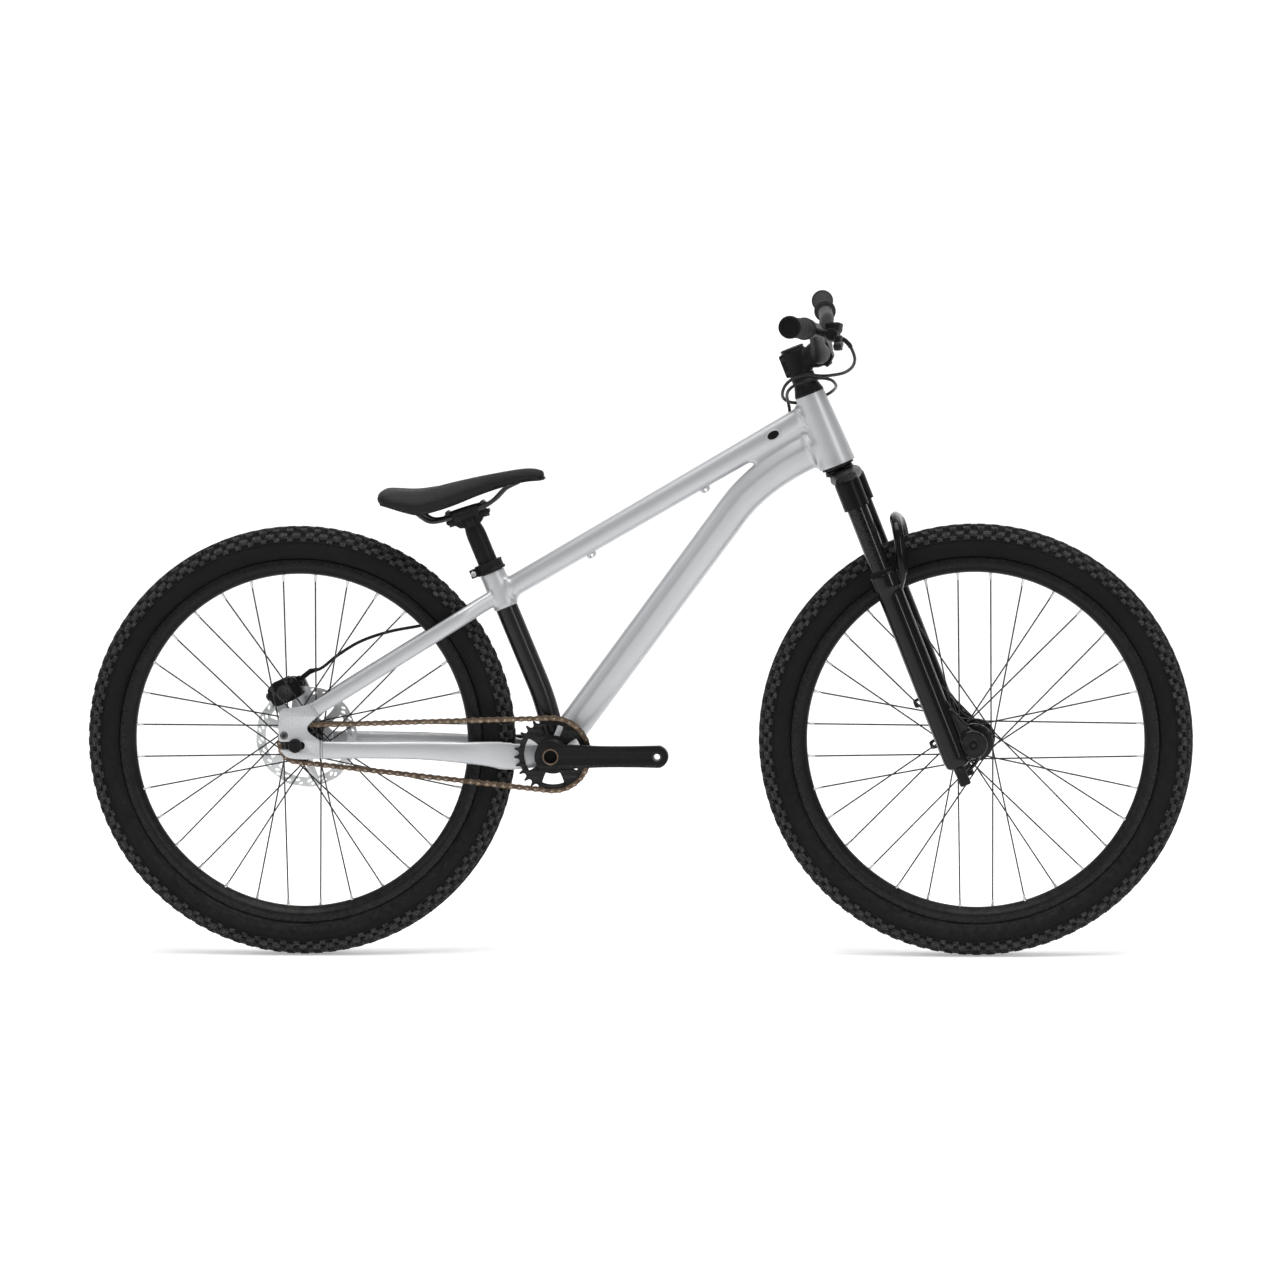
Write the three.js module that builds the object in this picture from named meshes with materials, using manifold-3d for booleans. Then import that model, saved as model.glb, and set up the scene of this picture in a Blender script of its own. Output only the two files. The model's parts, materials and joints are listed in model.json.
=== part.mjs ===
// Dirt jump bike: hardtail frame, suspension fork, 26 inch wheels, single gear, rear disc brake.
// Millimetres, +Z up, +X towards the front wheel, +Y to the rider's left.
// The origin lies on the ground, midway between the two axles.
import * as THREE from "three";
import { mergeVertices } from "three/addons/utils/BufferGeometryUtils.js";
import Module from "manifold-3d";

const wasm = await Module();
wasm.setup();

// Layout of the bicycle
const WHEELBASE = 1051;
const TYRE_RADIUS = 336;
const HEAD_ANGLE = 69;
const SEAT_ANGLE = 68;
const FORK_OFFSET = 43;
const CHAINSTAY_LENGTH = 398.7;
const BB_DROP = 17;
const SEAT_AXIS_AHEAD = 16.7;
const SEAT_LUG_TOP = 598.2;

// General clearances and overruns
const GAP = 0.3;
const RUNNING = 0.4;
const OVERRUN = 12;

// Head tube and headset, measured up the steering axis from the foot of the axle offset
const HEAD_TUBE_LOW = 475;
const HEAD_TUBE_LENGTH = 117;
const HEAD_TUBE_TOP_DIAMETER = 46.6;
const HEAD_TUBE_LOW_DIAMETER = 58.4;
const HEAD_TUBE_BORE = 39;
const HEADSET_SEAT_DEPTH = 12;
const HEADSET_UPPER_DIAMETER = 41;
const HEADSET_LOWER_DIAMETER = 51;
const HEADSET_COVER_HEIGHT = 17;
const HEADSET_LIP = 3.5;

// Main tubes
const TOP_TUBE_DEPTH_REAR = 33.5;
const TOP_TUBE_DEPTH_FRONT = 38;
const TOP_TUBE_WIDTH = 36;
const TOP_TUBE_DROP_AT_SEAT = 35;
const TOP_TUBE_DROP_AT_HEAD = 27;
const DOWN_TUBE_ANGLE = 53.1;
const DOWN_TUBE_STRAIGHT = 468;
const DOWN_TUBE_BEND_REACH = 80;
const DOWN_TUBE_RISE_AT_HEAD = 37;
const DOWN_TUBE_DEPTH_LOW = 51.7;
const DOWN_TUBE_DEPTH_MID = 53.6;
const DOWN_TUBE_DEPTH_FRONT = 60;
const DOWN_TUBE_WIDTH = 46;
const TUBE_WALL = 2;
const SEATPOST_DIAMETER = 30.9;
const SEAT_TUBE_DIAMETER = 34.9;
const SEAT_TUBE_BEND_HEIGHT = 112;
const SEAT_LUG_DIAMETER = 39.6;
const SEAT_LUG_LENGTH = 57;
const SEAT_TUBE_ABOVE_LUG = 10;
const CABLE_GUIDE_LENGTH = 17;
const CABLE_GUIDE_HEIGHT = 7;
const CABLE_GUIDE_WIDTH = 11;
const GUIDE_PLACE_SHARES = [0.27, 0.63];
const PORT_LENGTH = 20;
const PORT_HEIGHT = 13;
const PORT_LIP = 2;
const PORT_PLACE_SHARE = 0.868;

// Bottom bracket
const BB_SHELL_DIAMETER = 43;
const BB_SHELL_LENGTH = 73;
const BB_SHELL_BORE = 35;
const BB_CUP_FLANGE = 41;
const BB_CUP_FLANGE_WIDTH = 2;
const BB_CUP_DEPTH = 14;
const SPINDLE_DIAMETER = 22;
const SPINDLE_BORE = 14;

// Rear triangle
const DROPOUT_SPACING = 135;
const DROPOUT_THICKNESS = 7;
const SLOT_HEIGHT = 12.7;
const SLOT_AHEAD = 15;
const CHAINSTAY_WIDTH = 15;
const CHAINSTAY_END = [38.2, -7];
const CHAINSTAY_DEPTHS = [28, 27.5, 30, 35];
const SEATSTAY_WIDTH = 15;
const SEATSTAY_DEPTH = 25;
const SEATSTAY_END_DEPTH = 23;
const SEATSTAY_END = [29, 55];
const YOKE_WIDTH = 8;
const YOKE_DEPTHS = [35, 41, 46, 40];
const YOKE_BRIDGE_DEPTH = 34;

// Fork, measured in the steering frame: ahead of the axis, and up from its foot
const LEG_AHEAD = 9;
const LEG_SPREAD = 126;
const STANCHION_DIAMETER = 32;
const STANCHION_WALL = 2.2;
const STANCHION_LOW = 118;
const LOWER_DIAMETER = 40;
const LOWER_TOP = 296;
const LOWER_BOSS_HEIGHT = 24;
const LOWER_BOSS_DIAMETER = 46;
const LOWER_BOTTOM = -38;
const LOWER_FLOOR = -8;
const FOOT_CAP_DIAMETER = 18.6;
const FOOT_CAP_HEIGHT = 17;
const LUG_DIAMETER = 43;
const FRONT_HUB_SPACING = 100;
const LUG_WIDTH = 22;
const FRONT_AXLE_DIAMETER = 15;
const FRONT_AXLE_HEAD = 22;
const FRONT_AXLE_HEAD_WIDTH = 4;
const CROWN_LEG_LOW = 405;
const CROWN_LEG_TOP = 452;
const CROWN_LEG_DIAMETER = 40;
const CROWN_UNDERSIDE = 442;
const CROWN_TOP = 466;
const CROWN_DEPTH = 50;
const CROWN_AHEAD = 6;
const STEERER_TOP = 662;
const STEERER_DIAMETER = 28.6;
const STEERER_LOW_DIAMETER = 38.1;
const STEERER_BORE = 23;
const CROWN_RACE_HEIGHT = 4;
const WIPER_HEIGHT = 6;
const ARCH_WIDTH = 19;
const ARCH_DEPTH = 15;
const ARCH_CENTRE_UP = 366;
const ARCH_CENTRE_AHEAD = 53;
const ARCH_FOOT_UP = 284;
const ARCH_FOOT_AHEAD = 35;
const ARCH_KNEE_AHEAD = 3;
const BRAKE_TAB_WIDTH = 10;
const BRAKE_TAB_UPS = [73, 8];
const BRAKE_TAB_REACH = 30;
const BRAKE_TAB_HEIGHT = 13;

// Stem, handlebar and grips, in a frame at the bar clamp that stands upright
const STEM_REACH = 40;
const STEM_UP = 645;
const STEM_HEIGHT = 40;
const STEM_DIAMETER = 38;
const STEM_WIDTH = 44;
const BAR_CLAMP_DIAMETER = 31.8;
const BAR_END_DIAMETER = 22.2;
const BAR_HALF_WIDTH = 384;
const BAR_WALL = 2.2;
const BAR_RISE = 43.3;
const BAR_END_RISE = 60.2;
const BAR_SWEEP = 21.6;
const BAR_CENTRE_HALF = 32;
const BAR_BEND_HALF = 150;
const FACEPLATE_DEPTH = 9;
const TOP_CAP_HEIGHT = 4;
const GRIP_LENGTH = 134;
const GRIP_END_ROOM = 2.4;
const GRIP_DIAMETER = 31;
const GRIP_FLANGE_DIAMETER = 34.4;
const GRIP_FLANGE_WIDTH = 4;

// Brake lever and master cylinder
const LEVER_CLAMP_AT = 226;
const LEVER_CLAMP_WIDTH = 14;
const LEVER_CLAMP_DIAMETER = 31;
const MASTER_DIAMETER = 19;
const MASTER_LENGTH = 66;
const MASTER_AHEAD = 38;
const MASTER_UP = -6;
const RESERVOIR_HEIGHT = 13;
const RESERVOIR_LENGTH = 48;
const RESERVOIR_DEPTH = 26;
const LEVER_PIVOT_AT = 262;
const LEVER_PIVOT_DIAMETER = 7;
const LEVER_PIVOT_AHEAD = 52;
const LEVER_PIVOT_UP = -22;
const LEVER_LENGTH = 92;
const LEVER_THICKNESS = 7;
const LEVER_HEIGHT = 12;
const LEVER_END_DIAMETER = 13;
const LEVER_CURVE = 12;
const LEVER_EYE_WALL = 2;
const CLEVIS_HEIGHT = 22;
const CLEVIS_DEPTH = 15;

// Saddle and seatpost, in frames along the post and along the saddle rails
const POST_INSERTION = 130;
const SADDLE_TILT = 17;
const CLAMP_UP = 102.2;
const CLAMP_LENGTH = 44;
const CLAMP_WIDTH = 54;
const CRADLE_HEIGHT = 9;
const CLAMP_PLATE_HEIGHT = 6.5;
const CLAMP_SPLIT = 0.5;
const CLAMP_EAR_LENGTH = 13;
const CLAMP_EAR_WIDTH = 16;
const SADDLE_BOLT_DIAMETER = 5;
const SADDLE_BOLT_HEAD = 9;
const SADDLE_BOLT_HEAD_HEIGHT = 5;
const SADDLE_BOLT_PLACE = 28.5;
const RAIL_DIAMETER = 7;
const RAIL_SPREAD = 44;
const SADDLE_LENGTH = 258;
const SADDLE_REAR = -123;
const SADDLE_WIDTH = 134;
const SADDLE_HEIGHT = 72.5;
const SADDLE_PAD = 14;
const SADDLE_SHELL = 3;
const SEAT_COLLAR_HEIGHT = 18;
const SEAT_COLLAR_WALL = 3.2;
const SEAT_COLLAR_LIP = 5;
const SEAT_COLLAR_LUG = 11.2;
const SEAT_COLLAR_LUG_OUT = 25;

// Wheels
const TYRE_WIDTH = 57;
const RIM_EDGE_RADIUS = 284.5;
const RIM_INNER_RADIUS = 260.7;
const RIM_WIDTH = 32;
const RIM_WALL = 2.4;
const RIM_BED_WIDTH = 16;
const WHEEL_SIDES = 28;
const SPOKE_COUNT = 32;
const SPOKE_DIAMETER = 2.1;
const SPOKE_STAGGER = 1.35;
const SPOKE_RIM_STAGGER = 1.7;
const SPOKE_RIM_OFFSET = 2.6;
const SPOKE_CROSSINGS = 3;
const FLANGE_DIAMETER = 59;
const FLANGE_HOLE_INSET = 2.6;
const FLANGE_THICKNESS = 5;
const FLANGE_BLEND = 3;
const FRONT_FLANGE_AT = 34;
const FRONT_BARREL_DIAMETER = 28;
const REAR_FLANGES_AT = [-25, 33];
const REAR_BARREL_DIAMETER = 30;
const HUB_END_DIAMETER = 24;
const HUB_SIDES = 10;
const REAR_AXLE_DIAMETER = 12;
const REAR_AXLE_HEAD = 22;
const REAR_AXLE_HEAD_WIDTH = 6;

// Disc brake at the rear wheel
const ROTOR_DIAMETER = 160;
const ROTOR_BAND = 14;
const ROTOR_THICKNESS = 1.8;
const ROTOR_AT = 52;
const ROTOR_ARMS = 6;
const ROTOR_BOSS_DIAMETER = 44;
const DISC_SPIGOT_DIAMETER = 32;
const CALIPER_ANGLE = 114;
const CALIPER_LENGTH = 54;
const CALIPER_INNER = 60;
const CALIPER_OUTER = 98;
const CALIPER_WIDTH = 28;
const CALIPER_SLOT = 3.4;
const CALIPER_EAR_LENGTH = 14;
const CALIPER_EAR_HEIGHT = 12;
const PAD_LENGTH = 24;
const PAD_HEIGHT = 17;
const PAD_THICKNESS = 4.6;
const PAD_SPRING_THICKNESS = 1.2;

// Drive train
const CHAIN_PITCH = 12.7;
const RING_TEETH = 28;
const COG_TEETH = 14;
const CHAIN_LINE = 47;
const TOOTH_THICKNESS = 2.6;
const ROLLER_DIAMETER = 6.8;
const ROLLER_SEAT_RADIUS = 4.6;
const TOOTH_HEIGHT = 3.6;
const CHAIN_INNER_WIDTH = 3.5;
const PLATE_THICKNESS = 2.4;
const PLATE_HEIGHT = 8.6;
const PLATE_WAIST = 6;
const RING_BAND = 10.4;
const RING_HUB_DIAMETER = 58;
const RING_WINDOW_SPAN = 62;
const RING_BORE = 34;
const COG_BORE = 33.8;
const COG_CARRIER_DIAMETER = 41;
const COG_CARRIER_WIDTH = 18;
const CRANK_LENGTH = 165;
const CRANK_THICKNESS = 14;
const CRANK_OUTER = 84;
const CRANK_HUB_DIAMETER = 50;
const CRANK_EYE_DIAMETER = 35;
const CRANK_HUB_HEIGHT = 36;
const CRANK_WAIST_HEIGHT = 32;
const CRANK_RECESS_DIAMETER = 23.6;
const CRANK_RECESS_DEPTH = 10;
const PEDAL_BORE = 14;
const CRANK_SPIGOT = 33.2;

// Brake hose
const HOSE_DIAMETER = 5;
const HOSE_SIDES = 8;
const HOSE_TURN_SHARE = 8;

const ROUND_SIDES = 12;
const SMALL_SIDES = 8;
const BOLT_SIDES = 6;
const MERGE_DISTANCE = 1e-4;

// Shapes of unit size, chosen by hand
const OVAL_SHARES = circleShares(12);
const BOXY_SHARES = [
  [1, 0.42], [0.6, 0.98], [-0.6, 0.98], [-1, 0.42],
  [-1, -0.46], [-0.55, -1], [0.55, -1], [1, -0.46],
];
const DOWN_TUBE_SHARES = [
  [1, 0.25], [0.6, 0.9], [0, 1], [-0.6, 0.9], [-1, 0.25],
  [-0.9, -0.45], [-0.5, -0.93], [0.5, -0.93], [0.9, -0.45],
];
const STAY_SHARES = [
  [1, 0.5], [0.5, 1], [-0.5, 1], [-1, 0.5], [-1, -0.5], [-0.5, -1], [0.5, -1], [1, -0.5],
];

// Places that follow from the layout
const AXLE_HALF = WHEELBASE / 2;
const REAR_AXLE = { x: -AXLE_HALF, z: TYRE_RADIUS };
const FRONT_AXLE = { x: AXLE_HALF, z: TYRE_RADIUS };
const BB = {
  x: REAR_AXLE.x + Math.sqrt(CHAINSTAY_LENGTH ** 2 - BB_DROP ** 2),
  z: TYRE_RADIUS - BB_DROP,
};
const STEER_TURN = -radians(90 - HEAD_ANGLE);
const SEAT_TURN = -radians(90 - SEAT_ANGLE);
const STEER_FOOT = new THREE.Vector3(
  FRONT_AXLE.x - FORK_OFFSET * Math.sin(radians(HEAD_ANGLE)),
  0,
  FRONT_AXLE.z - FORK_OFFSET * Math.cos(radians(HEAD_ANGLE)),
);
const SEAT_TOP = new THREE.Vector3(
  BB.x + SEAT_AXIS_AHEAD - (SEAT_LUG_TOP - BB.z) / Math.tan(radians(SEAT_ANGLE)),
  0,
  SEAT_LUG_TOP,
);
const STEER_FRAME = frameAt(STEER_FOOT, STEER_TURN);
const SEAT_FRAME = frameAt(SEAT_TOP, SEAT_TURN);
const CLAMP_POINT = new THREE.Vector3(0, 0, CLAMP_UP).applyMatrix4(SEAT_FRAME);
const SADDLE_FRAME = frameAt(CLAMP_POINT, -radians(SADDLE_TILT));
const BAR_POINT = new THREE.Vector3(STEM_REACH, 0, STEM_UP);

// Shares and small sizes of the dropouts, stays and tube ends
const SEAT_TUBE_END_SHARE = 0.81;
const DROPOUT_REAR_SHARES = [[-1, 0.66], [-0.92, 0.95], [-0.55, 1]];
const DROPOUT_FOOT_SHARES = [[-0.9, -0.33], [-0.62, -0.84], [-0.1, -1]];
const DROPOUT_NOTCH = [17.5, 27];
const DROPOUT_REACH = 26;
const DROPOUT_FOOT = 21;
const DROPOUT_HEIGHT = 58;
const CHAINSTAY_AHEAD_SHARES = [0.1, 0.31, 0.49, 0.66];
const CHAINSTAY_OUT_SHARES = [1, 0.95, 0.83, 0.71];
const CHAINSTAY_LOW_SHARES = [0, -0.01, -0.06, -0.2];
const YOKE_AHEAD_SHARES = [0.66, 0.755, 0.81, 0.88, 0.945];
const YOKE_OUT_SHARES = [0.71, 0.58, 0.52, 0.5, 0.42];
const YOKE_LOW_SHARES = [-0.2, -0.3, -0.4, -0.44, -0.4];
const SEATSTAY_ALONG_SHARES = [0, 0.36, 0.66, 0.8, 0.88, 0.965];
const SEATSTAY_OUT_SHARES = [1, 0.82, 0.66, 0.56, 0.37, 0.16];

// Brake hose: a loop round the head tube, then inside the top tube and down the left stay.
// The points are the middle of the hose, chosen by hand.
const LOOP_POINTS = [
  [346, -196, 961], [350, -184, 952], [353, -166, 938], [349, -142, 925], [335, -106, 913],
  [315, -76, 907], [296, -56, 904.5], [272, -43, 905.5], [252, -35, 900], [238, -21, 889],
  [231.5, -4, 876], [232, 12, 866], [241, 28, 859], [258, 40, 857], [280, 44, 862], [300, 38, 871],
  [311, 22, 880], [313.5, 2, 887], [307, -17, 896], [291, -30, 899.5], [271, -34, 896], [253, -27, 889],
  [242, -13, 880], [238, 2, 871], [238.5, 15, 861], [240, 24, 850], [240.5, 27, 840],
  [240, 24.5, 831], [235, 16, 822.5], [224, 8, 813.5], [211, 4.5, 805.8],
];
const INNER_POINTS = [
  [210.4, 4.3, 805.4], [180, 1, 788], [120, 0, 753.5],
  [0, 0, 685], [-110, 0, 622.6], [-140, 3, 606], [-162, 10, 595], [-180, 20, 589], [-197, 30, 585],
  [-215, 37, 578], [-240, 44, 566], [-280, 56, 545], [-340, 66, 513], [-400, 68, 477], [-450, 68, 449],
  [-490, 64, 437], [-519, 57, 438],
];

// Shares of the bar and the brake lever
const BAR_SIDES = 10;
const BAR_STATION_SHARES = [0, 0.083, 0.16, 0.24, 0.32, 0.39, 1];
const LEVER_OUT_SHARES = [0, 0.25, 0.55, 0.8, 1];
const LEVER_AHEAD_SHARES = [0, 0.55, 0.5, 0.2, 0.45];

// Saddle, in the frame along the rails: places along it, and shares of width and height
const SADDLE_STATION_SHARES = [
  { along: 0, top: 0.93, skirt: 0.83, half: 0.6 },
  { along: 0.043, top: 1, skirt: 0.69, half: 0.88 },
  { along: 0.128, top: 0.885, skirt: 0.46, half: 0.98 },
  { along: 0.221, top: 0.775, skirt: 0.285, half: 1 },
  { along: 0.322, top: 0.715, skirt: 0.25, half: 0.86 },
  { along: 0.438, top: 0.69, skirt: 0.25, half: 0.62 },
  { along: 0.593, top: 0.662, skirt: 0.29, half: 0.4 },
  { along: 0.748, top: 0.607, skirt: 0.3, half: 0.31 },
  { along: 0.884, top: 0.53, skirt: 0.26, half: 0.27 },
  { along: 0.957, top: 0.41, skirt: 0.2, half: 0.205 },
  { along: 1, top: 0.25, skirt: 0.19, half: 0.08 },
];
const SADDLE_CROWN_SHARES = [[0.96, 0], [1, 0.3], [0.9, 0.72], [0.55, 0.96], [0, 1]];
const RAIL_POINT_SHARES = [
  [-0.33, 1.22, 0.56], [-0.28, 1.16, 0.3], [-0.225, 1.06, 0.06], [-0.17, 1, 0], [0, 1, 0], [0.1, 1, 0],
  [0.18, 0.9, 0.07], [0.27, 0.72, 0.235], [0.33, 0.5, 0.275],
];

// The bead's depth and how far in it stands under the rim's edge, and how far out it leaves the rim
const BEAD_SHARES = [0.25, 4.6, 0.01];
// The cavity's corners: shares of the tyre's height over the rim and of its half width
const CAVITY_SHARES = [[0.36, 0.8], [0.76, 0.72]];

// Two rows of plates, waisted between the pins, with a roller at every pitch.
// Each link adds eight points to a row: four round its roller, two at the pin's outer edge
// and two at the waist.
const ROW_POINTS = 8;

// Places along the crank arm
const ARM_ALONG_SHARES = [0, 0.2, 0.5, 0.8, 1];

function radians(degrees) {
  return THREE.MathUtils.degToRad(degrees);
}

function vec(x, y, z) {
  return new THREE.Vector3(x, y, z);
}

function frameAt(origin, turn) {
  const frame = new THREE.Matrix4().makeRotationY(turn);
  return frame.setPosition(origin);
}

function steerPoint(ahead, up, y = 0) {
  return vec(ahead, y, up).applyMatrix4(STEER_FRAME);
}

function seatPoint(ahead, up, y = 0) {
  return vec(ahead, y, up).applyMatrix4(SEAT_FRAME);
}

function circleShares(count) {
  const shares = [];
  for (let i = 0; i < count; i += 1) {
    const angle = (2 * Math.PI * (i + 0.5)) / count;
    shares.push([Math.cos(angle), Math.sin(angle)]);
  }
  return shares;
}

// Signed volume of a closed indexed mesh, positive when its faces point out
function signedVolume(positions, index) {
  const a = vec(0, 0, 0);
  const b = vec(0, 0, 0);
  const c = vec(0, 0, 0);
  let sum = 0;
  for (let i = 0; i < index.length; i += 3) {
    a.fromArray(positions, index[i] * 3);
    b.fromArray(positions, index[i + 1] * 3);
    c.fromArray(positions, index[i + 2] * 3);
    sum += a.dot(b.cross(c));
  }
  return sum / 6;
}

// A closed geometry becomes a solid that can be cut and joined
function solidOf(geometry, frame = null) {
  const bare = geometry.clone();
  bare.deleteAttribute("normal");
  bare.deleteAttribute("uv");
  if (frame) {
    bare.applyMatrix4(frame);
  }
  const merged = mergeVertices(bare, MERGE_DISTANCE);
  const positions = new Float32Array(merged.attributes.position.array);
  const corners = new Uint32Array(merged.index.array);
  if (signedVolume(positions, corners) < 0) {
    for (let i = 0; i < corners.length; i += 3) {
      [corners[i], corners[i + 1]] = [corners[i + 1], corners[i]];
    }
  }
  return new wasm.Manifold(new wasm.Mesh({ numProp: 3, vertProperties: positions, triVerts: corners }));
}

function geometryOf(solid) {
  const mesh = solid.getMesh();
  const geometry = new THREE.BufferGeometry();
  geometry.setAttribute("position", new THREE.BufferAttribute(mesh.vertProperties, 3));
  geometry.setIndex(new THREE.BufferAttribute(mesh.triVerts, 1));
  geometry.computeVertexNormals();
  return geometry;
}

function joined(solids) {
  return solids.reduce((whole, next) => whole.add(next));
}

function cut(solid, cutters) {
  return cutters.reduce((rest, cutter) => rest.subtract(cutter), solid);
}

// Puts a named piece into a group
function addPiece(group, name, solid, color, roughness, metalness) {
  const material = new THREE.MeshStandardMaterial({ color, roughness, metalness });
  const mesh = new THREE.Mesh(geometryOf(solid), material);
  mesh.name = name;
  group.add(mesh);
}

function block(from, to, frame = null) {
  const size = to.clone().sub(from);
  const geometry = new THREE.BoxGeometry(size.x, size.y, size.z);
  const middle = from.clone().add(to).multiplyScalar(0.5);
  geometry.translate(middle.x, middle.y, middle.z);
  return solidOf(geometry, frame);
}

// A round bar between two points, with another radius at its far end if one is given
function bar(from, to, radius, sides = ROUND_SIDES, endRadius = radius, frame = null) {
  const along = to.clone().sub(from);
  const geometry = new THREE.CylinderGeometry(endRadius, radius, along.length(), sides);
  const turn = new THREE.Quaternion().setFromUnitVectors(vec(0, 1, 0), along.normalize());
  geometry.applyQuaternion(turn);
  const middle = from.clone().add(to).multiplyScalar(0.5);
  geometry.translate(middle.x, middle.y, middle.z);
  return solidOf(geometry, frame);
}

// The radius of a faceted bore whose flats still clear a round of the given radius
function bored(radius, sides = ROUND_SIDES) {
  return radius / Math.cos(Math.PI / sides);
}

// A bar along the width of the bicycle
function crossBar(at, y0, y1, radius, sides = ROUND_SIDES) {
  return bar(vec(at.x, y0, at.z), vec(at.x, y1, at.z), radius, sides);
}

// A closed profile of [radius, place] points turned about the Y axis
function turned(profile, sides, frame = null) {
  const points = profile.map(([radius, place]) => new THREE.Vector2(radius, place));
  points.push(points[0].clone());
  return solidOf(new THREE.LatheGeometry(points, sides), frame);
}

// The same profile turned about the Z axis
function turnedUp(profile, sides, ahead = 0, y = 0) {
  const frame = new THREE.Matrix4().makeRotationX(Math.PI / 2);
  frame.setPosition(ahead, y, 0);
  return turned(profile, sides, frame);
}

// An outline in the X and Z plane, with holes, as a plate between two places along Y
function plate(outline, y0, y1, holes = [], frame = null) {
  const shape = new THREE.Shape(outline.map(([x, z]) => new THREE.Vector2(x, z)));
  for (const hole of holes) {
    shape.holes.push(new THREE.Path(hole.map(([x, z]) => new THREE.Vector2(x, z))));
  }
  const options = { depth: y1 - y0, bevelEnabled: false, curveSegments: 1 };
  const geometry = new THREE.ExtrudeGeometry(shape, options);
  geometry.rotateX(Math.PI / 2);
  geometry.translate(0, y1, 0);
  return solidOf(geometry, frame);
}

function circleOutline(radius, sides, x = 0, z = 0) {
  return circleShares(sides).map(([across, up]) => [x + radius * across, z + radius * up]);
}

// The points of an arc, in degrees, as [x, z]
function arc(radius, from, to, steps, x = 0, z = 0) {
  const points = [];
  for (let i = 0; i <= steps; i += 1) {
    const angle = radians(from + ((to - from) * i) / Math.max(steps, 1));
    points.push([x + radius * Math.cos(angle), z + radius * Math.sin(angle)]);
  }
  return points;
}

// Rings of equal point counts joined into one closed skin
function loft(rings, closed = false) {
  const count = rings[0].length;
  const positions = rings.flat().flatMap((point) => point.toArray());
  const index = [];
  const spans = closed ? rings.length : rings.length - 1;
  for (let i = 0; i < spans; i += 1) {
    const here = i * count;
    const next = ((i + 1) % rings.length) * count;
    for (let j = 0; j < count; j += 1) {
      const after = (j + 1) % count;
      index.push(here + j, here + after, next + after, here + j, next + after, next + j);
    }
  }
  if (!closed) {
    const last = (rings.length - 1) * count;
    for (const [a, b, c] of capTriangles(rings[0])) {
      index.push(c, b, a);
    }
    for (const [a, b, c] of capTriangles(rings[rings.length - 1])) {
      index.push(last + a, last + b, last + c);
    }
  }
  const geometry = new THREE.BufferGeometry();
  geometry.setAttribute("position", new THREE.Float32BufferAttribute(positions, 3));
  geometry.setIndex(index);
  return geometry;
}

// A flat ring is triangulated in its own plane, in the order of its points
function capTriangles(ring) {
  const normal = vec(0, 0, 0);
  for (let i = 0; i < ring.length; i += 1) {
    normal.add(ring[i].clone().cross(ring[(i + 1) % ring.length]));
  }
  normal.normalize();
  const across = ring[1].clone().sub(ring[0]).normalize();
  const up = normal.clone().cross(across);
  const flat = ring.map((point) => new THREE.Vector2(point.dot(across), point.dot(up)));
  return THREE.ShapeUtils.triangulateShape(flat, []);
}

// One section of a tube: across is kept level, and up is square to it and to the tube
function sectionRing(at, tangent, halfAcross, halfUp, shares) {
  const across = vec(-tangent.y, tangent.x, 0);
  if (across.length() < 0.5) {
    across.set(0, 1, 0).sub(tangent.clone().multiplyScalar(tangent.y));
  }
  if (across.y < 0) {
    across.negate();
  }
  across.normalize();
  const up = tangent.clone().cross(across).normalize();
  if (up.z < 0) {
    up.negate();
  }
  return shares.map(([a, u]) => at.clone()
    .add(across.clone().multiplyScalar(a * halfAcross))
    .add(up.clone().multiplyScalar(u * halfUp)));
}

// A tube through stations of { at, across, up }, shrunk on all sides by inset.
// A station's own along, where given, is what its section stands square to.
function tubeThrough(stations, shares, inset = 0) {
  const rings = stations.map((station, i) => {
    const before = stations[Math.max(i - 1, 0)].at;
    const after = stations[Math.min(i + 1, stations.length - 1)].at;
    const tangent = station.along ?? after.clone().sub(before).normalize();
    return sectionRing(station.at, tangent, station.across / 2 - inset, station.up / 2 - inset, shares);
  });
  return solidOf(loft(rings));
}

// The stations with both ends pushed out along the tube
function stretched(stations, length) {
  const first = stations[0];
  const last = stations[stations.length - 1];
  const start = first.at.clone().sub(stations[1].at).setLength(length).add(first.at);
  const end = last.at.clone().sub(stations[stations.length - 2].at).setLength(length).add(last.at);
  return [{ ...first, at: start }, ...stations, { ...last, at: end }];
}

function hollowTube(stations, shares, wall) {
  const outer = tubeThrough(stations, shares);
  return outer.subtract(tubeThrough(stretched(stations, OVERRUN), shares, wall));
}

// A round cord or wire along a smooth curve through points
function cord(points, diameter, sides, steps) {
  const curve = new THREE.CatmullRomCurve3(points, false, "centripetal");
  const outline = circleOutline(diameter / 2, sides);
  const section = new THREE.Shape(outline.map(([x, y]) => new THREE.Vector2(x, y)));
  const options = { steps, extrudePath: curve, bevelEnabled: false, curveSegments: 1 };
  return solidOf(new THREE.ExtrudeGeometry(section, options));
}

function mirrored(points) {
  return points.map((point) => vec(point.x, -point.y, point.z));
}

// Head tube and headset, turned about the steering axis
function headTubeOuter(grow = 0) {
  const low = HEAD_TUBE_LOW_DIAMETER / 2 + grow;
  const top = HEAD_TUBE_TOP_DIAMETER / 2 + grow;
  const end = HEAD_TUBE_LOW + HEAD_TUBE_LENGTH;
  return bar(steerPoint(0, HEAD_TUBE_LOW), steerPoint(0, end), low, ROUND_SIDES, top);
}

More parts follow.
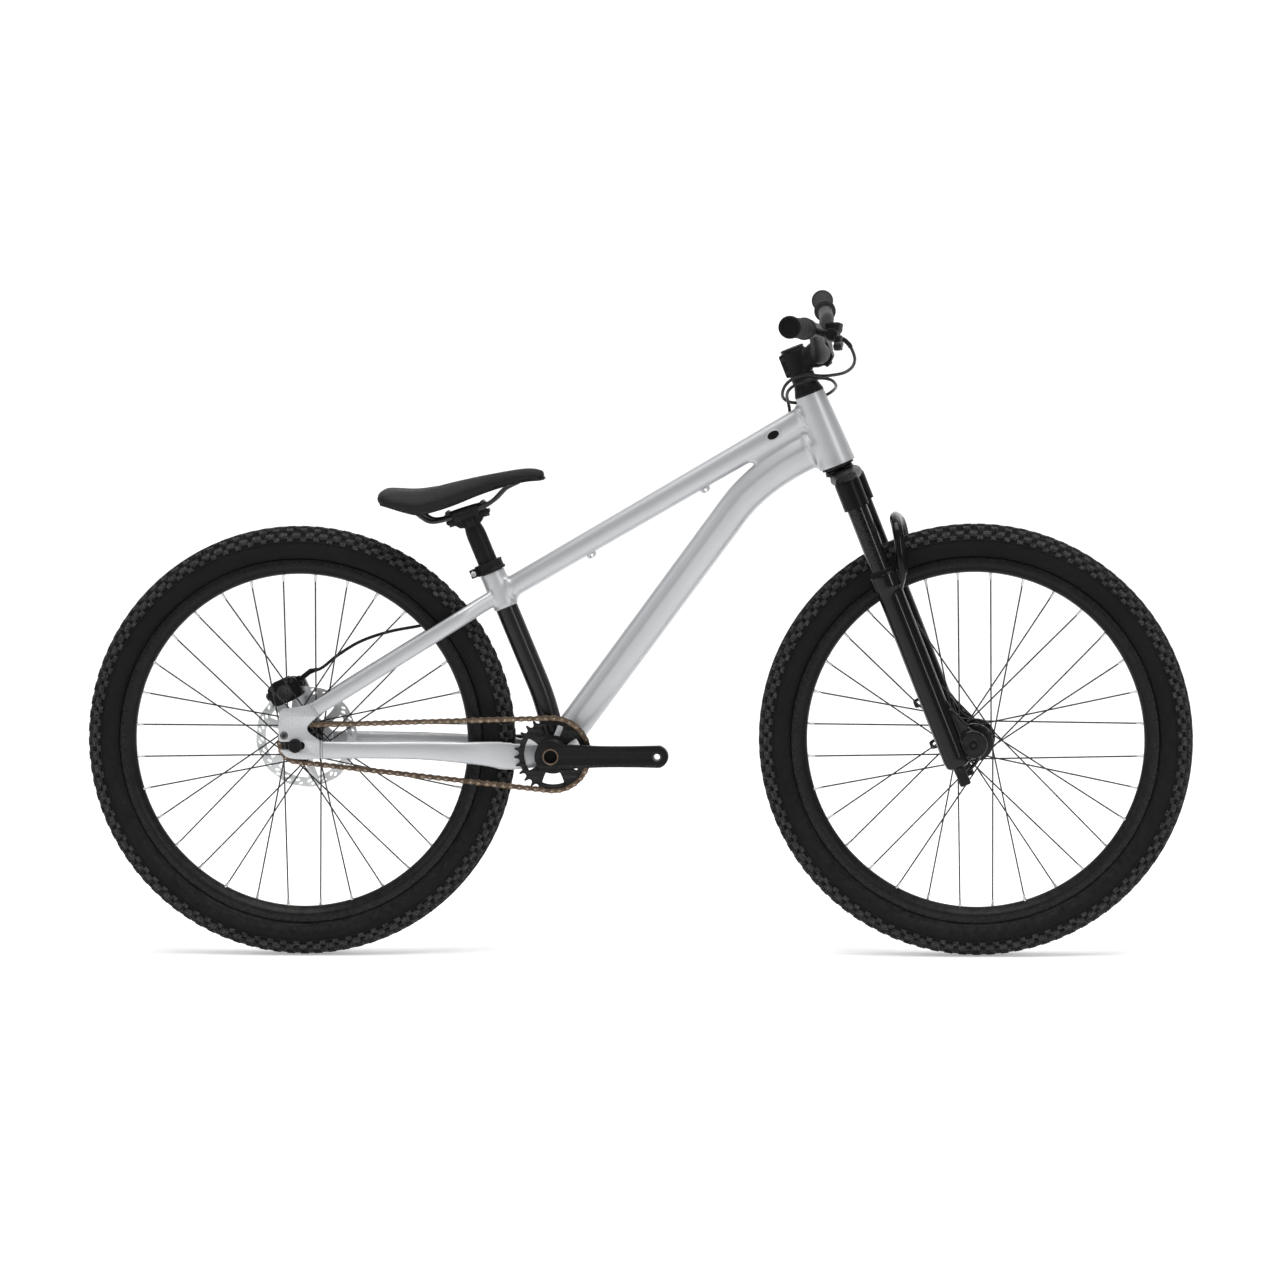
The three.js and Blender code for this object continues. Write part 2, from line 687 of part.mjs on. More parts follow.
function headTube() {
  const end = HEAD_TUBE_LOW + HEAD_TUBE_LENGTH;
  const bore = bar(
    steerPoint(0, HEAD_TUBE_LOW - OVERRUN),
    steerPoint(0, end + OVERRUN),
    bored(HEAD_TUBE_BORE / 2),
  );
  const lowSeat = bar(
    steerPoint(0, HEAD_TUBE_LOW - OVERRUN),
    steerPoint(0, HEAD_TUBE_LOW + HEADSET_SEAT_DEPTH),
    bored(HEADSET_LOWER_DIAMETER / 2 + GAP),
  );
  const topSeat = bar(
    steerPoint(0, end - HEADSET_SEAT_DEPTH),
    steerPoint(0, end + OVERRUN),
    bored(HEADSET_UPPER_DIAMETER / 2 + GAP),
  );
  return cut(headTubeOuter(), [bore, lowSeat, topSeat]);
}

function steererRadiusAt(up) {
  const share = (up - CROWN_TOP) / (HEAD_TUBE_LOW + HEAD_TUBE_LENGTH - HEADSET_SEAT_DEPTH - CROWN_TOP);
  const spread = (STEERER_LOW_DIAMETER - STEERER_DIAMETER) / 2;
  return STEERER_DIAMETER / 2 + spread * Math.max(0, 1 - share);
}

function headsetUpper() {
  const top = HEAD_TUBE_LOW + HEAD_TUBE_LENGTH;
  const bore = bored(steererRadiusAt(top - HEADSET_SEAT_DEPTH) + RUNNING);
  const rim = HEAD_TUBE_TOP_DIAMETER / 2;
  return turnedUp([
    [bore, top - HEADSET_SEAT_DEPTH + GAP],
    [HEADSET_UPPER_DIAMETER / 2, top - HEADSET_SEAT_DEPTH + GAP],
    [HEADSET_UPPER_DIAMETER / 2, top + GAP],
    [rim, top + GAP],
    [rim, top + HEADSET_LIP],
    [bore + HEADSET_LIP, top + HEADSET_COVER_HEIGHT],
    [bore, top + HEADSET_COVER_HEIGHT],
  ], ROUND_SIDES);
}

function headsetLower() {
  const bottom = CROWN_TOP + CROWN_RACE_HEIGHT + GAP;
  const top = HEAD_TUBE_LOW + HEADSET_SEAT_DEPTH - GAP;
  const bore = bored(steererRadiusAt(bottom) + RUNNING);
  return turnedUp([
    [bore, bottom],
    [HEADSET_LOWER_DIAMETER / 2, bottom],
    [HEADSET_LOWER_DIAMETER / 2, top],
    [bore, top],
  ], ROUND_SIDES);
}

// Top tube, between the seat lug and the head tube
function topTubeStations() {
  const rear = seatPoint(0, -TOP_TUBE_DROP_AT_SEAT);
  const front = steerPoint(0, HEAD_TUBE_LOW + HEAD_TUBE_LENGTH - TOP_TUBE_DROP_AT_HEAD);
  return [
    { at: rear, across: TOP_TUBE_WIDTH, up: TOP_TUBE_DEPTH_REAR },
    { at: front, across: TOP_TUBE_WIDTH, up: TOP_TUBE_DEPTH_FRONT },
  ];
}

function alongTopTube(share, y, down) {
  const [rear, front] = topTubeStations();
  const along = front.at.clone().sub(rear.at).normalize();
  const under = vec(along.z, 0, -along.x);
  const place = rear.at.clone().lerp(front.at, share);
  return place.add(under.multiplyScalar(down)).add(vec(0, y, 0));
}

function topTubeDepth(share) {
  return THREE.MathUtils.lerp(TOP_TUBE_DEPTH_REAR, TOP_TUBE_DEPTH_FRONT, share);
}

function seatLugOuter(grow = 0) {
  const low = -SEAT_LUG_LENGTH;
  return bar(seatPoint(0, low - grow), seatPoint(0, grow), SEAT_LUG_DIAMETER / 2 + grow);
}

// The hole in a wall where the brake hose passes, along the hose's own route
function hoseHole(points, steps) {
  return cord(toPoints(points), HOSE_DIAMETER + 5 * RUNNING, SMALL_SIDES, steps);
}

function cableGuide(share) {
  const depth = topTubeDepth(share) / 2;
  const along = (CABLE_GUIDE_LENGTH / 2) / topTubeStations()[0].at.distanceTo(topTubeStations()[1].at);
  const sink = CABLE_GUIDE_HEIGHT / 2;
  return tubeThrough([
    { at: alongTopTube(share - along, 0, depth), across: CABLE_GUIDE_WIDTH, up: CABLE_GUIDE_HEIGHT + sink },
    { at: alongTopTube(share + along, 0, depth), across: CABLE_GUIDE_WIDTH, up: CABLE_GUIDE_HEIGHT + sink },
  ], STAY_SHARES);
}

function topTube() {
  const stations = topTubeStations();
  const inner = tubeThrough(stretched(stations, OVERRUN), BOXY_SHARES, TUBE_WALL);
  const outer = joined([tubeThrough(stations, BOXY_SHARES), ...GUIDE_PLACE_SHARES.map(cableGuide)]);
  return cut(outer, [
    inner,
    headTubeOuter(GAP),
    seatLugOuter(GAP),
    hoseHole(LOOP_POINTS.slice(-6, -1), 6),
    hoseHole(INNER_POINTS.slice(5, 11), 5),
  ]);
}

// The blank plug sits on the right wall, where a second hose would go in
function portPlug() {
  const wall = TOP_TUBE_WIDTH / 2;
  const [rear, front] = topTubeStations();
  const along = front.at.clone().sub(rear.at).normalize().multiplyScalar((PORT_LENGTH - PORT_HEIGHT) / 2);
  const centre = alongTopTube(PORT_PLACE_SHARE, -wall - GAP, 0);
  const outline = (y0, y1, radius) => joined([
    bar(
      centre.clone().sub(along).add(vec(0, -y0, 0)),
      centre.clone().sub(along).add(vec(0, -y1, 0)),
      radius,
      SMALL_SIDES,
    ),
    bar(
      centre.clone().add(along).add(vec(0, -y0, 0)),
      centre.clone().add(along).add(vec(0, -y1, 0)),
      radius,
      SMALL_SIDES,
    ),
  ]);
  return outline(0, PORT_LIP, PORT_HEIGHT / 2);
}

// Down tube, straight from the bottom bracket and bent level towards the head tube
function downTubeStations(grow = 0) {
  const low = vec(BB.x, 0, BB.z);
  const slope = vec(Math.cos(radians(DOWN_TUBE_ANGLE)), 0, Math.sin(radians(DOWN_TUBE_ANGLE)));
  const bend = low.clone().addScaledVector(slope, DOWN_TUBE_STRAIGHT);
  const corner = bend.clone().addScaledVector(slope, DOWN_TUBE_BEND_REACH);
  const front = steerPoint(0, HEAD_TUBE_LOW + DOWN_TUBE_RISE_AT_HEAD);
  const curve = new THREE.QuadraticBezierCurve3(bend, corner, front);
  const steps = 3;
  const stations = [{ at: low, across: DOWN_TUBE_WIDTH + 2 * grow, up: DOWN_TUBE_DEPTH_LOW + 2 * grow }];
  for (let i = 0; i <= steps; i += 1) {
    stations.push({
      at: curve.getPoint(i / steps),
      across: DOWN_TUBE_WIDTH + 2 * grow,
      up: THREE.MathUtils.lerp(DOWN_TUBE_DEPTH_MID, DOWN_TUBE_DEPTH_FRONT, i / steps) + 2 * grow,
    });
  }
  return stations;
}

function bbShellOuter(grow = 0) {
  const half = BB_SHELL_LENGTH / 2 + grow;
  return crossBar(BB, -half, half, BB_SHELL_DIAMETER / 2 + grow);
}

function downTube() {
  const topTubeGrown = tubeThrough(topTubeStations(), BOXY_SHARES, -GAP);
  return cut(hollowTube(downTubeStations(), DOWN_TUBE_SHARES, TUBE_WALL), [
    headTubeOuter(GAP),
    topTubeGrown,
    bbShellOuter(GAP),
  ]);
}

// Seat tube, straight where the post slides and bent down to the bottom bracket
function seatTubeStations() {
  const toBend = (SEAT_LUG_TOP - BB.z - SEAT_TUBE_BEND_HEIGHT) / Math.sin(radians(SEAT_ANGLE));
  const bend = seatPoint(0, -toBend);
  const corner = seatPoint(0, -toBend - SEAT_TUBE_BEND_HEIGHT / 2);
  const curve = new THREE.QuadraticBezierCurve3(bend, corner, vec(BB.x, 0, BB.z));
  const round = { across: SEAT_TUBE_DIAMETER, up: SEAT_TUBE_DIAMETER };
  const steps = 3;
  const stations = [{ at: seatPoint(0, SEAT_TUBE_ABOVE_LUG), ...round }];
  for (let i = 0; i <= steps; i += 1) {
    stations.push({ at: curve.getPoint((SEAT_TUBE_END_SHARE * i) / steps), ...round });
  }
  return stations;
}

function seatTube() {
  const wall = SEAT_TUBE_DIAMETER / 2 - bored(SEATPOST_DIAMETER / 2 + GAP);
  return cut(hollowTube(seatTubeStations(), OVAL_SHARES, wall), [
    tubeThrough(downTubeStations(), DOWN_TUBE_SHARES, -GAP),
    bbShellOuter(GAP),
  ]);
}

function seatLug() {
  const bore = bar(
    seatPoint(0, -SEAT_LUG_LENGTH - OVERRUN),
    seatPoint(0, OVERRUN),
    bored(SEAT_TUBE_DIAMETER / 2 + GAP),
  );
  return seatLugOuter().subtract(bore);
}

function bbShell() {
  const half = BB_SHELL_LENGTH / 2 + OVERRUN;
  return bbShellOuter().subtract(crossBar(BB, -half, half, bored(BB_SHELL_BORE / 2)));
}

function bbCup(side) {
  const face = BB_SHELL_LENGTH / 2;
  const bore = bored(SPINDLE_DIAMETER / 2 + RUNNING);
  const profile = [
    [bore, side * (face - BB_CUP_DEPTH)],
    [BB_SHELL_BORE / 2 - GAP, side * (face - BB_CUP_DEPTH)],
    [BB_SHELL_BORE / 2 - GAP, side * (face + GAP)],
    [BB_CUP_FLANGE / 2, side * (face + GAP)],
    [BB_CUP_FLANGE / 2, side * (face + GAP + BB_CUP_FLANGE_WIDTH)],
    [bore, side * (face + GAP + BB_CUP_FLANGE_WIDTH)],
  ];
  return turned(profile, ROUND_SIDES, new THREE.Matrix4().makeTranslation(BB.x, 0, BB.z));
}

// Rear dropouts: a plate with an open slot for the axle, and an arm to each stay
function dropoutOuterFace() {
  return DROPOUT_SPACING / 2 + GAP + DROPOUT_THICKNESS;
}

function stayEndFace(side, end, depth, angle) {
  const normal = [-Math.sin(angle), Math.cos(angle)];
  const top = [end[0] + (normal[0] * depth) / 2, end[1] + (normal[1] * depth) / 2];
  const low = [end[0] - (normal[0] * depth) / 2, end[1] - (normal[1] * depth) / 2];
  return { top, low };
}

function seatstayAngle() {
  const end = vec(REAR_AXLE.x + SEATSTAY_END[0], 0, REAR_AXLE.z + SEATSTAY_END[1]);
  const lug = seatPoint(0, -TOP_TUBE_DROP_AT_SEAT);
  return Math.atan2(lug.z - end.z, lug.x - end.x);
}

function dropout(side) {
  const upper = stayEndFace(side, SEATSTAY_END, SEATSTAY_END_DEPTH, seatstayAngle());
  const lower = stayEndFace(side, CHAINSTAY_END, CHAINSTAY_DEPTHS[0], 0);
  const outline = [
    upper.top,
    upper.low,
    DROPOUT_NOTCH,
    lower.top,
    lower.low,
    ...DROPOUT_FOOT_SHARES.slice().reverse().map(([x, z]) => [x * DROPOUT_REACH, z * DROPOUT_FOOT]),
    [-DROPOUT_REACH, -SLOT_HEIGHT / 2],
    ...arc(SLOT_HEIGHT / 2, -90, 90, 6, SLOT_AHEAD - SLOT_HEIGHT / 2),
    [-DROPOUT_REACH, SLOT_HEIGHT / 2],
    ...DROPOUT_REAR_SHARES.map(([x, z]) => [x * DROPOUT_REACH, z * DROPOUT_HEIGHT]),
  ];
  const inner = DROPOUT_SPACING / 2 + GAP;
  const span = side < 0 ? [-inner - DROPOUT_THICKNESS, -inner] : [inner, inner + DROPOUT_THICKNESS];
  const frame = new THREE.Matrix4().makeTranslation(REAR_AXLE.x, 0, REAR_AXLE.z);
  return plate(outline, span[0], span[1], [], frame);
}

// Stays: each starts at its dropout and bows out round the tyre
function stayReach() {
  return (DROPOUT_SPACING / 2 + GAP + DROPOUT_THICKNESS / 2);
}

function chainstayPoint(aheadShare, outShare, lowShare, side) {
  const reach = BB.x - REAR_AXLE.x;
  return vec(
    REAR_AXLE.x + reach * aheadShare,
    side * stayReach() * outShare,
    REAR_AXLE.z + CHAINSTAY_END[1] + YOKE_BRIDGE_DEPTH * lowShare,
  );
}

function chainstay(side) {
  const stations = CHAINSTAY_AHEAD_SHARES.map((ahead, i) => ({
    at: chainstayPoint(ahead, CHAINSTAY_OUT_SHARES[i], CHAINSTAY_LOW_SHARES[i], side),
    across: i === 0 ? DROPOUT_THICKNESS * 1.3 : CHAINSTAY_WIDTH,
    up: CHAINSTAY_DEPTHS[i],
    along: vec(1, 0, 0),
  }));
  stations[0].at.x += GAP;
  return tubeThrough(stations, STAY_SHARES);
}

function yokeArm(side) {
  const stations = YOKE_AHEAD_SHARES.map((ahead, i) => ({
    at: chainstayPoint(ahead, YOKE_OUT_SHARES[i], YOKE_LOW_SHARES[i], side),
    across: i === 0 ? CHAINSTAY_WIDTH : YOKE_WIDTH,
    up: YOKE_DEPTHS[Math.min(i, YOKE_DEPTHS.length - 1)],
    along: vec(1, 0, 0),
  }));
  stations[0].at.x += GAP;
  return tubeThrough(stations, STAY_SHARES);
}

function stayYoke() {
  const arms = [yokeArm(-1), yokeArm(1)];
  const tyreFront = REAR_AXLE.x + TYRE_RADIUS;
  const half = stayReach() * YOKE_OUT_SHARES[3];
  const bridge = block(
    vec(tyreFront + OVERRUN / 2, -half, BB.z - YOKE_BRIDGE_DEPTH / 2),
    vec(BB.x - BB_SHELL_BORE / 2, half, BB.z + YOKE_BRIDGE_DEPTH / 2),
  );
  return cut(joined([...arms, bridge]), [
    bbShellOuter(GAP),
    tubeThrough(stretched(downTubeStations(), 2 * GAP), DOWN_TUBE_SHARES, -GAP),
    tubeThrough(stretched(seatTubeStations(), 2 * GAP), OVAL_SHARES, -GAP),
  ]);
}

function seatstayPoint(alongShare, outShare, side) {
  const start = vec(REAR_AXLE.x + SEATSTAY_END[0], 0, REAR_AXLE.z + SEATSTAY_END[1]);
  const point = start.lerp(seatPoint(0, -TOP_TUBE_DROP_AT_SEAT), alongShare);
  point.y = side * stayReach() * outShare;
  return point;
}

function seatstay(side) {
  const stations = SEATSTAY_ALONG_SHARES.map((along, i) => ({
    at: seatstayPoint(along, SEATSTAY_OUT_SHARES[i], side),
    across: i === 0 ? DROPOUT_THICKNESS * 1.3 : SEATSTAY_WIDTH,
    up: i === 0 ? SEATSTAY_END_DEPTH : SEATSTAY_DEPTH,
  }));
  const angle = seatstayAngle();
  stations[0].along = vec(Math.cos(angle), 0, Math.sin(angle));
  stations[0].at.addScaledVector(stations[0].along, GAP);
  const halfSpace = block(
    vec(REAR_AXLE.x, side > 0 ? -TOP_TUBE_WIDTH : -GAP / 2, 0),
    vec(0, side > 0 ? GAP / 2 : TOP_TUBE_WIDTH, SEAT_LUG_TOP + TOP_TUBE_WIDTH),
  );
  return cut(tubeThrough(stations, STAY_SHARES), [
    seatLugOuter(GAP),
    halfSpace,
    tubeThrough(topTubeStations(), BOXY_SHARES, -GAP),
  ]);
}

// Collar that clamps the post at the top of the seat tube
function seatClamp() {
  const tubeBore = bored(SEAT_TUBE_DIAMETER / 2 + GAP);
  const postBore = bored(SEATPOST_DIAMETER / 2 + RUNNING);
  const outer = SEAT_TUBE_DIAMETER / 2 + SEAT_COLLAR_WALL;
  const ring = turnedUp([
    [tubeBore, GAP],
    [outer, GAP],
    [outer, SEAT_COLLAR_HEIGHT - SEAT_COLLAR_LIP / 2],
    [outer - SEAT_COLLAR_LIP / 2, SEAT_COLLAR_HEIGHT],
    [postBore, SEAT_COLLAR_HEIGHT],
    [postBore, SEAT_TUBE_ABOVE_LUG + GAP],
    [tubeBore, SEAT_TUBE_ABOVE_LUG + GAP],
  ], ROUND_SIDES);
  const up = SEAT_COLLAR_LUG / 2 + GAP;
  const lug = bar(
    vec(-SEAT_COLLAR_LUG_OUT, -SEAT_COLLAR_LUG, up),
    vec(-SEAT_COLLAR_LUG_OUT, SEAT_COLLAR_LUG, up),
    SEAT_COLLAR_LUG / 2,
    SMALL_SIDES,
  );
  const neck = block(
    vec(-SEAT_COLLAR_LUG_OUT, -SEAT_COLLAR_LUG, GAP),
    vec(-SEAT_TUBE_DIAMETER / 2 - 2 * GAP, SEAT_COLLAR_LUG, SEAT_COLLAR_LUG),
  );
  const clear = bar(vec(0, 0, -OVERRUN), vec(0, 0, SEAT_TUBE_ABOVE_LUG + GAP), tubeBore);
  return cut(joined([ring, neck, lug]), [clear]);
}

// Rear axle: a rod through both slots, with a bolt head outside each dropout
function rearAxle() {
  const face = dropoutOuterFace() + GAP;
  const rod = crossBar(REAR_AXLE, -face, face, REAR_AXLE_DIAMETER / 2, SMALL_SIDES);
  const head = REAR_AXLE_HEAD_WIDTH;
  const right = crossBar(REAR_AXLE, -face - head, -face, REAR_AXLE_HEAD / 2, ROUND_SIDES);
  const left = crossBar(REAR_AXLE, face, face + head, REAR_AXLE_HEAD / 2, ROUND_SIDES);
  return joined([rod, right, left]);
}

// Disc brake caliper, in a frame at the rear axle whose Z axis points out to the pads
function caliperFrame() {
  const turn = -radians(CALIPER_ANGLE - 90);
  return frameAt(vec(REAR_AXLE.x, 0, REAR_AXLE.z), turn);
}

function brakeCaliper() {
  const frame = caliperFrame();
  const half = CALIPER_LENGTH / 2;
  const wide = CALIPER_WIDTH / 2;
  const padRoom = PAD_THICKNESS + ROTOR_THICKNESS / 2 + 2 * GAP;
  const shoulder = CALIPER_EAR_HEIGHT;
  const body = plate([
    [-half, CALIPER_INNER],
    [half, CALIPER_INNER],
    [half, CALIPER_OUTER - shoulder],
    [half - shoulder, CALIPER_OUTER],
    [-half + shoulder, CALIPER_OUTER],
    [-half, CALIPER_OUTER - shoulder],
  ], ROTOR_AT - wide, ROTOR_AT + wide, [], frame);
  const slotTop = ROTOR_DIAMETER / 2 + 2 * RUNNING;
  const slot = block(
    vec(-half - OVERRUN, ROTOR_AT - CALIPER_SLOT / 2, 0),
    vec(half + OVERRUN, ROTOR_AT + CALIPER_SLOT / 2, slotTop),
    frame,
  );
  const pocket = block(
    vec(-PAD_LENGTH / 2 - GAP, ROTOR_AT - padRoom, 0),
    vec(PAD_LENGTH / 2 + GAP, ROTOR_AT + padRoom, slotTop + PAD_SPRING_THICKNESS + 2 * GAP),
    frame,
  );
  const earFace = DROPOUT_SPACING / 2;
  const ears = [-1, 1].map((side) => block(
    vec(side * half - CALIPER_EAR_LENGTH / 2, ROTOR_AT, CALIPER_OUTER - 2 * CALIPER_EAR_HEIGHT),
    vec(side * half + CALIPER_EAR_LENGTH / 2, earFace, CALIPER_OUTER - CALIPER_EAR_HEIGHT),
    frame,
  ));
  return cut(joined([body, ...ears]), [slot, pocket]);
}

function brakePads() {
  const frame = caliperFrame();
  const top = ROTOR_DIAMETER / 2 + RUNNING;
  const face = ROTOR_THICKNESS / 2 + GAP;
  const pads = [-1, 1].map((side) => {
    const near = ROTOR_AT + side * face;
    const far = ROTOR_AT + side * (face + PAD_THICKNESS);
    return block(
      vec(-PAD_LENGTH / 2, Math.min(near, far), top - PAD_HEIGHT),
      vec(PAD_LENGTH / 2, Math.max(near, far), top + PAD_SPRING_THICKNESS),
      frame,
    );
  });
  const reach = face + PAD_THICKNESS / 2;
  const spring = block(
    vec(-PAD_LENGTH / 6, ROTOR_AT - reach, top),
    vec(PAD_LENGTH / 6, ROTOR_AT + reach, top + PAD_SPRING_THICKNESS),
    frame,
  );
  return joined([...pads, spring]);
}

// The lug of the left dropout that the caliper is bolted to
function brakeMount() {
  const half = CALIPER_LENGTH / 2 + CALIPER_EAR_LENGTH / 2;
  const inner = DROPOUT_SPACING / 2 + GAP;
  const top = CALIPER_OUTER - CALIPER_EAR_HEIGHT;
  const foot = DROPOUT_REACH;
  const outline = [[-half, top], [half, top], [half, top - 2 * CALIPER_EAR_HEIGHT], [foot, foot], [-foot / 2, foot],
    [-half, top - 2 * CALIPER_EAR_HEIGHT]];
  const window = arc((top - foot) / 5, 0, 330, 11, 0, (top + foot) / 2 + GAP);
  return plate(outline, inner, inner + DROPOUT_THICKNESS, [window], caliperFrame());
}

// Frame of the bicycle and all that is fixed to it
function addFrame(group) {
  const silver = 0xc2c5c9;
  const black = 0x1d1f22;
  addPiece(group, "head_tube", headTube(), silver, 0.38, 0.55);
  addPiece(group, "top_tube", topTube(), silver, 0.38, 0.55);
  addPiece(group, "down_tube", downTube(), silver, 0.38, 0.55);
  addPiece(group, "seat_tube", seatTube(), black, 0.45, 0.2);
  addPiece(group, "seat_lug", seatLug(), silver, 0.38, 0.55);
  addPiece(group, "bottom_bracket_shell", bbShell(), silver, 0.38, 0.55);
  addPiece(group, "chainstay_yoke", stayYoke(), silver, 0.38, 0.55);
  for (const [side, label] of [[-1, "right"], [1, "left"]]) {
    addPiece(group, `chainstay_${label}`, chainstay(side), silver, 0.38, 0.55);
    addPiece(group, `seatstay_${label}`, seatstay(side), silver, 0.38, 0.55);
    addPiece(group, `bottom_bracket_cup_${label}`, bbCup(side), black, 0.4, 0.6);
  }
  addPiece(group, "dropout_right", dropout(-1), silver, 0.38, 0.55);
  const leftPlate = joined([dropout(1), brakeMount()]).subtract(tubeThrough([
    { at: seatstayPoint(0, 1, 1), across: 2 * DROPOUT_THICKNESS, up: SEATSTAY_END_DEPTH + 2 * GAP },
    { at: seatstayPoint(SEATSTAY_ALONG_SHARES[2], 1, 1), across: 2 * DROPOUT_THICKNESS, up: SEATSTAY_DEPTH },
  ], STAY_SHARES));
  addPiece(group, "dropout_left", leftPlate, silver, 0.38, 0.55);
  addPiece(group, "port_plug", portPlug(), black, 0.7, 0);
  addPiece(group, "rear_axle", rearAxle(), 0x2a2b2e, 0.35, 0.8);
  addPiece(group, "brake_caliper", brakeCaliper(), black, 0.4, 0.5);
  addPiece(group, "brake_pads", brakePads(), 0x55504a, 0.8, 0.3);
}

// Headset parts and collar turn about their own axes, so they sit in placed groups
function addTurnedFrameParts(group) {
  const head = new THREE.Group();
  head.position.copy(STEER_FOOT);
  head.rotation.y = STEER_TURN;
  addPiece(head, "headset_upper", headsetUpper(), 0x1b1c1e, 0.45, 0.4);
  addPiece(head, "headset_lower", headsetLower(), 0x1b1c1e, 0.45, 0.6);
  const seat = new THREE.Group();
  seat.position.copy(SEAT_TOP);
  seat.rotation.y = SEAT_TURN;
  addPiece(seat, "seat_clamp", seatClamp(), 0x1b1c1e, 0.4, 0.5);
  group.add(head, seat);
}

function toPoints(list) {
  return list.map(([x, y, z]) => vec(x, y, z));
}

// The least room between two turns of a hose, measured on points along it that are further apart
// along the hose than the turns' own bend
function leastSelfGap(points, diameter) {
  const curve = new THREE.CatmullRomCurve3(points, false, "centripetal");
  const count = Math.ceil(curve.getLength() / (diameter / 4));
  const places = curve.getSpacedPoints(count);
  const apart = Math.ceil(HOSE_TURN_SHARE * 4);
  let least = Infinity;
  for (let i = 0; i < places.length; i += 1) {
    for (let j = i + apart; j < places.length; j += 1) {
      least = Math.min(least, places[i].distanceTo(places[j]) - diameter);
    }
  }
  return least;
}

function addHoses(group) {
  const loop = cord(toPoints(LOOP_POINTS), HOSE_DIAMETER, HOSE_SIDES, 40);
  const inner = cord(toPoints(INNER_POINTS), HOSE_DIAMETER, HOSE_SIDES, 26);
  addPiece(group, "hose_loop", loop, 0x141414, 0.5, 0);
  addPiece(group, "hose_rear", inner, 0x141414, 0.5, 0);
  const gap = leastSelfGap(toPoints(LOOP_POINTS), HOSE_DIAMETER);
  console.log(`least gap between the hose's turns: ${gap.toFixed(2)} mm`);
}

// Fork, in the steering frame
function legCentre(side) {
  return { ahead: LEG_AHEAD, y: (side * LEG_SPREAD) / 2 };
}

function upBar(side, low, top, radius, sides = ROUND_SIDES, endRadius = radius) {
  const { ahead, y } = legCentre(side);
  return bar(vec(ahead, y, low), vec(ahead, y, top), radius, sides, endRadius);
}

function forkCrown() {
  const half = LEG_SPREAD / 2;
  const stations = [-1, -0.45, 0.45, 1].map((share) => {
    const middle = Math.abs(share) < 1;
    const top = middle ? CROWN_TOP : CROWN_LEG_TOP;
    const low = middle ? CROWN_UNDERSIDE : CROWN_LEG_LOW + CROWN_LEG_DIAMETER / 2;
    const depth = middle ? CROWN_DEPTH : CROWN_LEG_DIAMETER * 0.8;
    const centre = middle ? CROWN_AHEAD : LEG_AHEAD;
    return STAY_SHARES.map(([a, u]) => vec(
      centre + (a * depth) / 2,
      share * half,
      (top + low) / 2 + (u * (top - low)) / 2,
    ));
  });
  const bridge = solidOf(loft(stations));
  const sockets = [-1, 1].map((side) => upBar(side, CROWN_LEG_LOW, CROWN_LEG_TOP, CROWN_LEG_DIAMETER / 2));
  const bores = [-1, 1].map((side) => upBar(side, CROWN_LEG_LOW - OVERRUN, CROWN_LEG_TOP - STANCHION_WALL,
    bored(STANCHION_DIAMETER / 2 + GAP)));
  const race = bar(
    vec(0, 0, CROWN_TOP - OVERRUN),
    vec(0, 0, CROWN_TOP + CROWN_RACE_HEIGHT),
    HEADSET_LOWER_DIAMETER / 2 - HEADSET_LIP,
  );
  const knee = HEAD_TUBE_LOW + HEAD_TUBE_LENGTH - HEADSET_SEAT_DEPTH;
  const taper = bar(vec(0, 0, CROWN_TOP - OVERRUN), vec(0, 0, knee), steererRadiusAt(CROWN_TOP - OVERRUN), ROUND_SIDES,
    STEERER_DIAMETER / 2);
  const steerer = bar(vec(0, 0, knee - GAP), vec(0, 0, STEERER_TOP), STEERER_DIAMETER / 2);
  const hollow = bar(vec(0, 0, CROWN_UNDERSIDE - OVERRUN), vec(0, 0, STEERER_TOP + OVERRUN), STEERER_BORE / 2);
  return cut(joined([bridge, ...sockets, race, taper, steerer]), [hollow, ...bores]);
}

function stanchion(side) {
  const top = CROWN_LEG_TOP - STANCHION_WALL - GAP;
  const outer = upBar(side, STANCHION_LOW, top, STANCHION_DIAMETER / 2);
  const bore = STANCHION_DIAMETER / 2 - STANCHION_WALL;
  return outer.subtract(upBar(side, STANCHION_LOW - OVERRUN, top - OVERRUN, bore));
}

// The lug carries the axle ahead of the leg, in one casting with it
function axleLug(side) {
  const radius = LUG_DIAMETER / 2;
  const leg = LOWER_DIAMETER / 2;
  const inner = FRONT_HUB_SPACING / 2 + GAP;
  const outer = inner + LUG_WIDTH;
  const outline = [
    ...arc(radius, -75, 60, 6, FORK_OFFSET, 0),
    [LEG_AHEAD + leg * 0.8, LUG_DIAMETER * 1.7],
    [LEG_AHEAD - leg * 0.6, LUG_DIAMETER],
    [LEG_AHEAD - leg * 0.6, LOWER_BOTTOM],
    [LEG_AHEAD + leg * 0.6, LOWER_BOTTOM],
  ];
  return plate(outline, side < 0 ? -outer : inner, side < 0 ? -inner : outer);
}

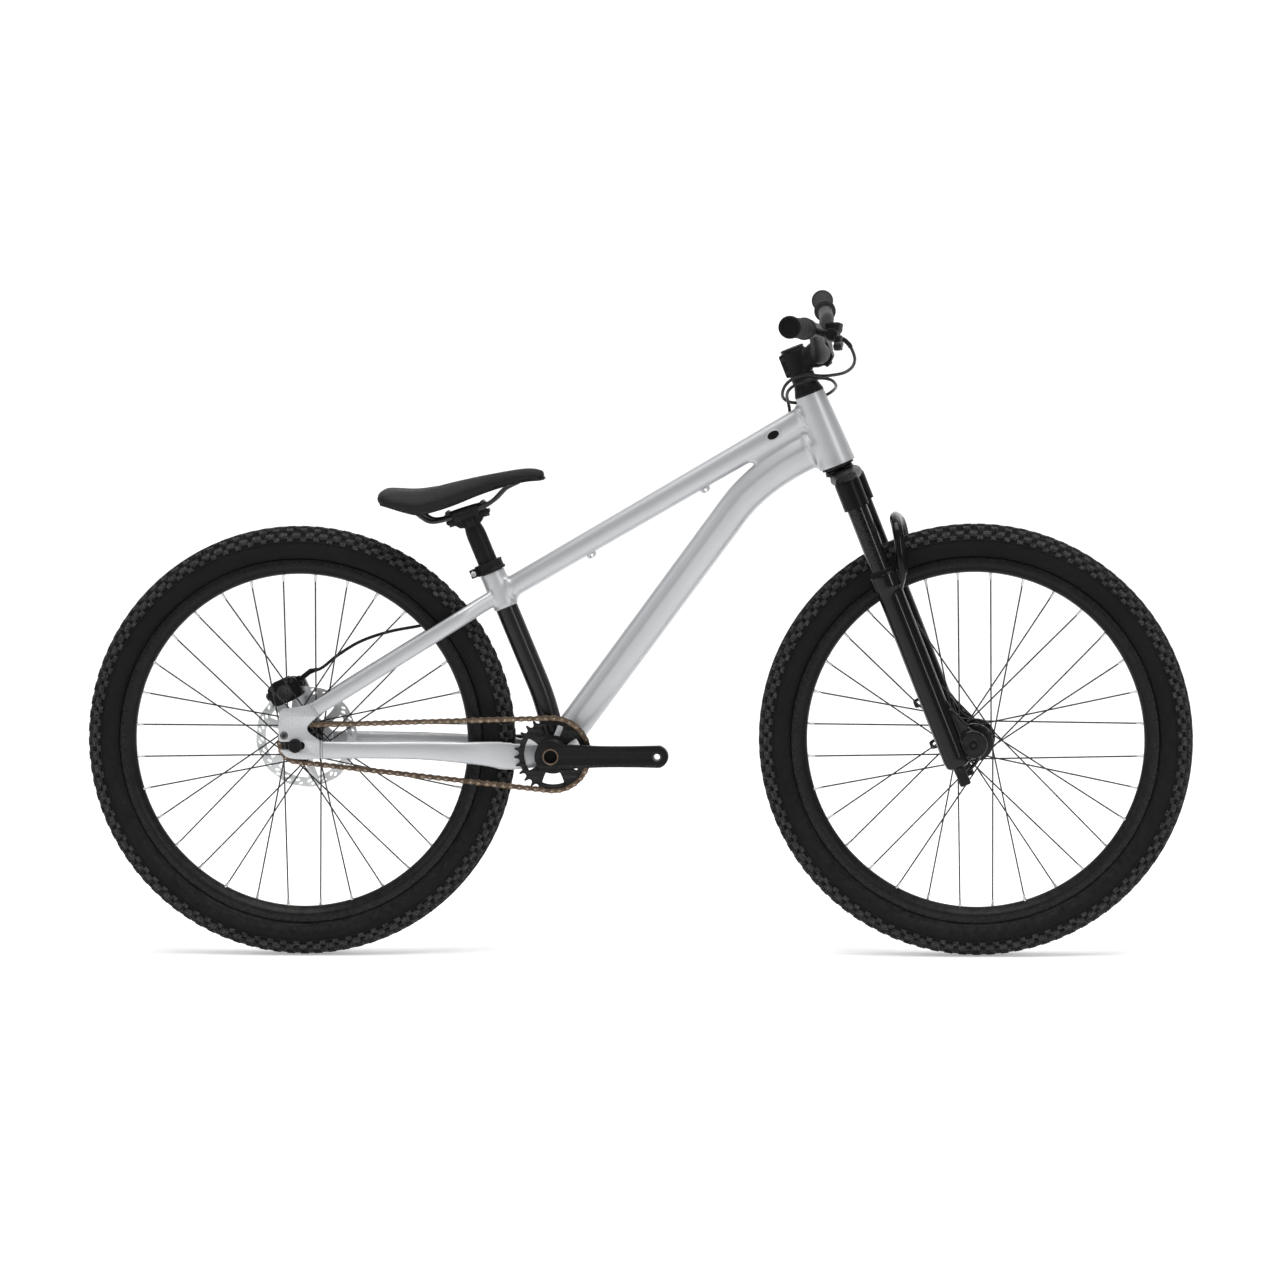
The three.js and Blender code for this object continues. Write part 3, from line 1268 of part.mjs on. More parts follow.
function archStations() {
  const half = LEG_SPREAD / 2;
  const rise = ARCH_CENTRE_UP - ARCH_FOOT_UP;
  const tops = [
    [1, ARCH_FOOT_UP, ARCH_FOOT_AHEAD],
    [0.99, ARCH_FOOT_UP + rise * 0.45, (ARCH_FOOT_AHEAD + ARCH_CENTRE_AHEAD) / 2 + ARCH_KNEE_AHEAD],
    [0.8, ARCH_FOOT_UP + rise * 0.83, ARCH_CENTRE_AHEAD],
    [0.42, ARCH_CENTRE_UP - ARCH_DEPTH / 6, ARCH_CENTRE_AHEAD],
  ];
  const left = tops.map(([y, up, ahead]) => vec(ahead, y * half, up));
  const right = mirrored(left).reverse();
  return [...left, vec(ARCH_CENTRE_AHEAD, 0, ARCH_CENTRE_UP), ...right];
}

function forkArch() {
  const path = archStations();
  const rings = path.map((at, i) => {
    const before = path[Math.max(i - 1, 0)];
    const after = path[Math.min(i + 1, path.length - 1)];
    const tangent = after.clone().sub(before);
    tangent.x = 0;
    tangent.normalize();
    const out = vec(0, -tangent.z, tangent.y);
    return STAY_SHARES.map(([a, u]) => at.clone()
      .add(vec((a * ARCH_WIDTH) / 2, 0, 0))
      .addScaledVector(out, (u * ARCH_DEPTH) / 2));
  });
  return solidOf(loft(rings));
}

// The two ears behind the left leg for a disc brake
function brakeTab(up) {
  const y = LEG_SPREAD / 2;
  return block(
    vec(LEG_AHEAD - BRAKE_TAB_REACH, y - BRAKE_TAB_WIDTH, up - BRAKE_TAB_HEIGHT / 2),
    vec(LEG_AHEAD, y, up + BRAKE_TAB_HEIGHT / 2),
  );
}

function forkLowers() {
  const radius = LOWER_DIAMETER / 2;
  const pieces = [forkArch(), ...BRAKE_TAB_UPS.map(brakeTab)];
  const bores = [];
  for (const side of [-1, 1]) {
    pieces.push(upBar(side, LOWER_BOTTOM, LOWER_TOP, radius));
    pieces.push(upBar(side, LOWER_TOP - LOWER_BOSS_HEIGHT, LOWER_TOP, LOWER_BOSS_DIAMETER / 2));
    const footEnd = LOWER_BOTTOM - FOOT_CAP_HEIGHT;
    pieces.push(upBar(side, footEnd, LOWER_BOTTOM + GAP, FOOT_CAP_DIAMETER / 2, SMALL_SIDES));
    pieces.push(axleLug(side));
    bores.push(upBar(side, LOWER_FLOOR, LOWER_TOP + OVERRUN, bored(STANCHION_DIAMETER / 2 + RUNNING)));
    bores.push(upBar(side, LOWER_TOP - WIPER_HEIGHT / 2, LOWER_TOP + OVERRUN, bored(radius + GAP)));
  }
  const reach = FRONT_HUB_SPACING / 2 + LUG_WIDTH + OVERRUN;
  bores.push(crossBar({ x: FORK_OFFSET, z: 0 }, -reach, reach, bored(FRONT_AXLE_DIAMETER / 2 + GAP)));
  return cut(joined(pieces), bores);
}

// Wiper seal pressed into the top of a lower leg
function wiper(side) {
  const { ahead, y } = legCentre(side);
  const bore = bored(STANCHION_DIAMETER / 2 + RUNNING);
  const seat = LOWER_DIAMETER / 2;
  const low = LOWER_TOP - WIPER_HEIGHT / 2 + GAP;
  return turnedUp([
    [bore, low],
    [seat, low],
    [seat, LOWER_TOP + WIPER_HEIGHT / 3],
    [bore + GAP * 3, LOWER_TOP + WIPER_HEIGHT],
    [bore, LOWER_TOP + WIPER_HEIGHT],
  ], ROUND_SIDES, ahead, y);
}

function frontAxle() {
  const at = { x: FORK_OFFSET, z: 0 };
  const face = FRONT_HUB_SPACING / 2 + LUG_WIDTH + 2 * GAP;
  const end = face + FRONT_AXLE_HEAD_WIDTH;
  return joined([
    crossBar(at, -face - GAP, face + GAP, FRONT_AXLE_DIAMETER / 2),
    crossBar(at, -end, -face, FRONT_AXLE_HEAD / 2),
    crossBar(at, face, end, FRONT_AXLE_HEAD / 2),
  ]);
}

// Stem, spacer and cap on the steerer
function stem() {
  const low = STEM_UP - STEM_HEIGHT / 2;
  const top = STEM_UP + STEM_HEIGHT / 2;
  const clamp = bar(vec(0, 0, low), vec(0, 0, top), STEM_DIAMETER / 2);
  const half = STEM_WIDTH / 2;
  const neck = solidOf(loft([
    [0, STEM_DIAMETER * 0.4, STEM_HEIGHT * 0.46],
    [STEM_REACH * 0.6, STEM_DIAMETER * 0.42, STEM_HEIGHT * 0.42],
    [STEM_REACH, half, STEM_DIAMETER / 2],
  ].map(([ahead, wide, tall]) => STAY_SHARES.map(([a, u]) => vec(ahead, a * wide, STEM_UP + u * tall)))));
  const face = crossBar(BAR_POINT, -half, half, STEM_DIAMETER / 2);
  const bore = bar(vec(0, 0, low - OVERRUN), vec(0, 0, top + OVERRUN), bored(STEERER_DIAMETER / 2 + GAP));
  const barBore = crossBar(BAR_POINT, -half - OVERRUN, half + OVERRUN, bored(BAR_CLAMP_DIAMETER / 2 + GAP));
  const front = block(
    vec(STEM_REACH + GAP, -half - OVERRUN, STEM_UP - STEM_HEIGHT),
    vec(STEM_REACH + STEM_HEIGHT, half + OVERRUN, STEM_UP + STEM_HEIGHT),
  );
  return cut(joined([clamp, neck, face]), [bore, barBore, front]);
}

function faceplate() {
  const half = STEM_WIDTH / 2;
  const outer = STEM_DIAMETER / 2;
  const height = outer + FACEPLATE_DEPTH / 2;
  const shell = joined([
    crossBar(BAR_POINT, -half, half, outer),
    block(
      vec(STEM_REACH, -half, STEM_UP - height),
      vec(STEM_REACH + FACEPLATE_DEPTH, half, STEM_UP + height),
    ),
  ]);
  const rear = block(
    vec(0, -half - OVERRUN, STEM_UP - STEM_HEIGHT),
    vec(STEM_REACH + 3 * GAP, half + OVERRUN, STEM_UP + STEM_HEIGHT),
  );
  const barBore = crossBar(BAR_POINT, -half - OVERRUN, half + OVERRUN, bored(BAR_CLAMP_DIAMETER / 2 + GAP));
  const window = block(
    vec(STEM_REACH, -half / 3, STEM_UP - outer / 2),
    vec(STEM_REACH + STEM_DIAMETER, half / 3, STEM_UP + outer / 2),
  );
  return cut(shell, [rear, barBore, window]);
}

function headsetSpacer() {
  const top = STEM_UP - STEM_HEIGHT / 2 - GAP;
  const low = HEAD_TUBE_LOW + HEAD_TUBE_LENGTH + HEADSET_COVER_HEIGHT + GAP;
  const bore = bored(STEERER_DIAMETER / 2 + GAP);
  const outer = STEM_DIAMETER / 2 - GAP;
  return turnedUp([[bore, low], [outer, low], [outer, top], [bore, top]], ROUND_SIDES);
}

function topCap() {
  const low = STEM_UP + STEM_HEIGHT / 2 + GAP;
  const bolt = STEERER_BORE / 4;
  return turnedUp([
    [0, STEERER_TOP - OVERRUN],
    [bolt, STEERER_TOP - OVERRUN],
    [bolt, low],
    [STEM_DIAMETER / 2 - GAP, low],
    [STEM_DIAMETER / 2 - TOP_CAP_HEIGHT / 2, low + TOP_CAP_HEIGHT],
    [0, low + TOP_CAP_HEIGHT],
  ], ROUND_SIDES);
}

// Handlebar, in the upright frame at the bar clamp
function barPoint(y) {
  const out = Math.abs(y);
  const share = (out - BAR_BEND_HALF) / (BAR_HALF_WIDTH - BAR_BEND_HALF);
  const inner = Math.max(0, (out - BAR_CENTRE_HALF) / (BAR_BEND_HALF - BAR_CENTRE_HALF));
  if (out <= BAR_BEND_HALF) {
    const eased = inner * inner * (3 - 2 * inner);
    return vec(0, y, BAR_RISE * (0.35 * inner + 0.65 * eased));
  }
  return vec(-BAR_SWEEP * share, y, BAR_RISE + (BAR_END_RISE - BAR_RISE) * share);
}

function barDiameter(y) {
  const out = Math.abs(y);
  const share = THREE.MathUtils.clamp((out - BAR_CENTRE_HALF) / (BAR_BEND_HALF - BAR_CENTRE_HALF), 0, 1);
  return THREE.MathUtils.lerp(BAR_CLAMP_DIAMETER, BAR_END_DIAMETER, share);
}

function barStations() {
  const places = BAR_STATION_SHARES.map((share) => share * BAR_HALF_WIDTH);
  const all = [...places.slice(1).map((y) => -y).reverse(), ...places];
  return all.map((y) => ({ at: barPoint(y), across: barDiameter(y), up: barDiameter(y) }));
}

// A bar section stands square to the width of the bicycle
function barSkin(stations, sides, wall) {
  const rings = stations.map(({ at, across }) => circleShares(sides)
    .map(([a, u]) => vec(at.x + a * (across / 2 - wall), at.y, at.z + u * (across / 2 - wall))));
  return solidOf(loft(rings));
}

function handlebar() {
  const stations = barStations();
  const inner = stretched(stations.filter((station, i) => i % 2 === 0), OVERRUN);
  return barSkin(stations, BAR_SIDES, 0).subtract(barSkin(inner, BAR_SIDES / 2, 1.6 * BAR_WALL));
}

function barAxisAt(from, to) {
  return [barPoint(from), barPoint(to)];
}

function grip(side) {
  const outer = BAR_HALF_WIDTH + GRIP_END_ROOM;
  const inner = BAR_HALF_WIDTH - GRIP_LENGTH;
  const [start, end] = barAxisAt(side * inner, side * BAR_HALF_WIDTH);
  const along = end.clone().sub(start).normalize();
  const frame = new THREE.Matrix4().makeRotationFromQuaternion(
    new THREE.Quaternion().setFromUnitVectors(vec(0, side, 0), along),
  );
  frame.setPosition(start);
  const bore = bored(BAR_END_DIAMETER / 2 + GAP);
  const length = outer - inner;
  return turned([
    [bore, 0],
    [GRIP_FLANGE_DIAMETER / 2, 0],
    [GRIP_FLANGE_DIAMETER / 2, GRIP_FLANGE_WIDTH],
    [GRIP_DIAMETER / 2, GRIP_FLANGE_WIDTH],
    [GRIP_DIAMETER / 2, length],
    [GRIP_FLANGE_DIAMETER / 2, length],
    [GRIP_FLANGE_DIAMETER / 2, length + GRIP_FLANGE_WIDTH],
    [0, length + GRIP_FLANGE_WIDTH],
    [0, length + GAP],
    [bore, length + GAP],
  ].map(([radius, place]) => [radius, side * place]), ROUND_SIDES, frame);
}

// Master cylinder: clamp round the bar, cylinder, reservoir and the clevis for the lever
function leverPlace(ahead, up, y) {
  return barPoint(-Math.abs(y)).add(vec(ahead, 0, up));
}

function brakeMaster() {
  const half = LEVER_CLAMP_WIDTH / 2;
  const clamp = bar(
    leverPlace(0, 0, LEVER_CLAMP_AT + half),
    leverPlace(0, 0, LEVER_CLAMP_AT - half),
    LEVER_CLAMP_DIAMETER / 2,
  );
  const bore = bar(
    leverPlace(0, 0, LEVER_CLAMP_AT + 3 * half),
    leverPlace(0, 0, LEVER_CLAMP_AT - 3 * half),
    bored(BAR_END_DIAMETER / 2 + GAP),
  );
  const outer = LEVER_CLAMP_AT + MASTER_LENGTH / 2;
  const inner = LEVER_CLAMP_AT - MASTER_LENGTH / 2;
  const cylinder = bar(
    leverPlace(MASTER_AHEAD, MASTER_UP, outer),
    leverPlace(MASTER_AHEAD + MASTER_DIAMETER / 3, MASTER_UP - MASTER_DIAMETER / 2, inner),
    MASTER_DIAMETER / 2,
    ROUND_SIDES,
    MASTER_DIAMETER / 3,
  );
  const neck = solidOf(loft([0, 1].map((share) => {
    const centre = leverPlace(share * MASTER_AHEAD, share * MASTER_UP, LEVER_CLAMP_AT);
    const along = vec(MASTER_AHEAD, 0, MASTER_UP).normalize();
    return sectionRing(centre, along, LEVER_CLAMP_WIDTH * 0.45, MASTER_DIAMETER * 0.45, STAY_SHARES);
  })));
  const top = leverPlace(MASTER_AHEAD, MASTER_UP, LEVER_CLAMP_AT);
  const reservoir = block(
    top.clone().add(vec(-RESERVOIR_DEPTH / 2, -RESERVOIR_LENGTH / 2, 0)),
    top.clone().add(vec(RESERVOIR_DEPTH / 2, RESERVOIR_LENGTH / 2, MASTER_DIAMETER / 2 + RESERVOIR_HEIGHT)),
  );
  const pivot = leverPivot();
  const room = LEVER_HEIGHT / 2 + 2 * GAP;
  const clevis = block(
    pivot.clone().add(vec(-CLEVIS_DEPTH, -CLEVIS_DEPTH / 2, -CLEVIS_HEIGHT / 2)),
    pivot.clone().add(vec(LEVER_PIVOT_DIAMETER, CLEVIS_DEPTH, CLEVIS_HEIGHT / 2)),
  );
  const mouth = block(
    pivot.clone().add(vec(-LEVER_THICKNESS - 2 * GAP, -2 * CLEVIS_DEPTH, -room)),
    pivot.clone().add(vec(2 * CLEVIS_DEPTH, LEVER_PIVOT_DIAMETER + 2 * GAP, room)),
  );
  const pin = bar(
    pivot.clone().add(vec(0, 0, -CLEVIS_HEIGHT / 2)),
    pivot.clone().add(vec(0, 0, CLEVIS_HEIGHT / 2)),
    LEVER_PIVOT_DIAMETER / 4,
    SMALL_SIDES,
  );
  const body = cut(joined([clamp, cylinder, neck, reservoir, clevis]), [bore, mouth]);
  return body.add(pin);
}

function leverPivot() {
  return leverPlace(LEVER_PIVOT_AHEAD, LEVER_PIVOT_UP, LEVER_PIVOT_AT);
}

function brakeLever() {
  const pivot = leverPivot();
  const hub = bar(
    pivot.clone().add(vec(0, 0, -LEVER_HEIGHT / 2)),
    pivot.clone().add(vec(0, 0, LEVER_HEIGHT / 2)),
    LEVER_PIVOT_DIAMETER / 2 + LEVER_EYE_WALL,
    SMALL_SIDES,
  );
  const rings = LEVER_OUT_SHARES.map((out, i) => {
    const centre = pivot.clone().add(vec(LEVER_CURVE * LEVER_AHEAD_SHARES[i], -LEVER_LENGTH * out, 0));
    return STAY_SHARES.map(([a, u]) => centre.clone()
      .add(vec((a * LEVER_THICKNESS) / 2, 0, (u * LEVER_HEIGHT) / 2)));
  });
  const tip = pivot.clone().add(vec(LEVER_CURVE * LEVER_AHEAD_SHARES[4], -LEVER_LENGTH, 0));
  const ball = solidOf(new THREE.SphereGeometry(LEVER_END_DIAMETER / 2, 6, 4)
    .translate(tip.x, tip.y, tip.z));
  const bore = bar(
    pivot.clone().add(vec(0, 0, -LEVER_HEIGHT)),
    pivot.clone().add(vec(0, 0, LEVER_HEIGHT)),
    LEVER_PIVOT_DIAMETER / 4 + GAP,
    SMALL_SIDES,
  );
  return cut(joined([hub, solidOf(loft(rings)), ball]), [bore]);
}

// Seatpost, in the seat frame: a tube with a cradle for the rails at its head
function saddleInSeat() {
  return SEAT_FRAME.clone().invert().multiply(SADDLE_FRAME);
}

function clampBlock(low, top) {
  const half = CLAMP_LENGTH / 2;
  const wide = CLAMP_WIDTH / 2;
  const ear = half + CLAMP_EAR_LENGTH;
  const frame = saddleInSeat();
  return joined([
    block(vec(-half, -wide, low), vec(half, wide, top), frame),
    block(vec(-ear, -CLAMP_EAR_WIDTH / 2, low), vec(ear, CLAMP_EAR_WIDTH / 2, top), frame),
  ]);
}

function railGrooves() {
  const reach = CLAMP_LENGTH;
  const radius = bored(RAIL_DIAMETER / 2 + 2 * GAP, SMALL_SIDES);
  const frame = saddleInSeat();
  return [-1, 1].map((side) => bar(
    vec(-reach, (side * RAIL_SPREAD) / 2, 0),
    vec(reach, (side * RAIL_SPREAD) / 2, 0),
    radius,
    SMALL_SIDES,
    radius,
    frame,
  ));
}

function boltHoles() {
  const frame = saddleInSeat();
  const radius = bored(SADDLE_BOLT_DIAMETER / 2 + GAP, BOLT_SIDES);
  return [-1, 1].map((side) => bar(
    vec(side * SADDLE_BOLT_PLACE, 0, -CLAMP_LENGTH),
    vec(side * SADDLE_BOLT_PLACE, 0, CLAMP_LENGTH),
    radius,
    BOLT_SIDES,
    radius,
    frame,
  ));
}

function seatpost() {
  const radius = SEATPOST_DIAMETER / 2;
  const neckUp = CLAMP_UP - CRADLE_HEIGHT;
  const tube = bar(vec(0, 0, -POST_INSERTION), vec(0, 0, neckUp - CRADLE_HEIGHT), radius);
  const hollow = bar(
    vec(0, 0, -POST_INSERTION - OVERRUN),
    vec(0, 0, neckUp - 2 * CRADLE_HEIGHT),
    radius - TUBE_WALL,
  );
  const wide = CLAMP_WIDTH * 0.36;
  const neck = solidOf(loft([
    OVAL_SHARES.map(([a, u]) => vec(a * radius, u * radius, neckUp - 3 * CRADLE_HEIGHT)),
    OVAL_SHARES.map(([a, u]) => vec(a * CLAMP_LENGTH * 0.48, u * wide, 0)
      .applyAxisAngle(vec(0, 1, 0), radians(90 - SEAT_ANGLE - SADDLE_TILT))
      .add(vec(0, 0, neckUp + CRADLE_HEIGHT / 3))),
  ]));
  const cradle = clampBlock(-CRADLE_HEIGHT, -CLAMP_SPLIT);
  return cut(joined([tube, neck]).subtract(hollow).add(cradle), [...railGrooves(), ...boltHoles()]);
}

function saddleClamp() {
  return cut(clampBlock(CLAMP_SPLIT, CLAMP_PLATE_HEIGHT), [...railGrooves(), ...boltHoles()]);
}

function saddleBolt(side) {
  const x = side * SADDLE_BOLT_PLACE;
  const top = CLAMP_PLATE_HEIGHT + GAP;
  const low = -CRADLE_HEIGHT - GAP;
  return joined([
    bar(vec(x, 0, low - GAP), vec(x, 0, top + GAP), SADDLE_BOLT_DIAMETER / 2, BOLT_SIDES),
    bar(vec(x, 0, top), vec(x, 0, top + SADDLE_BOLT_HEAD_HEIGHT), SADDLE_BOLT_HEAD / 2, BOLT_SIDES),
    bar(vec(x, 0, low - SADDLE_BOLT_HEAD_HEIGHT), vec(x, 0, low), SADDLE_BOLT_HEAD / 2, BOLT_SIDES),
  ]);
}

// Saddle, in the frame along the rails: places along it, and shares of width and height
function saddlePlace(share) {
  return SADDLE_REAR + SADDLE_LENGTH * share;
}

// The cover is a padded skin with drawn-in skirts, open underneath
function saddleCover() {
  const rings = SADDLE_STATION_SHARES.map(({ along, top, skirt, half }) => {
    const x = saddlePlace(along);
    const wide = (half * SADDLE_WIDTH) / 2;
    const high = top * SADDLE_HEIGHT;
    const low = skirt * SADDLE_HEIGHT;
    const under = Math.max(high - SADDLE_PAD, low + (high - low) * 0.4);
    const outside = SADDLE_CROWN_SHARES.map(([a, u]) => [a * wide, low + u * (high - low)]);
    const inside = [[wide * 0.8, low + (under - low) * 0.15], [wide * 0.7, under]];
    const right = [...inside.slice().reverse(), ...outside];
    const left = right.slice(0, -1).reverse().map(([y, z]) => [-y, z]);
    return [...right, ...left].map(([y, z]) => vec(x, y, z));
  });
  return solidOf(loft(rings));
}

function saddleShell() {
  const stations = SADDLE_STATION_SHARES.slice(1, -1);
  const rings = stations.map(({ along, top, skirt, half }) => {
    const wide = ((half * SADDLE_WIDTH) / 2) * 0.64;
    const high = top * SADDLE_HEIGHT;
    const low = skirt * SADDLE_HEIGHT;
    const under = Math.max(high - SADDLE_PAD, low + (high - low) * 0.4) - 2 * GAP;
    const foot = under - SADDLE_SHELL;
    const corners = [[wide, under], [-wide, under], [-wide, foot], [wide, foot]];
    return corners.map(([y, z]) => vec(saddlePlace(along), y, z));
  });
  return solidOf(loft(rings));
}

function saddleRails() {
  const side = RAIL_POINT_SHARES.map(([x, y, z]) => vec(
    x * SADDLE_LENGTH,
    (y * RAIL_SPREAD) / 2,
    z * SADDLE_HEIGHT,
  ));
  const nose = vec(SADDLE_LENGTH * 0.352, 0, SADDLE_HEIGHT * 0.28);
  return cord([...side, nose, ...mirrored(side).reverse()], RAIL_DIAMETER, HOSE_SIDES - 2, 24);
}

// Wheels, each in a group at its axle
function tyre() {
  const half = TYRE_WIDTH / 2;
  const height = TYRE_RADIUS - RIM_EDGE_RADIUS;
  const bead = RIM_WIDTH / 2 - RIM_WALL - GAP;
  const side = [
    [RIM_EDGE_RADIUS - height * BEAD_SHARES[0], bead - BEAD_SHARES[1] * RIM_WALL],
    [RIM_EDGE_RADIUS + height * BEAD_SHARES[2], bead],
    [RIM_EDGE_RADIUS + height * 0.38, half],
    [RIM_EDGE_RADIUS + height * 0.78, half * 0.86],
    [TYRE_RADIUS, half * 0.26],
  ];
  const inner = CAVITY_SHARES.map(([out, across]) => [RIM_EDGE_RADIUS + height * out, half * across]);
  const flip = (points) => points.map(([r, y]) => [r, -y]);
  return turned([
    ...flip(side),
    ...side.slice().reverse(),
    ...inner,
    ...flip(inner).reverse(),
  ], WHEEL_SIDES);
}

function rim() {
  const half = RIM_WIDTH / 2;
  const bed = RIM_BED_WIDTH / 2;
  const height = RIM_EDGE_RADIUS - RIM_INNER_RADIUS;
  const shoulder = RIM_INNER_RADIUS + height * 0.42;
  const side = [
    [RIM_INNER_RADIUS, bed],
    [shoulder, half],
    [RIM_EDGE_RADIUS, half],
    [RIM_EDGE_RADIUS, half - RIM_WALL],
    [RIM_INNER_RADIUS + RIM_WALL, bed],
  ];
  const flip = side.map(([r, y]) => [r, -y]).reverse();
  return turned([...side, ...flip], WHEEL_SIDES);
}

// Crossed spokes, each a thin bar from a flange to just inside the rim
function spokes(flanges) {
  const step = 720 / SPOKE_COUNT;
  const cross = SPOKE_CROSSINGS * step;
  const holeRadius = FLANGE_DIAMETER / 2 - FLANGE_HOLE_INSET;
  const rimRadius = RIM_INNER_RADIUS * Math.cos(Math.PI / WHEEL_SIDES) - 2 * GAP;
  const at = (radius, degrees, y) => vec(
    radius * Math.cos(radians(degrees)),
    y,
    radius * Math.sin(radians(degrees)),
  );
  const bars = [];
  flanges.forEach((flange, i) => {
    const side = i === 0 ? -1 : 1;
    const base = 90 + (side * step) / 4 - cross;
    for (let k = 0; k < SPOKE_COUNT / 2; k += 1) {
      const lead = k % 2 === 0 ? 1 : -1;
      const hub = base + k * step;
      const start = at(holeRadius, hub, flange + lead * SPOKE_STAGGER);
      const end = at(rimRadius, hub + lead * cross, side * SPOKE_RIM_OFFSET + lead * SPOKE_RIM_STAGGER);
      bars.push(bar(start, end, SPOKE_DIAMETER / 2, 3));
    }
  });
  return bars;
}

function flangeProfile(at, barrel, side) {
  const half = FLANGE_THICKNESS / 2;
  return [
    [barrel, at - half - side],
    [FLANGE_DIAMETER / 2, at - half],
    [FLANGE_DIAMETER / 2, at + half],
    [barrel, at + half + side],
  ];
}

function frontHub() {
  const end = FRONT_HUB_SPACING / 2;
  const cap = HUB_END_DIAMETER / 2;
  const barrel = FRONT_BARREL_DIAMETER / 2;
  const bore = bored(FRONT_AXLE_DIAMETER / 2 + RUNNING, HUB_SIDES);
  const shell = turned([
    [bore, -end],
    [cap, -end],
    [cap, -FRONT_FLANGE_AT - FLANGE_THICKNESS / 2 - 2 * FLANGE_BLEND],
    ...flangeProfile(-FRONT_FLANGE_AT, barrel, FLANGE_BLEND),
    ...flangeProfile(FRONT_FLANGE_AT, barrel, FLANGE_BLEND),
    [cap, FRONT_FLANGE_AT + FLANGE_THICKNESS / 2 + 2 * FLANGE_BLEND],
    [cap, end],
    [bore, end],
  ], HUB_SIDES);
  return joined([shell, ...spokes([-FRONT_FLANGE_AT, FRONT_FLANGE_AT])]);
}

function cogInner() {
  return -CHAIN_LINE + COG_CARRIER_WIDTH / 2;
}

function rearHub() {
  const end = DROPOUT_SPACING / 2 - GAP;
  const cap = HUB_END_DIAMETER / 2;
  const barrel = REAR_BARREL_DIAMETER / 2;
  const bore = bored(REAR_AXLE_DIAMETER / 2 + RUNNING, HUB_SIDES);
  const driver = COG_BORE / 2 - RUNNING;
  const rotorFace = ROTOR_AT - ROTOR_THICKNESS / 2 - GAP;
  const spigot = DISC_SPIGOT_DIAMETER / 2;
  const carrierEnd = -CHAIN_LINE - COG_CARRIER_WIDTH / 2;
  const shell = turned([
    [bore, -end],
    [cap, -end],
    [cap, carrierEnd - 2 * GAP],
    [driver, carrierEnd - 2 * GAP],
    [driver, cogInner() + RUNNING],
    ...flangeProfile(REAR_FLANGES_AT[0], barrel, FLANGE_BLEND),
    ...flangeProfile(REAR_FLANGES_AT[1], barrel, FLANGE_BLEND),
    [ROTOR_BOSS_DIAMETER / 2, REAR_FLANGES_AT[1] + FLANGE_THICKNESS / 2 + 2 * FLANGE_BLEND],
    [ROTOR_BOSS_DIAMETER / 2, rotorFace],
    [spigot, rotorFace],
    [spigot, ROTOR_AT + FLANGE_BLEND],
    [cap, ROTOR_AT + FLANGE_BLEND],
    [cap, end],
    [bore, end],
  ], HUB_SIDES);
  return joined([shell, ...spokes(REAR_FLANGES_AT)]);
}

function brakeRotor() {
  const outer = ROTOR_DIAMETER / 2;
  const inner = outer - ROTOR_BAND;
  const boss = ROTOR_BOSS_DIAMETER / 2;
  const step = 360 / ROTOR_ARMS;
  const windows = [];
  for (let i = 0; i < ROTOR_ARMS; i += 1) {
    const start = i * step;
    const lean = step * 0.3;
    windows.push([
      ...arc(inner, start + lean, start + lean + step * 0.78, 2),
      ...arc(boss + GAP * 6, start + step * 0.7, start + step * 0.1, 1),
    ]);
  }
  const bore = circleOutline(bored(DISC_SPIGOT_DIAMETER / 2 + GAP, HUB_SIDES), HUB_SIDES);
  const half = ROTOR_THICKNESS / 2;
  return plate(circleOutline(outer, WHEEL_SIDES), ROTOR_AT - half, ROTOR_AT + half, [bore, ...windows]);
}

// Toothed wheels: a seat for each roller, and a tip between two seats
function pitchRadius(teeth) {
  return CHAIN_PITCH / (2 * Math.sin(Math.PI / teeth));
}

function toothedOutline(teeth, phase) {
  const pitch = pitchRadius(teeth);
  const tip = pitch + TOOTH_HEIGHT;
  const step = 360 / teeth;
  const points = [];
  for (let i = 0; i < teeth; i += 1) {
    const seat = phase + i * step;
    const x = pitch * Math.cos(radians(seat));
    const z = pitch * Math.sin(radians(seat));
    points.push(...arc(ROLLER_SEAT_RADIUS, seat - 100, seat - 260, 2, x, z));
    points.push(...arc(tip, seat + step / 2, seat + step / 2, 0));
  }
  return points;
}

// The line from the rear axle to the bottom bracket, in degrees
function chainLineAngle() {
  return THREE.MathUtils.radToDeg(Math.atan2(BB.z - REAR_AXLE.z, BB.x - REAR_AXLE.x));
}

function chainring() {
  const phase = chainLineAngle();
  const seatLow = pitchRadius(RING_TEETH) - ROLLER_SEAT_RADIUS;
  const bandInner = seatLow - RING_BAND + ROLLER_SEAT_RADIUS;
  const hub = RING_HUB_DIAMETER / 2;
  const windows = [0, 90, 180, 270].map((middle) => [
    ...arc(bandInner, middle - RING_WINDOW_SPAN / 2, middle + RING_WINDOW_SPAN / 2, 3),
    ...arc(hub, middle + RING_WINDOW_SPAN / 2.4, middle - RING_WINDOW_SPAN / 2.4, 1),
  ]);
  const half = TOOTH_THICKNESS / 2;
  const bore = circleOutline(bored(RING_BORE / 2), ROUND_SIDES);
  const frame = new THREE.Matrix4().makeTranslation(BB.x, 0, BB.z);
  const outline = toothedOutline(RING_TEETH, phase);
  return plate(outline, -CHAIN_LINE - half, -CHAIN_LINE + half, [bore, ...windows], frame);
}

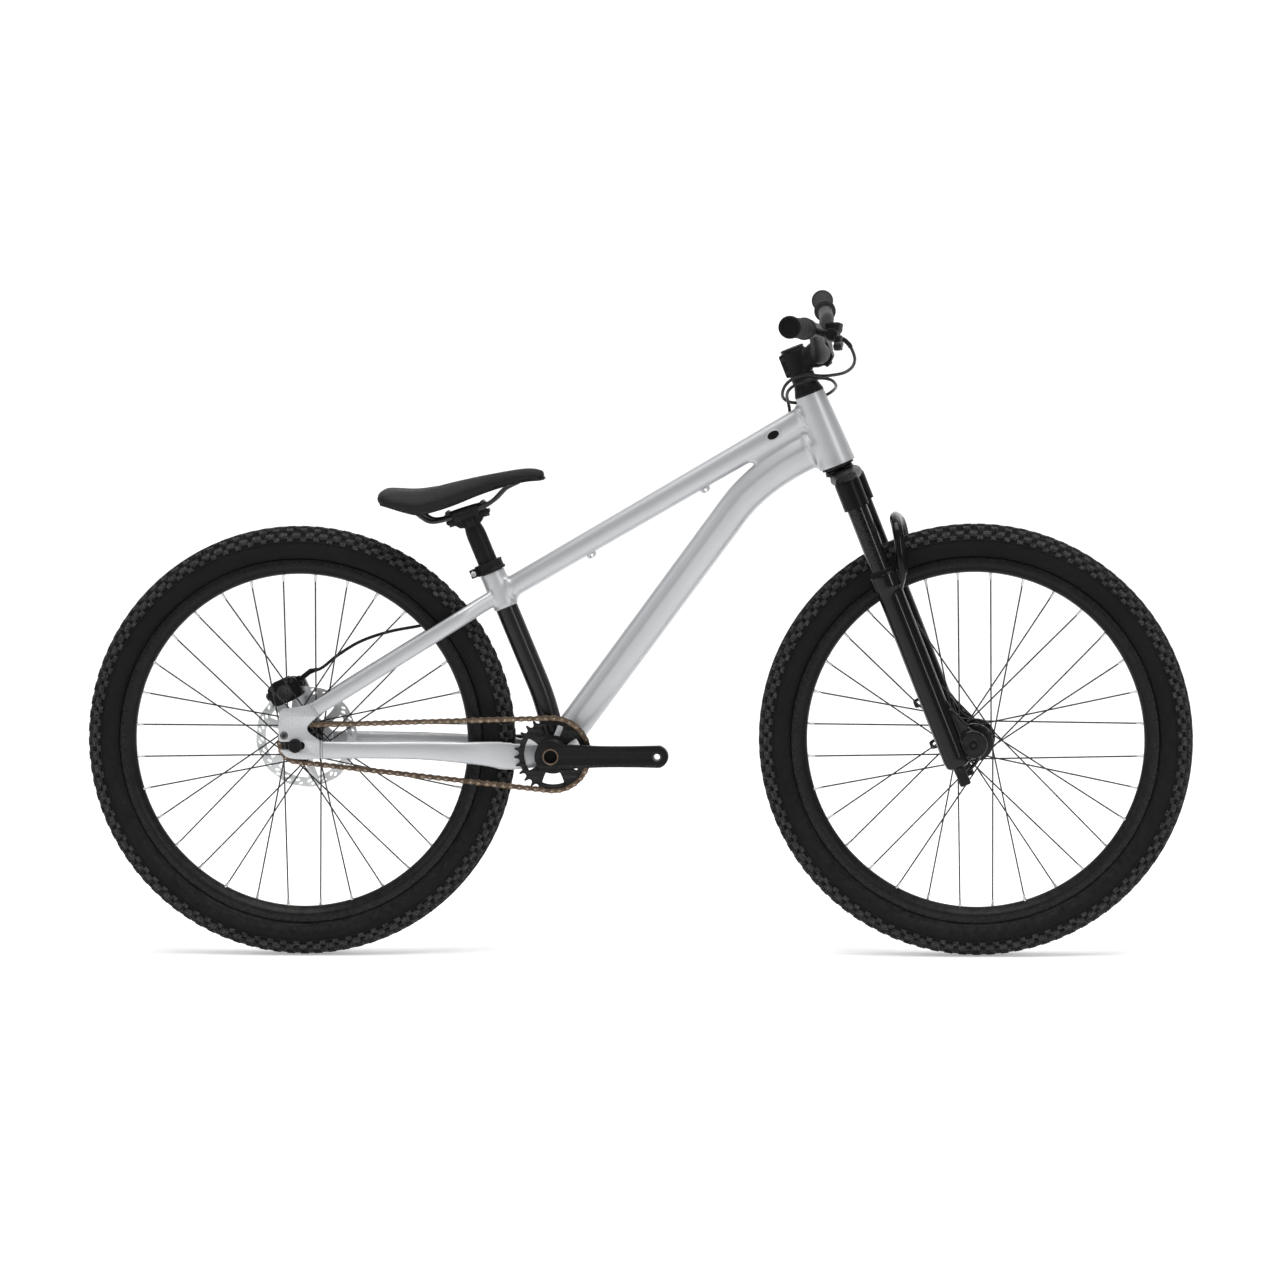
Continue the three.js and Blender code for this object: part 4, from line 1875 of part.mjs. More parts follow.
function rearCog() {
  const phase = chainLineAngle() + 180;
  const half = TOOTH_THICKNESS / 2;
  const teeth = plate(toothedOutline(COG_TEETH, phase), -CHAIN_LINE - half, -CHAIN_LINE + half);
  const carrier = crossBar(
    { x: 0, z: 0 },
    -CHAIN_LINE - COG_CARRIER_WIDTH / 2,
    cogInner(),
    COG_CARRIER_DIAMETER / 2,
  );
  const bore = crossBar(
    { x: 0, z: 0 },
    -CHAIN_LINE - COG_CARRIER_WIDTH,
    -CHAIN_LINE + COG_CARRIER_WIDTH,
    bored(COG_BORE / 2),
  );
  return joined([teeth, carrier]).subtract(bore);
}

// A place on the chain's loop, by its length from the foremost point of the ring
function chainLoop() {
  const big = pitchRadius(RING_TEETH);
  const small = pitchRadius(COG_TEETH);
  const base = radians(chainLineAngle());
  const lean = Math.asin((big - small) / CHAINSTAY_LENGTH);
  const straight = CHAINSTAY_LENGTH * Math.cos(lean);
  const wrapBig = big * (Math.PI / 2 + lean);
  const wrapSmall = small * (Math.PI / 2 - lean);
  const total = 2 * (wrapBig + straight + wrapSmall);
  const onCircle = (centre, radius, angle) => ({
    x: centre.x + radius * Math.cos(angle),
    z: centre.z + radius * Math.sin(angle),
    out: [Math.cos(angle), Math.sin(angle)],
  });
  const at = (length) => {
    const half = length <= total / 2 ? length : total - length;
    const sign = length <= total / 2 ? 1 : -1;
    const tangent = base + sign * (Math.PI / 2 + lean);
    if (half <= wrapBig) {
      return onCircle(BB, big, base + (sign * half) / big);
    }
    if (half <= wrapBig + straight) {
      const share = (half - wrapBig) / straight;
      const start = onCircle(BB, big, tangent);
      const end = onCircle(REAR_AXLE, small, tangent);
      return {
        x: THREE.MathUtils.lerp(start.x, end.x, share),
        z: THREE.MathUtils.lerp(start.z, end.z, share),
        out: start.out,
      };
    }
    return onCircle(REAR_AXLE, small, tangent + (sign * (half - wrapBig - straight)) / small);
  };
  return { total, at };
}

function rowPoints(loop, place, step, innerY, outerY) {
  const pin = loop.at(place);
  const waist = loop.at(place + step / 2);
  const point = (spot, along, up, y) => [
    spot.x + spot.out[0] * up - spot.out[1] * along,
    y,
    spot.z + spot.out[1] * up + spot.out[0] * along,
  ];
  const seat = ROLLER_DIAMETER / 2;
  return [
    point(pin, -seat, 0, innerY),
    point(pin, 0, seat, innerY),
    point(pin, seat, 0, innerY),
    point(pin, 0, -seat, innerY),
    point(pin, 0, PLATE_HEIGHT / 2, outerY),
    point(pin, 0, -PLATE_HEIGHT / 2, outerY),
    point(waist, 0, PLATE_WAIST / 2, outerY),
    point(waist, 0, -PLATE_WAIST / 2, outerY),
  ];
}

function chain() {
  const loop = chainLoop();
  const links = 2 * Math.round(loop.total / CHAIN_PITCH / 2);
  const step = loop.total / links;
  const near = CHAIN_INNER_WIDTH / 2;
  const far = near + PLATE_THICKNESS;
  const positions = [];
  const index = [];
  const face = (flip, a, b, c) => index.push(...(flip ? [a, c, b] : [a, b, c]));
  for (let row = 0; row < 2; row += 1) {
    const side = row === 0 ? -1 : 1;
    for (let i = 0; i < links; i += 1) {
      const points = rowPoints(loop, i * step, step, -CHAIN_LINE + side * near, -CHAIN_LINE + side * far);
      positions.push(...points.flat());
    }
  }
  const id = (row, i, corner) => (row * links + (i % links)) * ROW_POINTS + corner;
  for (let row = 0; row < 2; row += 1) {
    const flip = row === 1;
    for (let i = 0; i < links; i += 1) {
      const [, top, lead, foot, outTop, outFoot, waistTop, waistFoot] = [0, 1, 2, 3, 4, 5, 6, 7]
        .map((corner) => id(row, i, corner));
      const [tail, nextTop, , nextFoot, nextOutTop, nextOutFoot] = [0, 1, 2, 3, 4, 5]
        .map((corner) => id(row, i + 1, corner));
      // Inner face, between two rollers
      face(flip, top, lead, nextTop);
      face(flip, nextTop, lead, tail);
      face(flip, lead, foot, tail);
      face(flip, foot, nextFoot, tail);
      // Upper and lower edges
      face(flip, outTop, top, waistTop);
      face(flip, waistTop, top, nextTop);
      face(flip, waistTop, nextTop, nextOutTop);
      face(flip, foot, outFoot, waistFoot);
      face(flip, foot, waistFoot, nextFoot);
      face(flip, nextFoot, waistFoot, nextOutFoot);
      // Outer face
      face(flip, outFoot, outTop, waistTop);
      face(flip, outFoot, waistTop, waistFoot);
      face(flip, waistFoot, waistTop, nextOutTop);
      face(flip, waistFoot, nextOutTop, nextOutFoot);
    }
  }
  for (let i = 0; i < links; i += 1) {
    for (let corner = 0; corner < 4; corner += 1) {
      const after = (corner + 1) % 4;
      face(false, id(0, i, after), id(0, i, corner), id(1, i, after));
      face(false, id(1, i, after), id(0, i, corner), id(1, i, corner));
    }
  }
  const geometry = new THREE.BufferGeometry();
  geometry.setAttribute("position", new THREE.Float32BufferAttribute(positions, 3));
  geometry.setIndex(index);
  return solidOf(geometry);
}

// Crank arms and spindle
function armHeights() {
  return [
    CRANK_HUB_DIAMETER * 0.96,
    CRANK_HUB_HEIGHT,
    CRANK_WAIST_HEIGHT,
    CRANK_WAIST_HEIGHT,
    CRANK_EYE_DIAMETER * 0.98,
  ];
}

function crankArm(side, forward) {
  const outer = CRANK_OUTER;
  const inner = CRANK_OUTER - CRANK_THICKNESS;
  const heights = armHeights();
  const rings = ARM_ALONG_SHARES.map((share, i) => {
    const x = BB.x + forward * CRANK_LENGTH * share;
    const y = (side * (outer + inner)) / 2;
    return STAY_SHARES.map(([a, u]) => vec(x, y + (a * CRANK_THICKNESS) / 2, BB.z + (u * heights[i]) / 2));
  });
  const eye = { x: BB.x + forward * CRANK_LENGTH, z: BB.z };
  const hub = crossBar(BB, side * inner, side * outer, CRANK_HUB_DIAMETER / 2);
  const tip = crossBar(eye, side * inner, side * outer, CRANK_EYE_DIAMETER / 2);
  const shoulder = BB_SHELL_LENGTH / 2 + BB_CUP_FLANGE_WIDTH + 3 * GAP;
  const spigot = crossBar(BB, side * shoulder, side * inner, CRANK_SPIGOT / 2);
  const seat = crossBar(BB, 0, side * (outer - CRANK_RECESS_DEPTH), bored(SPINDLE_DIAMETER / 2 + GAP));
  const recess = crossBar(
    BB,
    side * (outer - CRANK_RECESS_DEPTH),
    side * (outer + OVERRUN),
    bored(CRANK_RECESS_DIAMETER / 2),
  );
  const from = side * (inner - OVERRUN);
  const to = side * (outer + OVERRUN);
  const pedal = crossBar(eye, from, to, PEDAL_BORE / 2, SMALL_SIDES);
  const parts = [solidOf(loft(rings)), hub, tip, spigot];
  if (side < 0) {
    parts.push(crossBar(BB, -CHAIN_LINE - TOOTH_THICKNESS / 2 - GAP, side * inner, CRANK_HUB_DIAMETER / 2));
  }
  return cut(joined(parts), [seat, recess, pedal]);
}

function crankSpindle() {
  const end = CRANK_OUTER - CRANK_RECESS_DEPTH - GAP;
  const rod = crossBar(BB, -end, end, SPINDLE_DIAMETER / 2);
  return rod.subtract(crossBar(BB, -end - OVERRUN, end + OVERRUN, SPINDLE_BORE / 2));
}

function addWheel(group, at, end) {
  const wheel = new THREE.Group();
  wheel.position.set(at.x, 0, at.z);
  addPiece(wheel, `${end}_hub`, end === "front" ? frontHub() : rearHub(), 0x17181a, 0.4, 0.6);
  addPiece(wheel, `${end}_rim`, rim(), 0x1a1b1e, 0.42, 0.5);
  addPiece(wheel, `${end}_tyre`, tyre(), 0x202124, 0.85, 0);
  if (end === "rear") {
    addPiece(wheel, "brake_rotor", brakeRotor(), 0x9a9c9f, 0.3, 1);
    addPiece(wheel, "rear_cog", rearCog(), 0x3a3a3c, 0.4, 0.9);
  }
  group.add(wheel);
}

function addDrive(group) {
  addPiece(group, "chainring", chainring(), 0x202225, 0.45, 0.5);
  addPiece(group, "chain", chain(), 0x6a5c4c, 0.4, 0.9);
  addPiece(group, "crank_spindle", crankSpindle(), 0x5c5e61, 0.35, 0.9);
  addPiece(group, "crank_right", crankArm(-1, 1), 0x202225, 0.4, 0.4);
  addPiece(group, "crank_left", crankArm(1, -1), 0x202225, 0.4, 0.4);
}

function addSteering(group) {
  const steering = new THREE.Group();
  steering.position.copy(STEER_FOOT);
  steering.rotation.y = STEER_TURN;
  const gloss = 0x0c0d0f;
  addPiece(steering, "fork_crown", forkCrown(), gloss, 0.18, 0.2);
  for (const [side, label] of [[-1, "right"], [1, "left"]]) {
    addPiece(steering, `stanchion_${label}`, stanchion(side), 0x141518, 0.12, 0.8);
    addPiece(steering, `fork_wiper_${label}`, wiper(side), 0x18181a, 0.7, 0);
  }
  addPiece(steering, "fork_lowers", forkLowers(), gloss, 0.18, 0.2);
  addPiece(steering, "front_axle", frontAxle(), 0x202124, 0.35, 0.8);
  addPiece(steering, "headset_spacer", headsetSpacer(), 0x1b1c1e, 0.45, 0.4);
  addPiece(steering, "stem", stem(), 0x1d1e20, 0.5, 0.4);
  addPiece(steering, "stem_faceplate", faceplate(), 0x1d1e20, 0.5, 0.4);
  addPiece(steering, "top_cap", topCap(), 0x1d1e20, 0.5, 0.4);
  const cockpit = new THREE.Group();
  cockpit.position.copy(BAR_POINT);
  cockpit.rotation.y = -STEER_TURN;
  addPiece(cockpit, "handlebar", handlebar(), 0x1c1d1f, 0.45, 0.4);
  addPiece(cockpit, "grip_right", grip(-1), 0x3c3e41, 0.85, 0);
  addPiece(cockpit, "grip_left", grip(1), 0x3c3e41, 0.85, 0);
  addPiece(cockpit, "brake_master", brakeMaster(), 0x141517, 0.35, 0.4);
  addPiece(cockpit, "brake_lever", brakeLever(), 0x17181a, 0.35, 0.5);
  steering.add(cockpit);
  group.add(steering);
}

function addSeat(group) {
  const seat = new THREE.Group();
  seat.position.copy(SEAT_TOP);
  seat.rotation.y = SEAT_TURN;
  addPiece(seat, "seatpost", seatpost(), 0x18191b, 0.45, 0.4);
  addPiece(seat, "saddle_clamp", saddleClamp(), 0x18191b, 0.45, 0.4);
  group.add(seat);
  const saddle = new THREE.Group();
  saddle.position.copy(CLAMP_POINT);
  saddle.rotation.y = -radians(SADDLE_TILT);
  addPiece(saddle, "saddle_bolt_front", saddleBolt(1), 0x2a2b2e, 0.4, 0.8);
  addPiece(saddle, "saddle_bolt_rear", saddleBolt(-1), 0x2a2b2e, 0.4, 0.8);
  addPiece(saddle, "saddle_rails", saddleRails(), 0x1a1a1c, 0.4, 0.7);
  addPiece(saddle, "saddle_shell", saddleShell(), 0x17181a, 0.6, 0);
  addPiece(saddle, "saddle_cover", saddleCover(), 0x2b2d31, 0.7, 0);
  group.add(saddle);
}

const bike = new THREE.Group();
bike.name = "dirt_jump_bike";
addFrame(bike);
addTurnedFrameParts(bike);
addHoses(bike);
addSteering(bike);
addSeat(bike);
addWheel(bike, FRONT_AXLE, "front");
addWheel(bike, REAR_AXLE, "rear");
addDrive(bike);

export default bike;
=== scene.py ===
"""A dirt jump bike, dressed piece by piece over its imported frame: suspension fork, one rear brake, single speed."""

import json
from collections import namedtuple
from math import asin, atan2, cos, degrees, pi, radians, sin, tau

import bmesh
import bpy
import numpy as np
from bpy.props import FloatProperty, FloatVectorProperty, IntProperty, PointerProperty
from mathutils import Matrix, Vector

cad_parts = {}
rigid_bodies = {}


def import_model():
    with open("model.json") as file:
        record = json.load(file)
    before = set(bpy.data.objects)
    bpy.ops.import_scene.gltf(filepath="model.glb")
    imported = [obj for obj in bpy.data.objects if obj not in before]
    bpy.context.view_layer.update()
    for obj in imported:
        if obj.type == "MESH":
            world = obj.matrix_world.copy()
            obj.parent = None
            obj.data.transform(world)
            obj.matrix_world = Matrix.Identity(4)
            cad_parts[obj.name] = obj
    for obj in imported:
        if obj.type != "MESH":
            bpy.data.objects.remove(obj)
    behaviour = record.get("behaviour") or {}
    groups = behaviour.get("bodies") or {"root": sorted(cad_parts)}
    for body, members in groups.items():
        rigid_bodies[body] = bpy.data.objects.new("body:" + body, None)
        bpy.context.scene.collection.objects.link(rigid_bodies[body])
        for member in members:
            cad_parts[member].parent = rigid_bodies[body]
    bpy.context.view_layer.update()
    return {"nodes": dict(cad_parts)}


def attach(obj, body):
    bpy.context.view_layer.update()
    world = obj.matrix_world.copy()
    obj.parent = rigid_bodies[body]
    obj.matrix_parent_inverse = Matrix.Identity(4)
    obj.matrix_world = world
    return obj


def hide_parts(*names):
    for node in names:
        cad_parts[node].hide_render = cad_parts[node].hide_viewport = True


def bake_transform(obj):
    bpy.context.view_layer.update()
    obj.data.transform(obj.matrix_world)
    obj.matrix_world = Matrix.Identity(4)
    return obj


bl_info = {
    "name": "Dirt jump bike",
    "version": (1, 0, 0),
    "blender": (4, 5, 0),
    "location": "3D View > Sidebar > Bike",
    "description": "Builds the visible pieces, finishes and studio of a dirt jump bike",
    "category": "Object",
}

for leftover in list(bpy.data.objects):
    bpy.data.objects.remove(leftover, do_unlink=True)
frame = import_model()

MM = 0.001


def vec(*numbers):
    """A point or direction; lengths are in millimetres until a mesh is made."""
    return np.array(numbers, float)


def place(origin, ahead=(1, 0, 0)):
    """What pieces are measured from: a point, the way ahead and the way up."""
    return vec(*origin), vec(*ahead), vec(-ahead[2], 0, ahead[0])


CROSSWISE = vec(0, 1, 0)
REAR_AXLE, FRONT_AXLE = vec(-525.5, 0, 336), vec(525.5, 0, 336)
BOTTOM_BRACKET = vec(-127.163, 0, 319)
BAR_CENTRE = vec(291.552, 0, 937.084)
UPRIGHT, AT_REAR_AXLE, AT_BOTTOM_BRACKET = place((0, 0, 0)), place(REAR_AXLE), place(BOTTOM_BRACKET)
STEER = place((485.356, 0, 320.59), (0.93358, 0, 0.35837))
SEAT = place((-223.267, 0, 598.2), (0.927184, 0, 0.374607))
SADDLE = place((-261.55, 0, 692.96), (0.9563, 0, 0.29237))
CALIPER = place(REAR_AXLE, (0.9135, 0, 0.4067))

# Sizes shared by several pieces, and the two sides of the bike
LEG_AHEAD, LEG_OUT = 9, 63
AXLE_AHEAD = 43
CHAIN_LINE = 47
CRANK_LENGTH = 165
ROTOR_OUT = 52
HOSE_RADIUS = 2.5
CAST_ROUNDS = 5
SIDES = ((-1, "right"), (1, "left"))


def spot(base, ahead, across, up):
    """A point given ahead, across and up from a place."""
    origin, forward, upward = base
    return origin + ahead * forward + across * CROSSWISE + up * upward


def unit(direction):
    direction = np.asarray(direction, float)
    return direction / np.linalg.norm(direction)


def polar(radius, angle, x=0.0, z=0.0):
    return x + radius * cos(angle), z + radius * sin(angle)


def circle(radius, count, x=0.0, z=0.0):
    return [polar(radius, tau * i / count, x, z) for i in range(count)]


def arc(radius, first, last, count, x=0.0, z=0.0):
    """Points on an arc between two angles in degrees."""
    return [polar(radius, radians(first + (last - first) * i / count), x, z) for i in range(count + 1)]


def disc(radius, low, high):
    """The profile of a plain disc."""
    return [(0, low), (radius, low), (radius, high), (0, high)]


CORNER_CUT, SHARP_CUT = 0.25, 0.06


def softened(outline, rounds=2, keep=()):
    """Cuts the corners of a closed outline again and again; corners in keep stay sharper."""
    points, sharp = [vec(*p) for p in outline], [tuple(p) in keep for p in outline]
    for _ in range(rounds):
        result, flags = [], []
        for i, (here, held) in enumerate(zip(points, sharp)):
            before, after = points[i - 1], points[(i + 1) % len(points)]
            cut = SHARP_CUT if held else CORNER_CUT
            result += [here + (before - here) * cut, here + (after - here) * cut]
            flags += [held, held]
        points, sharp = result, flags
    return [tuple(p) for p in points]


def between(t, start, end, first, last):
    return (end - t) / (end - start) * first + (t - start) / (end - start) * last


def smooth_path(points, per_span=8, closed=False):
    """A centripetal curve through points."""
    p = [vec(*q) for q in points]
    if closed:
        p = [p[-1]] + p + [p[0], p[1]]
    else:
        p = [2 * p[0] - p[1]] + p + [2 * p[-1] - p[-2]]
    result = []
    for i in range(1, len(p) - 2):
        a, b, c, d = p[i - 1: i + 3]
        times = [0.0]
        for step in (b - a, c - b, d - c):
            times.append(times[-1] + max(np.linalg.norm(step), 1e-6) ** 0.5)
        t0, t1, t2, t3 = times
        for k in range(per_span):
            t = t1 + (t2 - t1) * k / per_span
            q1, q2, q3 = between(t, t0, t1, a, b), between(t, t1, t2, b, c), between(t, t2, t3, c, d)
            result.append(between(t, t1, t2, between(t, t0, t2, q1, q2), between(t, t1, t3, q2, q3)))
    if not closed:
        result.append(p[-2])
    return result


def bezier(start, corner, end, count):
    start, corner, end = vec(*start), vec(*corner), vec(*end)
    return [(1 - t) ** 2 * start + 2 * t * (1 - t) * corner + t * t * end for t in np.linspace(0, 1, count)]


# Shapes are pairs of points and faces

def loft(rings, closed=False):
    """A skin over rings of equal length, with flat ends unless it closes on itself."""
    count, total = len(rings[0]), len(rings) * len(rings[0])
    points = np.vstack([np.asarray(r, float) for r in rings])
    faces = []
    for near in range(0, total if closed else total - count, count):
        far = (near + count) % total
        faces += [(near + j, near + (j + 1) % count, far + (j + 1) % count, far + j) for j in range(count)]
    if not closed:
        faces += [tuple(range(count))[::-1], tuple(range(total - count, total))]
    return points, faces


def square_to(axis):
    """Two directions at right angles to an axis and to each other."""
    side = unit(np.cross(axis, (1, 0, 0) if abs(axis[0]) < 0.9 else (0, 0, 1)))
    return side, np.cross(axis, side)


def revolve(profile, centre, axis, turns=64, hollow=False):
    """Turns a profile of (radius, along) pairs about an axis. A hollow one closes on itself."""
    axis = unit(axis)
    side, other = square_to(axis)
    angles = np.arange(turns) * tau / turns
    around = np.outer(np.cos(angles), side) + np.outer(np.sin(angles), other)
    rings = [np.asarray(centre, float) + along * axis + max(radius, 1e-4) * around for radius, along in profile]
    return loft(rings, closed=hollow)


def sweep(path, radius, turns=12, closed=False, shares=None, across=(0, 1, 0)):
    """A round tube along a path, or a tube of the section shares, scaled by radius (a number, pair or list)."""
    shares = shares or circle(1, turns)
    rings, normal, count = [], vec(*across), len(path)
    for i, here in enumerate(path):
        before = path[i - 1] if i or closed else here
        after = path[(i + 1) % count] if i + 1 < count or closed else here
        tangent = unit(after - before)
        if not i and abs(np.dot(normal, tangent)) > 0.95:
            normal = vec(1, 0, 0)
        normal = unit(normal - tangent * np.dot(normal, tangent))
        other = np.cross(tangent, normal)
        size = radius[i] if isinstance(radius, list) else radius
        wide, high = size if isinstance(size, tuple) else (size, size)
        rings.append([here + a * wide * normal + b * high * other for a, b in shares])
    return loft(rings, closed=closed)


def plate(outline, low, high, holes=(), base=UPRIGHT):
    """A flat plate with holes, standing along the bike, between two distances across it."""
    low, high = sorted((low, high))
    curve = bpy.data.curves.new("outline", "CURVE")
    curve.dimensions = "2D"
    curve.fill_mode = "BOTH"
    for ring in [outline, *holes]:
        spline = curve.splines.new("POLY")
        spline.points.add(len(ring) - 1)
        for point, (x, z) in zip(spline.points, ring):
            point.co = (x, z, 0, 1)
        spline.use_cyclic_u = True
    curve.extrude = (high - low) / 2
    carrier = bpy.data.objects.new("outline", curve)
    mesh = bpy.data.meshes.new_from_object(carrier)
    middle = (high + low) / 2
    points = np.array([spot(base, v.co.x, middle + v.co.z, v.co.y) for v in mesh.vertices])
    faces = [tuple(p.vertices) for p in mesh.polygons]
    bpy.data.objects.remove(carrier)
    bpy.data.curves.remove(curve)
    bpy.data.meshes.remove(mesh)
    return points, faces


def box(base, low, high):
    """A block between two corners given in one of the places."""
    ring = ((low[0], low[1]), (high[0], low[1]), (high[0], high[1]), (low[0], high[1]))
    return loft([[spot(base, a, y, up) for a, y in ring] for up in (low[2], high[2])])


def rod(start, end, radius, turns=48, chamfer=0.0):
    """A round bar between two points."""
    length, inner = np.linalg.norm(end - start), radius - chamfer
    profile = [(0, 0), (inner, 0), (radius, chamfer), (radius, length - chamfer), (inner, length), (0, length)]
    return revolve(profile, start, end - start, turns)


def bolt_head(centre, axis, radius, height, socket=0.5, turns=32):
    """A round head with a chamfer and a six-sided socket sunk in its face."""
    axis = unit(axis)
    side, other = square_to(axis)
    inner = radius * socket

    def ring(size, along, corners=False):
        points = []
        for angle in (tau * i / turns for i in range(turns)):
            share = cos(pi / 6) / cos(angle % (pi / 3) - pi / 6) if corners else 1
            points.append(centre + along * axis + size * share * (cos(angle) * side + sin(angle) * other))
        return points

    return loft([
        ring(radius, 0), ring(radius, height * 0.75), ring(radius * 0.9, height),
        ring(inner * 1.12, height), ring(inner, height * 0.9, True), ring(inner, height * 0.3, True),
    ])


def joined(shapes):
    points, faces, start = [], [], 0
    for p, f in shapes:
        points.append(p)
        faces += [tuple(i + start for i in face) for face in f]
        start += len(p)
    return np.vstack(points), faces


# Pieces are shapes that got a name, a finish and a body to ride on

def mesh_of(name, shapes):
    points, faces = joined(shapes)
    mesh = bpy.data.meshes.new(name)
    mesh.from_pydata((points * MM).tolist(), [], faces)
    work = bmesh.new()
    work.from_mesh(mesh)
    bmesh.ops.remove_doubles(work, verts=work.verts, dist=2e-6)
    bmesh.ops.recalc_face_normals(work, faces=work.faces)
    work.to_mesh(mesh)
    work.free()
    return mesh


def object_of(name, mesh):
    thing = bpy.data.objects.new(name, mesh)
    bpy.context.scene.collection.objects.link(thing)
    return thing


def modified(thing, kind, **settings):
    """Gives an object a modifier with its settings."""
    made = thing.modifiers.new(kind.lower(), kind)
    for key, value in settings.items():
        setattr(made, key, value)
    return made


def settle(thing):
    """Turns an object's modifiers into its mesh."""
    old = thing.data
    mesh = bpy.data.meshes.new_from_object(thing.evaluated_get(bpy.context.evaluated_depsgraph_get()))
    thing.modifiers.clear()
    thing.data = mesh
    bpy.data.meshes.remove(old)


def melt(thing, voxel):
    """Joins what overlaps into one skin of small cells."""
    modified(thing, "REMESH", mode="VOXEL", voxel_size=voxel * MM)


def smooth_shaded(mesh):
    mesh.polygons.foreach_set("use_smooth", [True] * len(mesh.polygons))
    return mesh


def dressed(thing, finish, body, replaces=(), crease=35):
    """Gives an object its shading, finish and body, and hides the nodes it stands for."""
    mesh = smooth_shaded(thing.data)
    mesh.set_sharp_from_angle(angle=radians(crease))
    mesh.materials.clear()
    mesh.materials.append(finish_of(finish))
    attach(thing, body)
    if replaces:
        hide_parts(*((replaces,) if isinstance(replaces, str) else replaces))


def piece(name, shapes, finish, body, replaces=(), crease=35, bevel=0.0, segments=2):
    """A finished piece of one or more shapes; bevel rounds its sharp edges."""
    thing = object_of(name, mesh_of(name, shapes))
    if bevel:
        modified(thing, "BEVEL", width=bevel * MM, segments=segments, limit_method="ANGLE",
                 angle_limit=radians(30), harden_normals=False)
        settle(thing)
    dressed(thing, finish, body, replaces, crease)


def fused(name, shapes, cutters, voxel, rounds, finish, body, replaces, crease=50):
    """Shapes melted into one skin, smoothed as welds or a casting, then bored out."""
    thing = object_of(name, mesh_of(name, shapes))
    melt(thing, voxel * (1.0))
    modified(thing, "SMOOTH", factor=0.5, iterations=rounds)
    settle(thing)
    tool = object_of(name + "_bore", mesh_of(name + "_bore", cutters))
    modified(thing, "BOOLEAN", operation="DIFFERENCE", object=tool, solver="EXACT", use_self=True)
    settle(thing)
    bpy.data.objects.remove(tool)
    dressed(thing, finish, body, replaces, crease)


# Shared effects, each built once as a shader node group

def feed(tree, socket, value):
    """Links a socket's value into another, or sets it."""
    if isinstance(value, bpy.types.NodeSocket):
        tree.links.new(value, socket)
    else:
        socket.default_value = value


def node(tree, kind, inputs=None, **settings):
    """A shader node with its settings, and its inputs set or linked."""
    made = tree.nodes.new("ShaderNode" + kind)
    for key, value in settings.items():
        setattr(made, key, value)
    for key, value in (inputs or {}).items():
        feed(tree, made.inputs[key], value)
    return made


def blank_material(name):
    """A material without nodes, and its tree."""
    material = bpy.data.materials.new(name)
    material.use_nodes = True
    material.node_tree.nodes.clear()
    return material, material.node_tree


def kind_of(label):
    return "NodeSocketColor" if "Colour" in label else "NodeSocketFloat"


def group_with(name, inputs, outputs):
    """An empty node group: its tree, what it is given, what it gives, and the object's own coordinates."""
    tree = bpy.data.node_groups.new(name, "ShaderNodeTree")
    for label, default in inputs.items():
        tree.interface.new_socket(name=label, in_out="INPUT", socket_type=kind_of(label)).default_value = default
    for label in outputs:
        tree.interface.new_socket(name=label, in_out="OUTPUT", socket_type=kind_of(label))
    given, result = tree.nodes.new("NodeGroupInput").outputs, tree.nodes.new("NodeGroupOutput").inputs
    return tree, given, result, node(tree, "TexCoord").outputs["Object"]


def ramp(tree, value, low, high, to_low=0.0, to_high=1.0):
    """Spreads a value between two limits over a new range, held at its ends."""
    return node(tree, "MapRange", {"Value": value, "From Min": low, "From Max": high, "To Min": to_low,
                                   "To Max": to_high}, clamp=True).outputs["Result"]


def sum_of(tree, first, second, operation="ADD"):
    return node(tree, "Math", {0: first, 1: second}, operation=operation).outputs[0]


def product(tree, first, second):
    return sum_of(tree, first, second, "MULTIPLY")


def blended(tree, share, first, second):
    """A colour between two, by a share."""
    return node(tree, "Mix", {0: share, 6: first, 7: second}, data_type="RGBA").outputs[2]


def noise(tree, place, scale, detail=3.0, roughness=0.5):
    return node(tree, "TexNoise", {"Vector": place, "Scale": scale, "Detail": detail,
                                   "Roughness": roughness}).outputs["Fac"]


GREY, WHITE = (0.5, 0.5, 0.5, 1), (1, 1, 1, 1)


def colour_drift_group():
    """Slow changes of tone over a surface, with a finer mottle."""
    tree, given, result, place = group_with("Colour drift", {
        "Colour": GREY, "Second Colour": GREY, "Size": 20.0, "Mottle": 0.3, "Roughness": 0.5, "Roughness Spread": 0.1,
    }, ("Colour", "Roughness"))
    wide = noise(tree, place, given["Size"], 2.0)
    fine = noise(tree, place, product(tree, given["Size"], 9.0), 4.0, 0.6)
    mixed = sum_of(tree, ramp(tree, wide, 0.3, 0.7), product(tree, fine, given["Mottle"]))
    feed(tree, result["Colour"], blended(tree, ramp(tree, mixed, 0.0, 1.3), given["Colour"], given["Second Colour"]))
    offset = product(tree, sum_of(tree, fine, 0.5, "SUBTRACT"), product(tree, given["Roughness Spread"], 2.0))
    feed(tree, result["Roughness"], sum_of(tree, given["Roughness"], offset))
    return tree


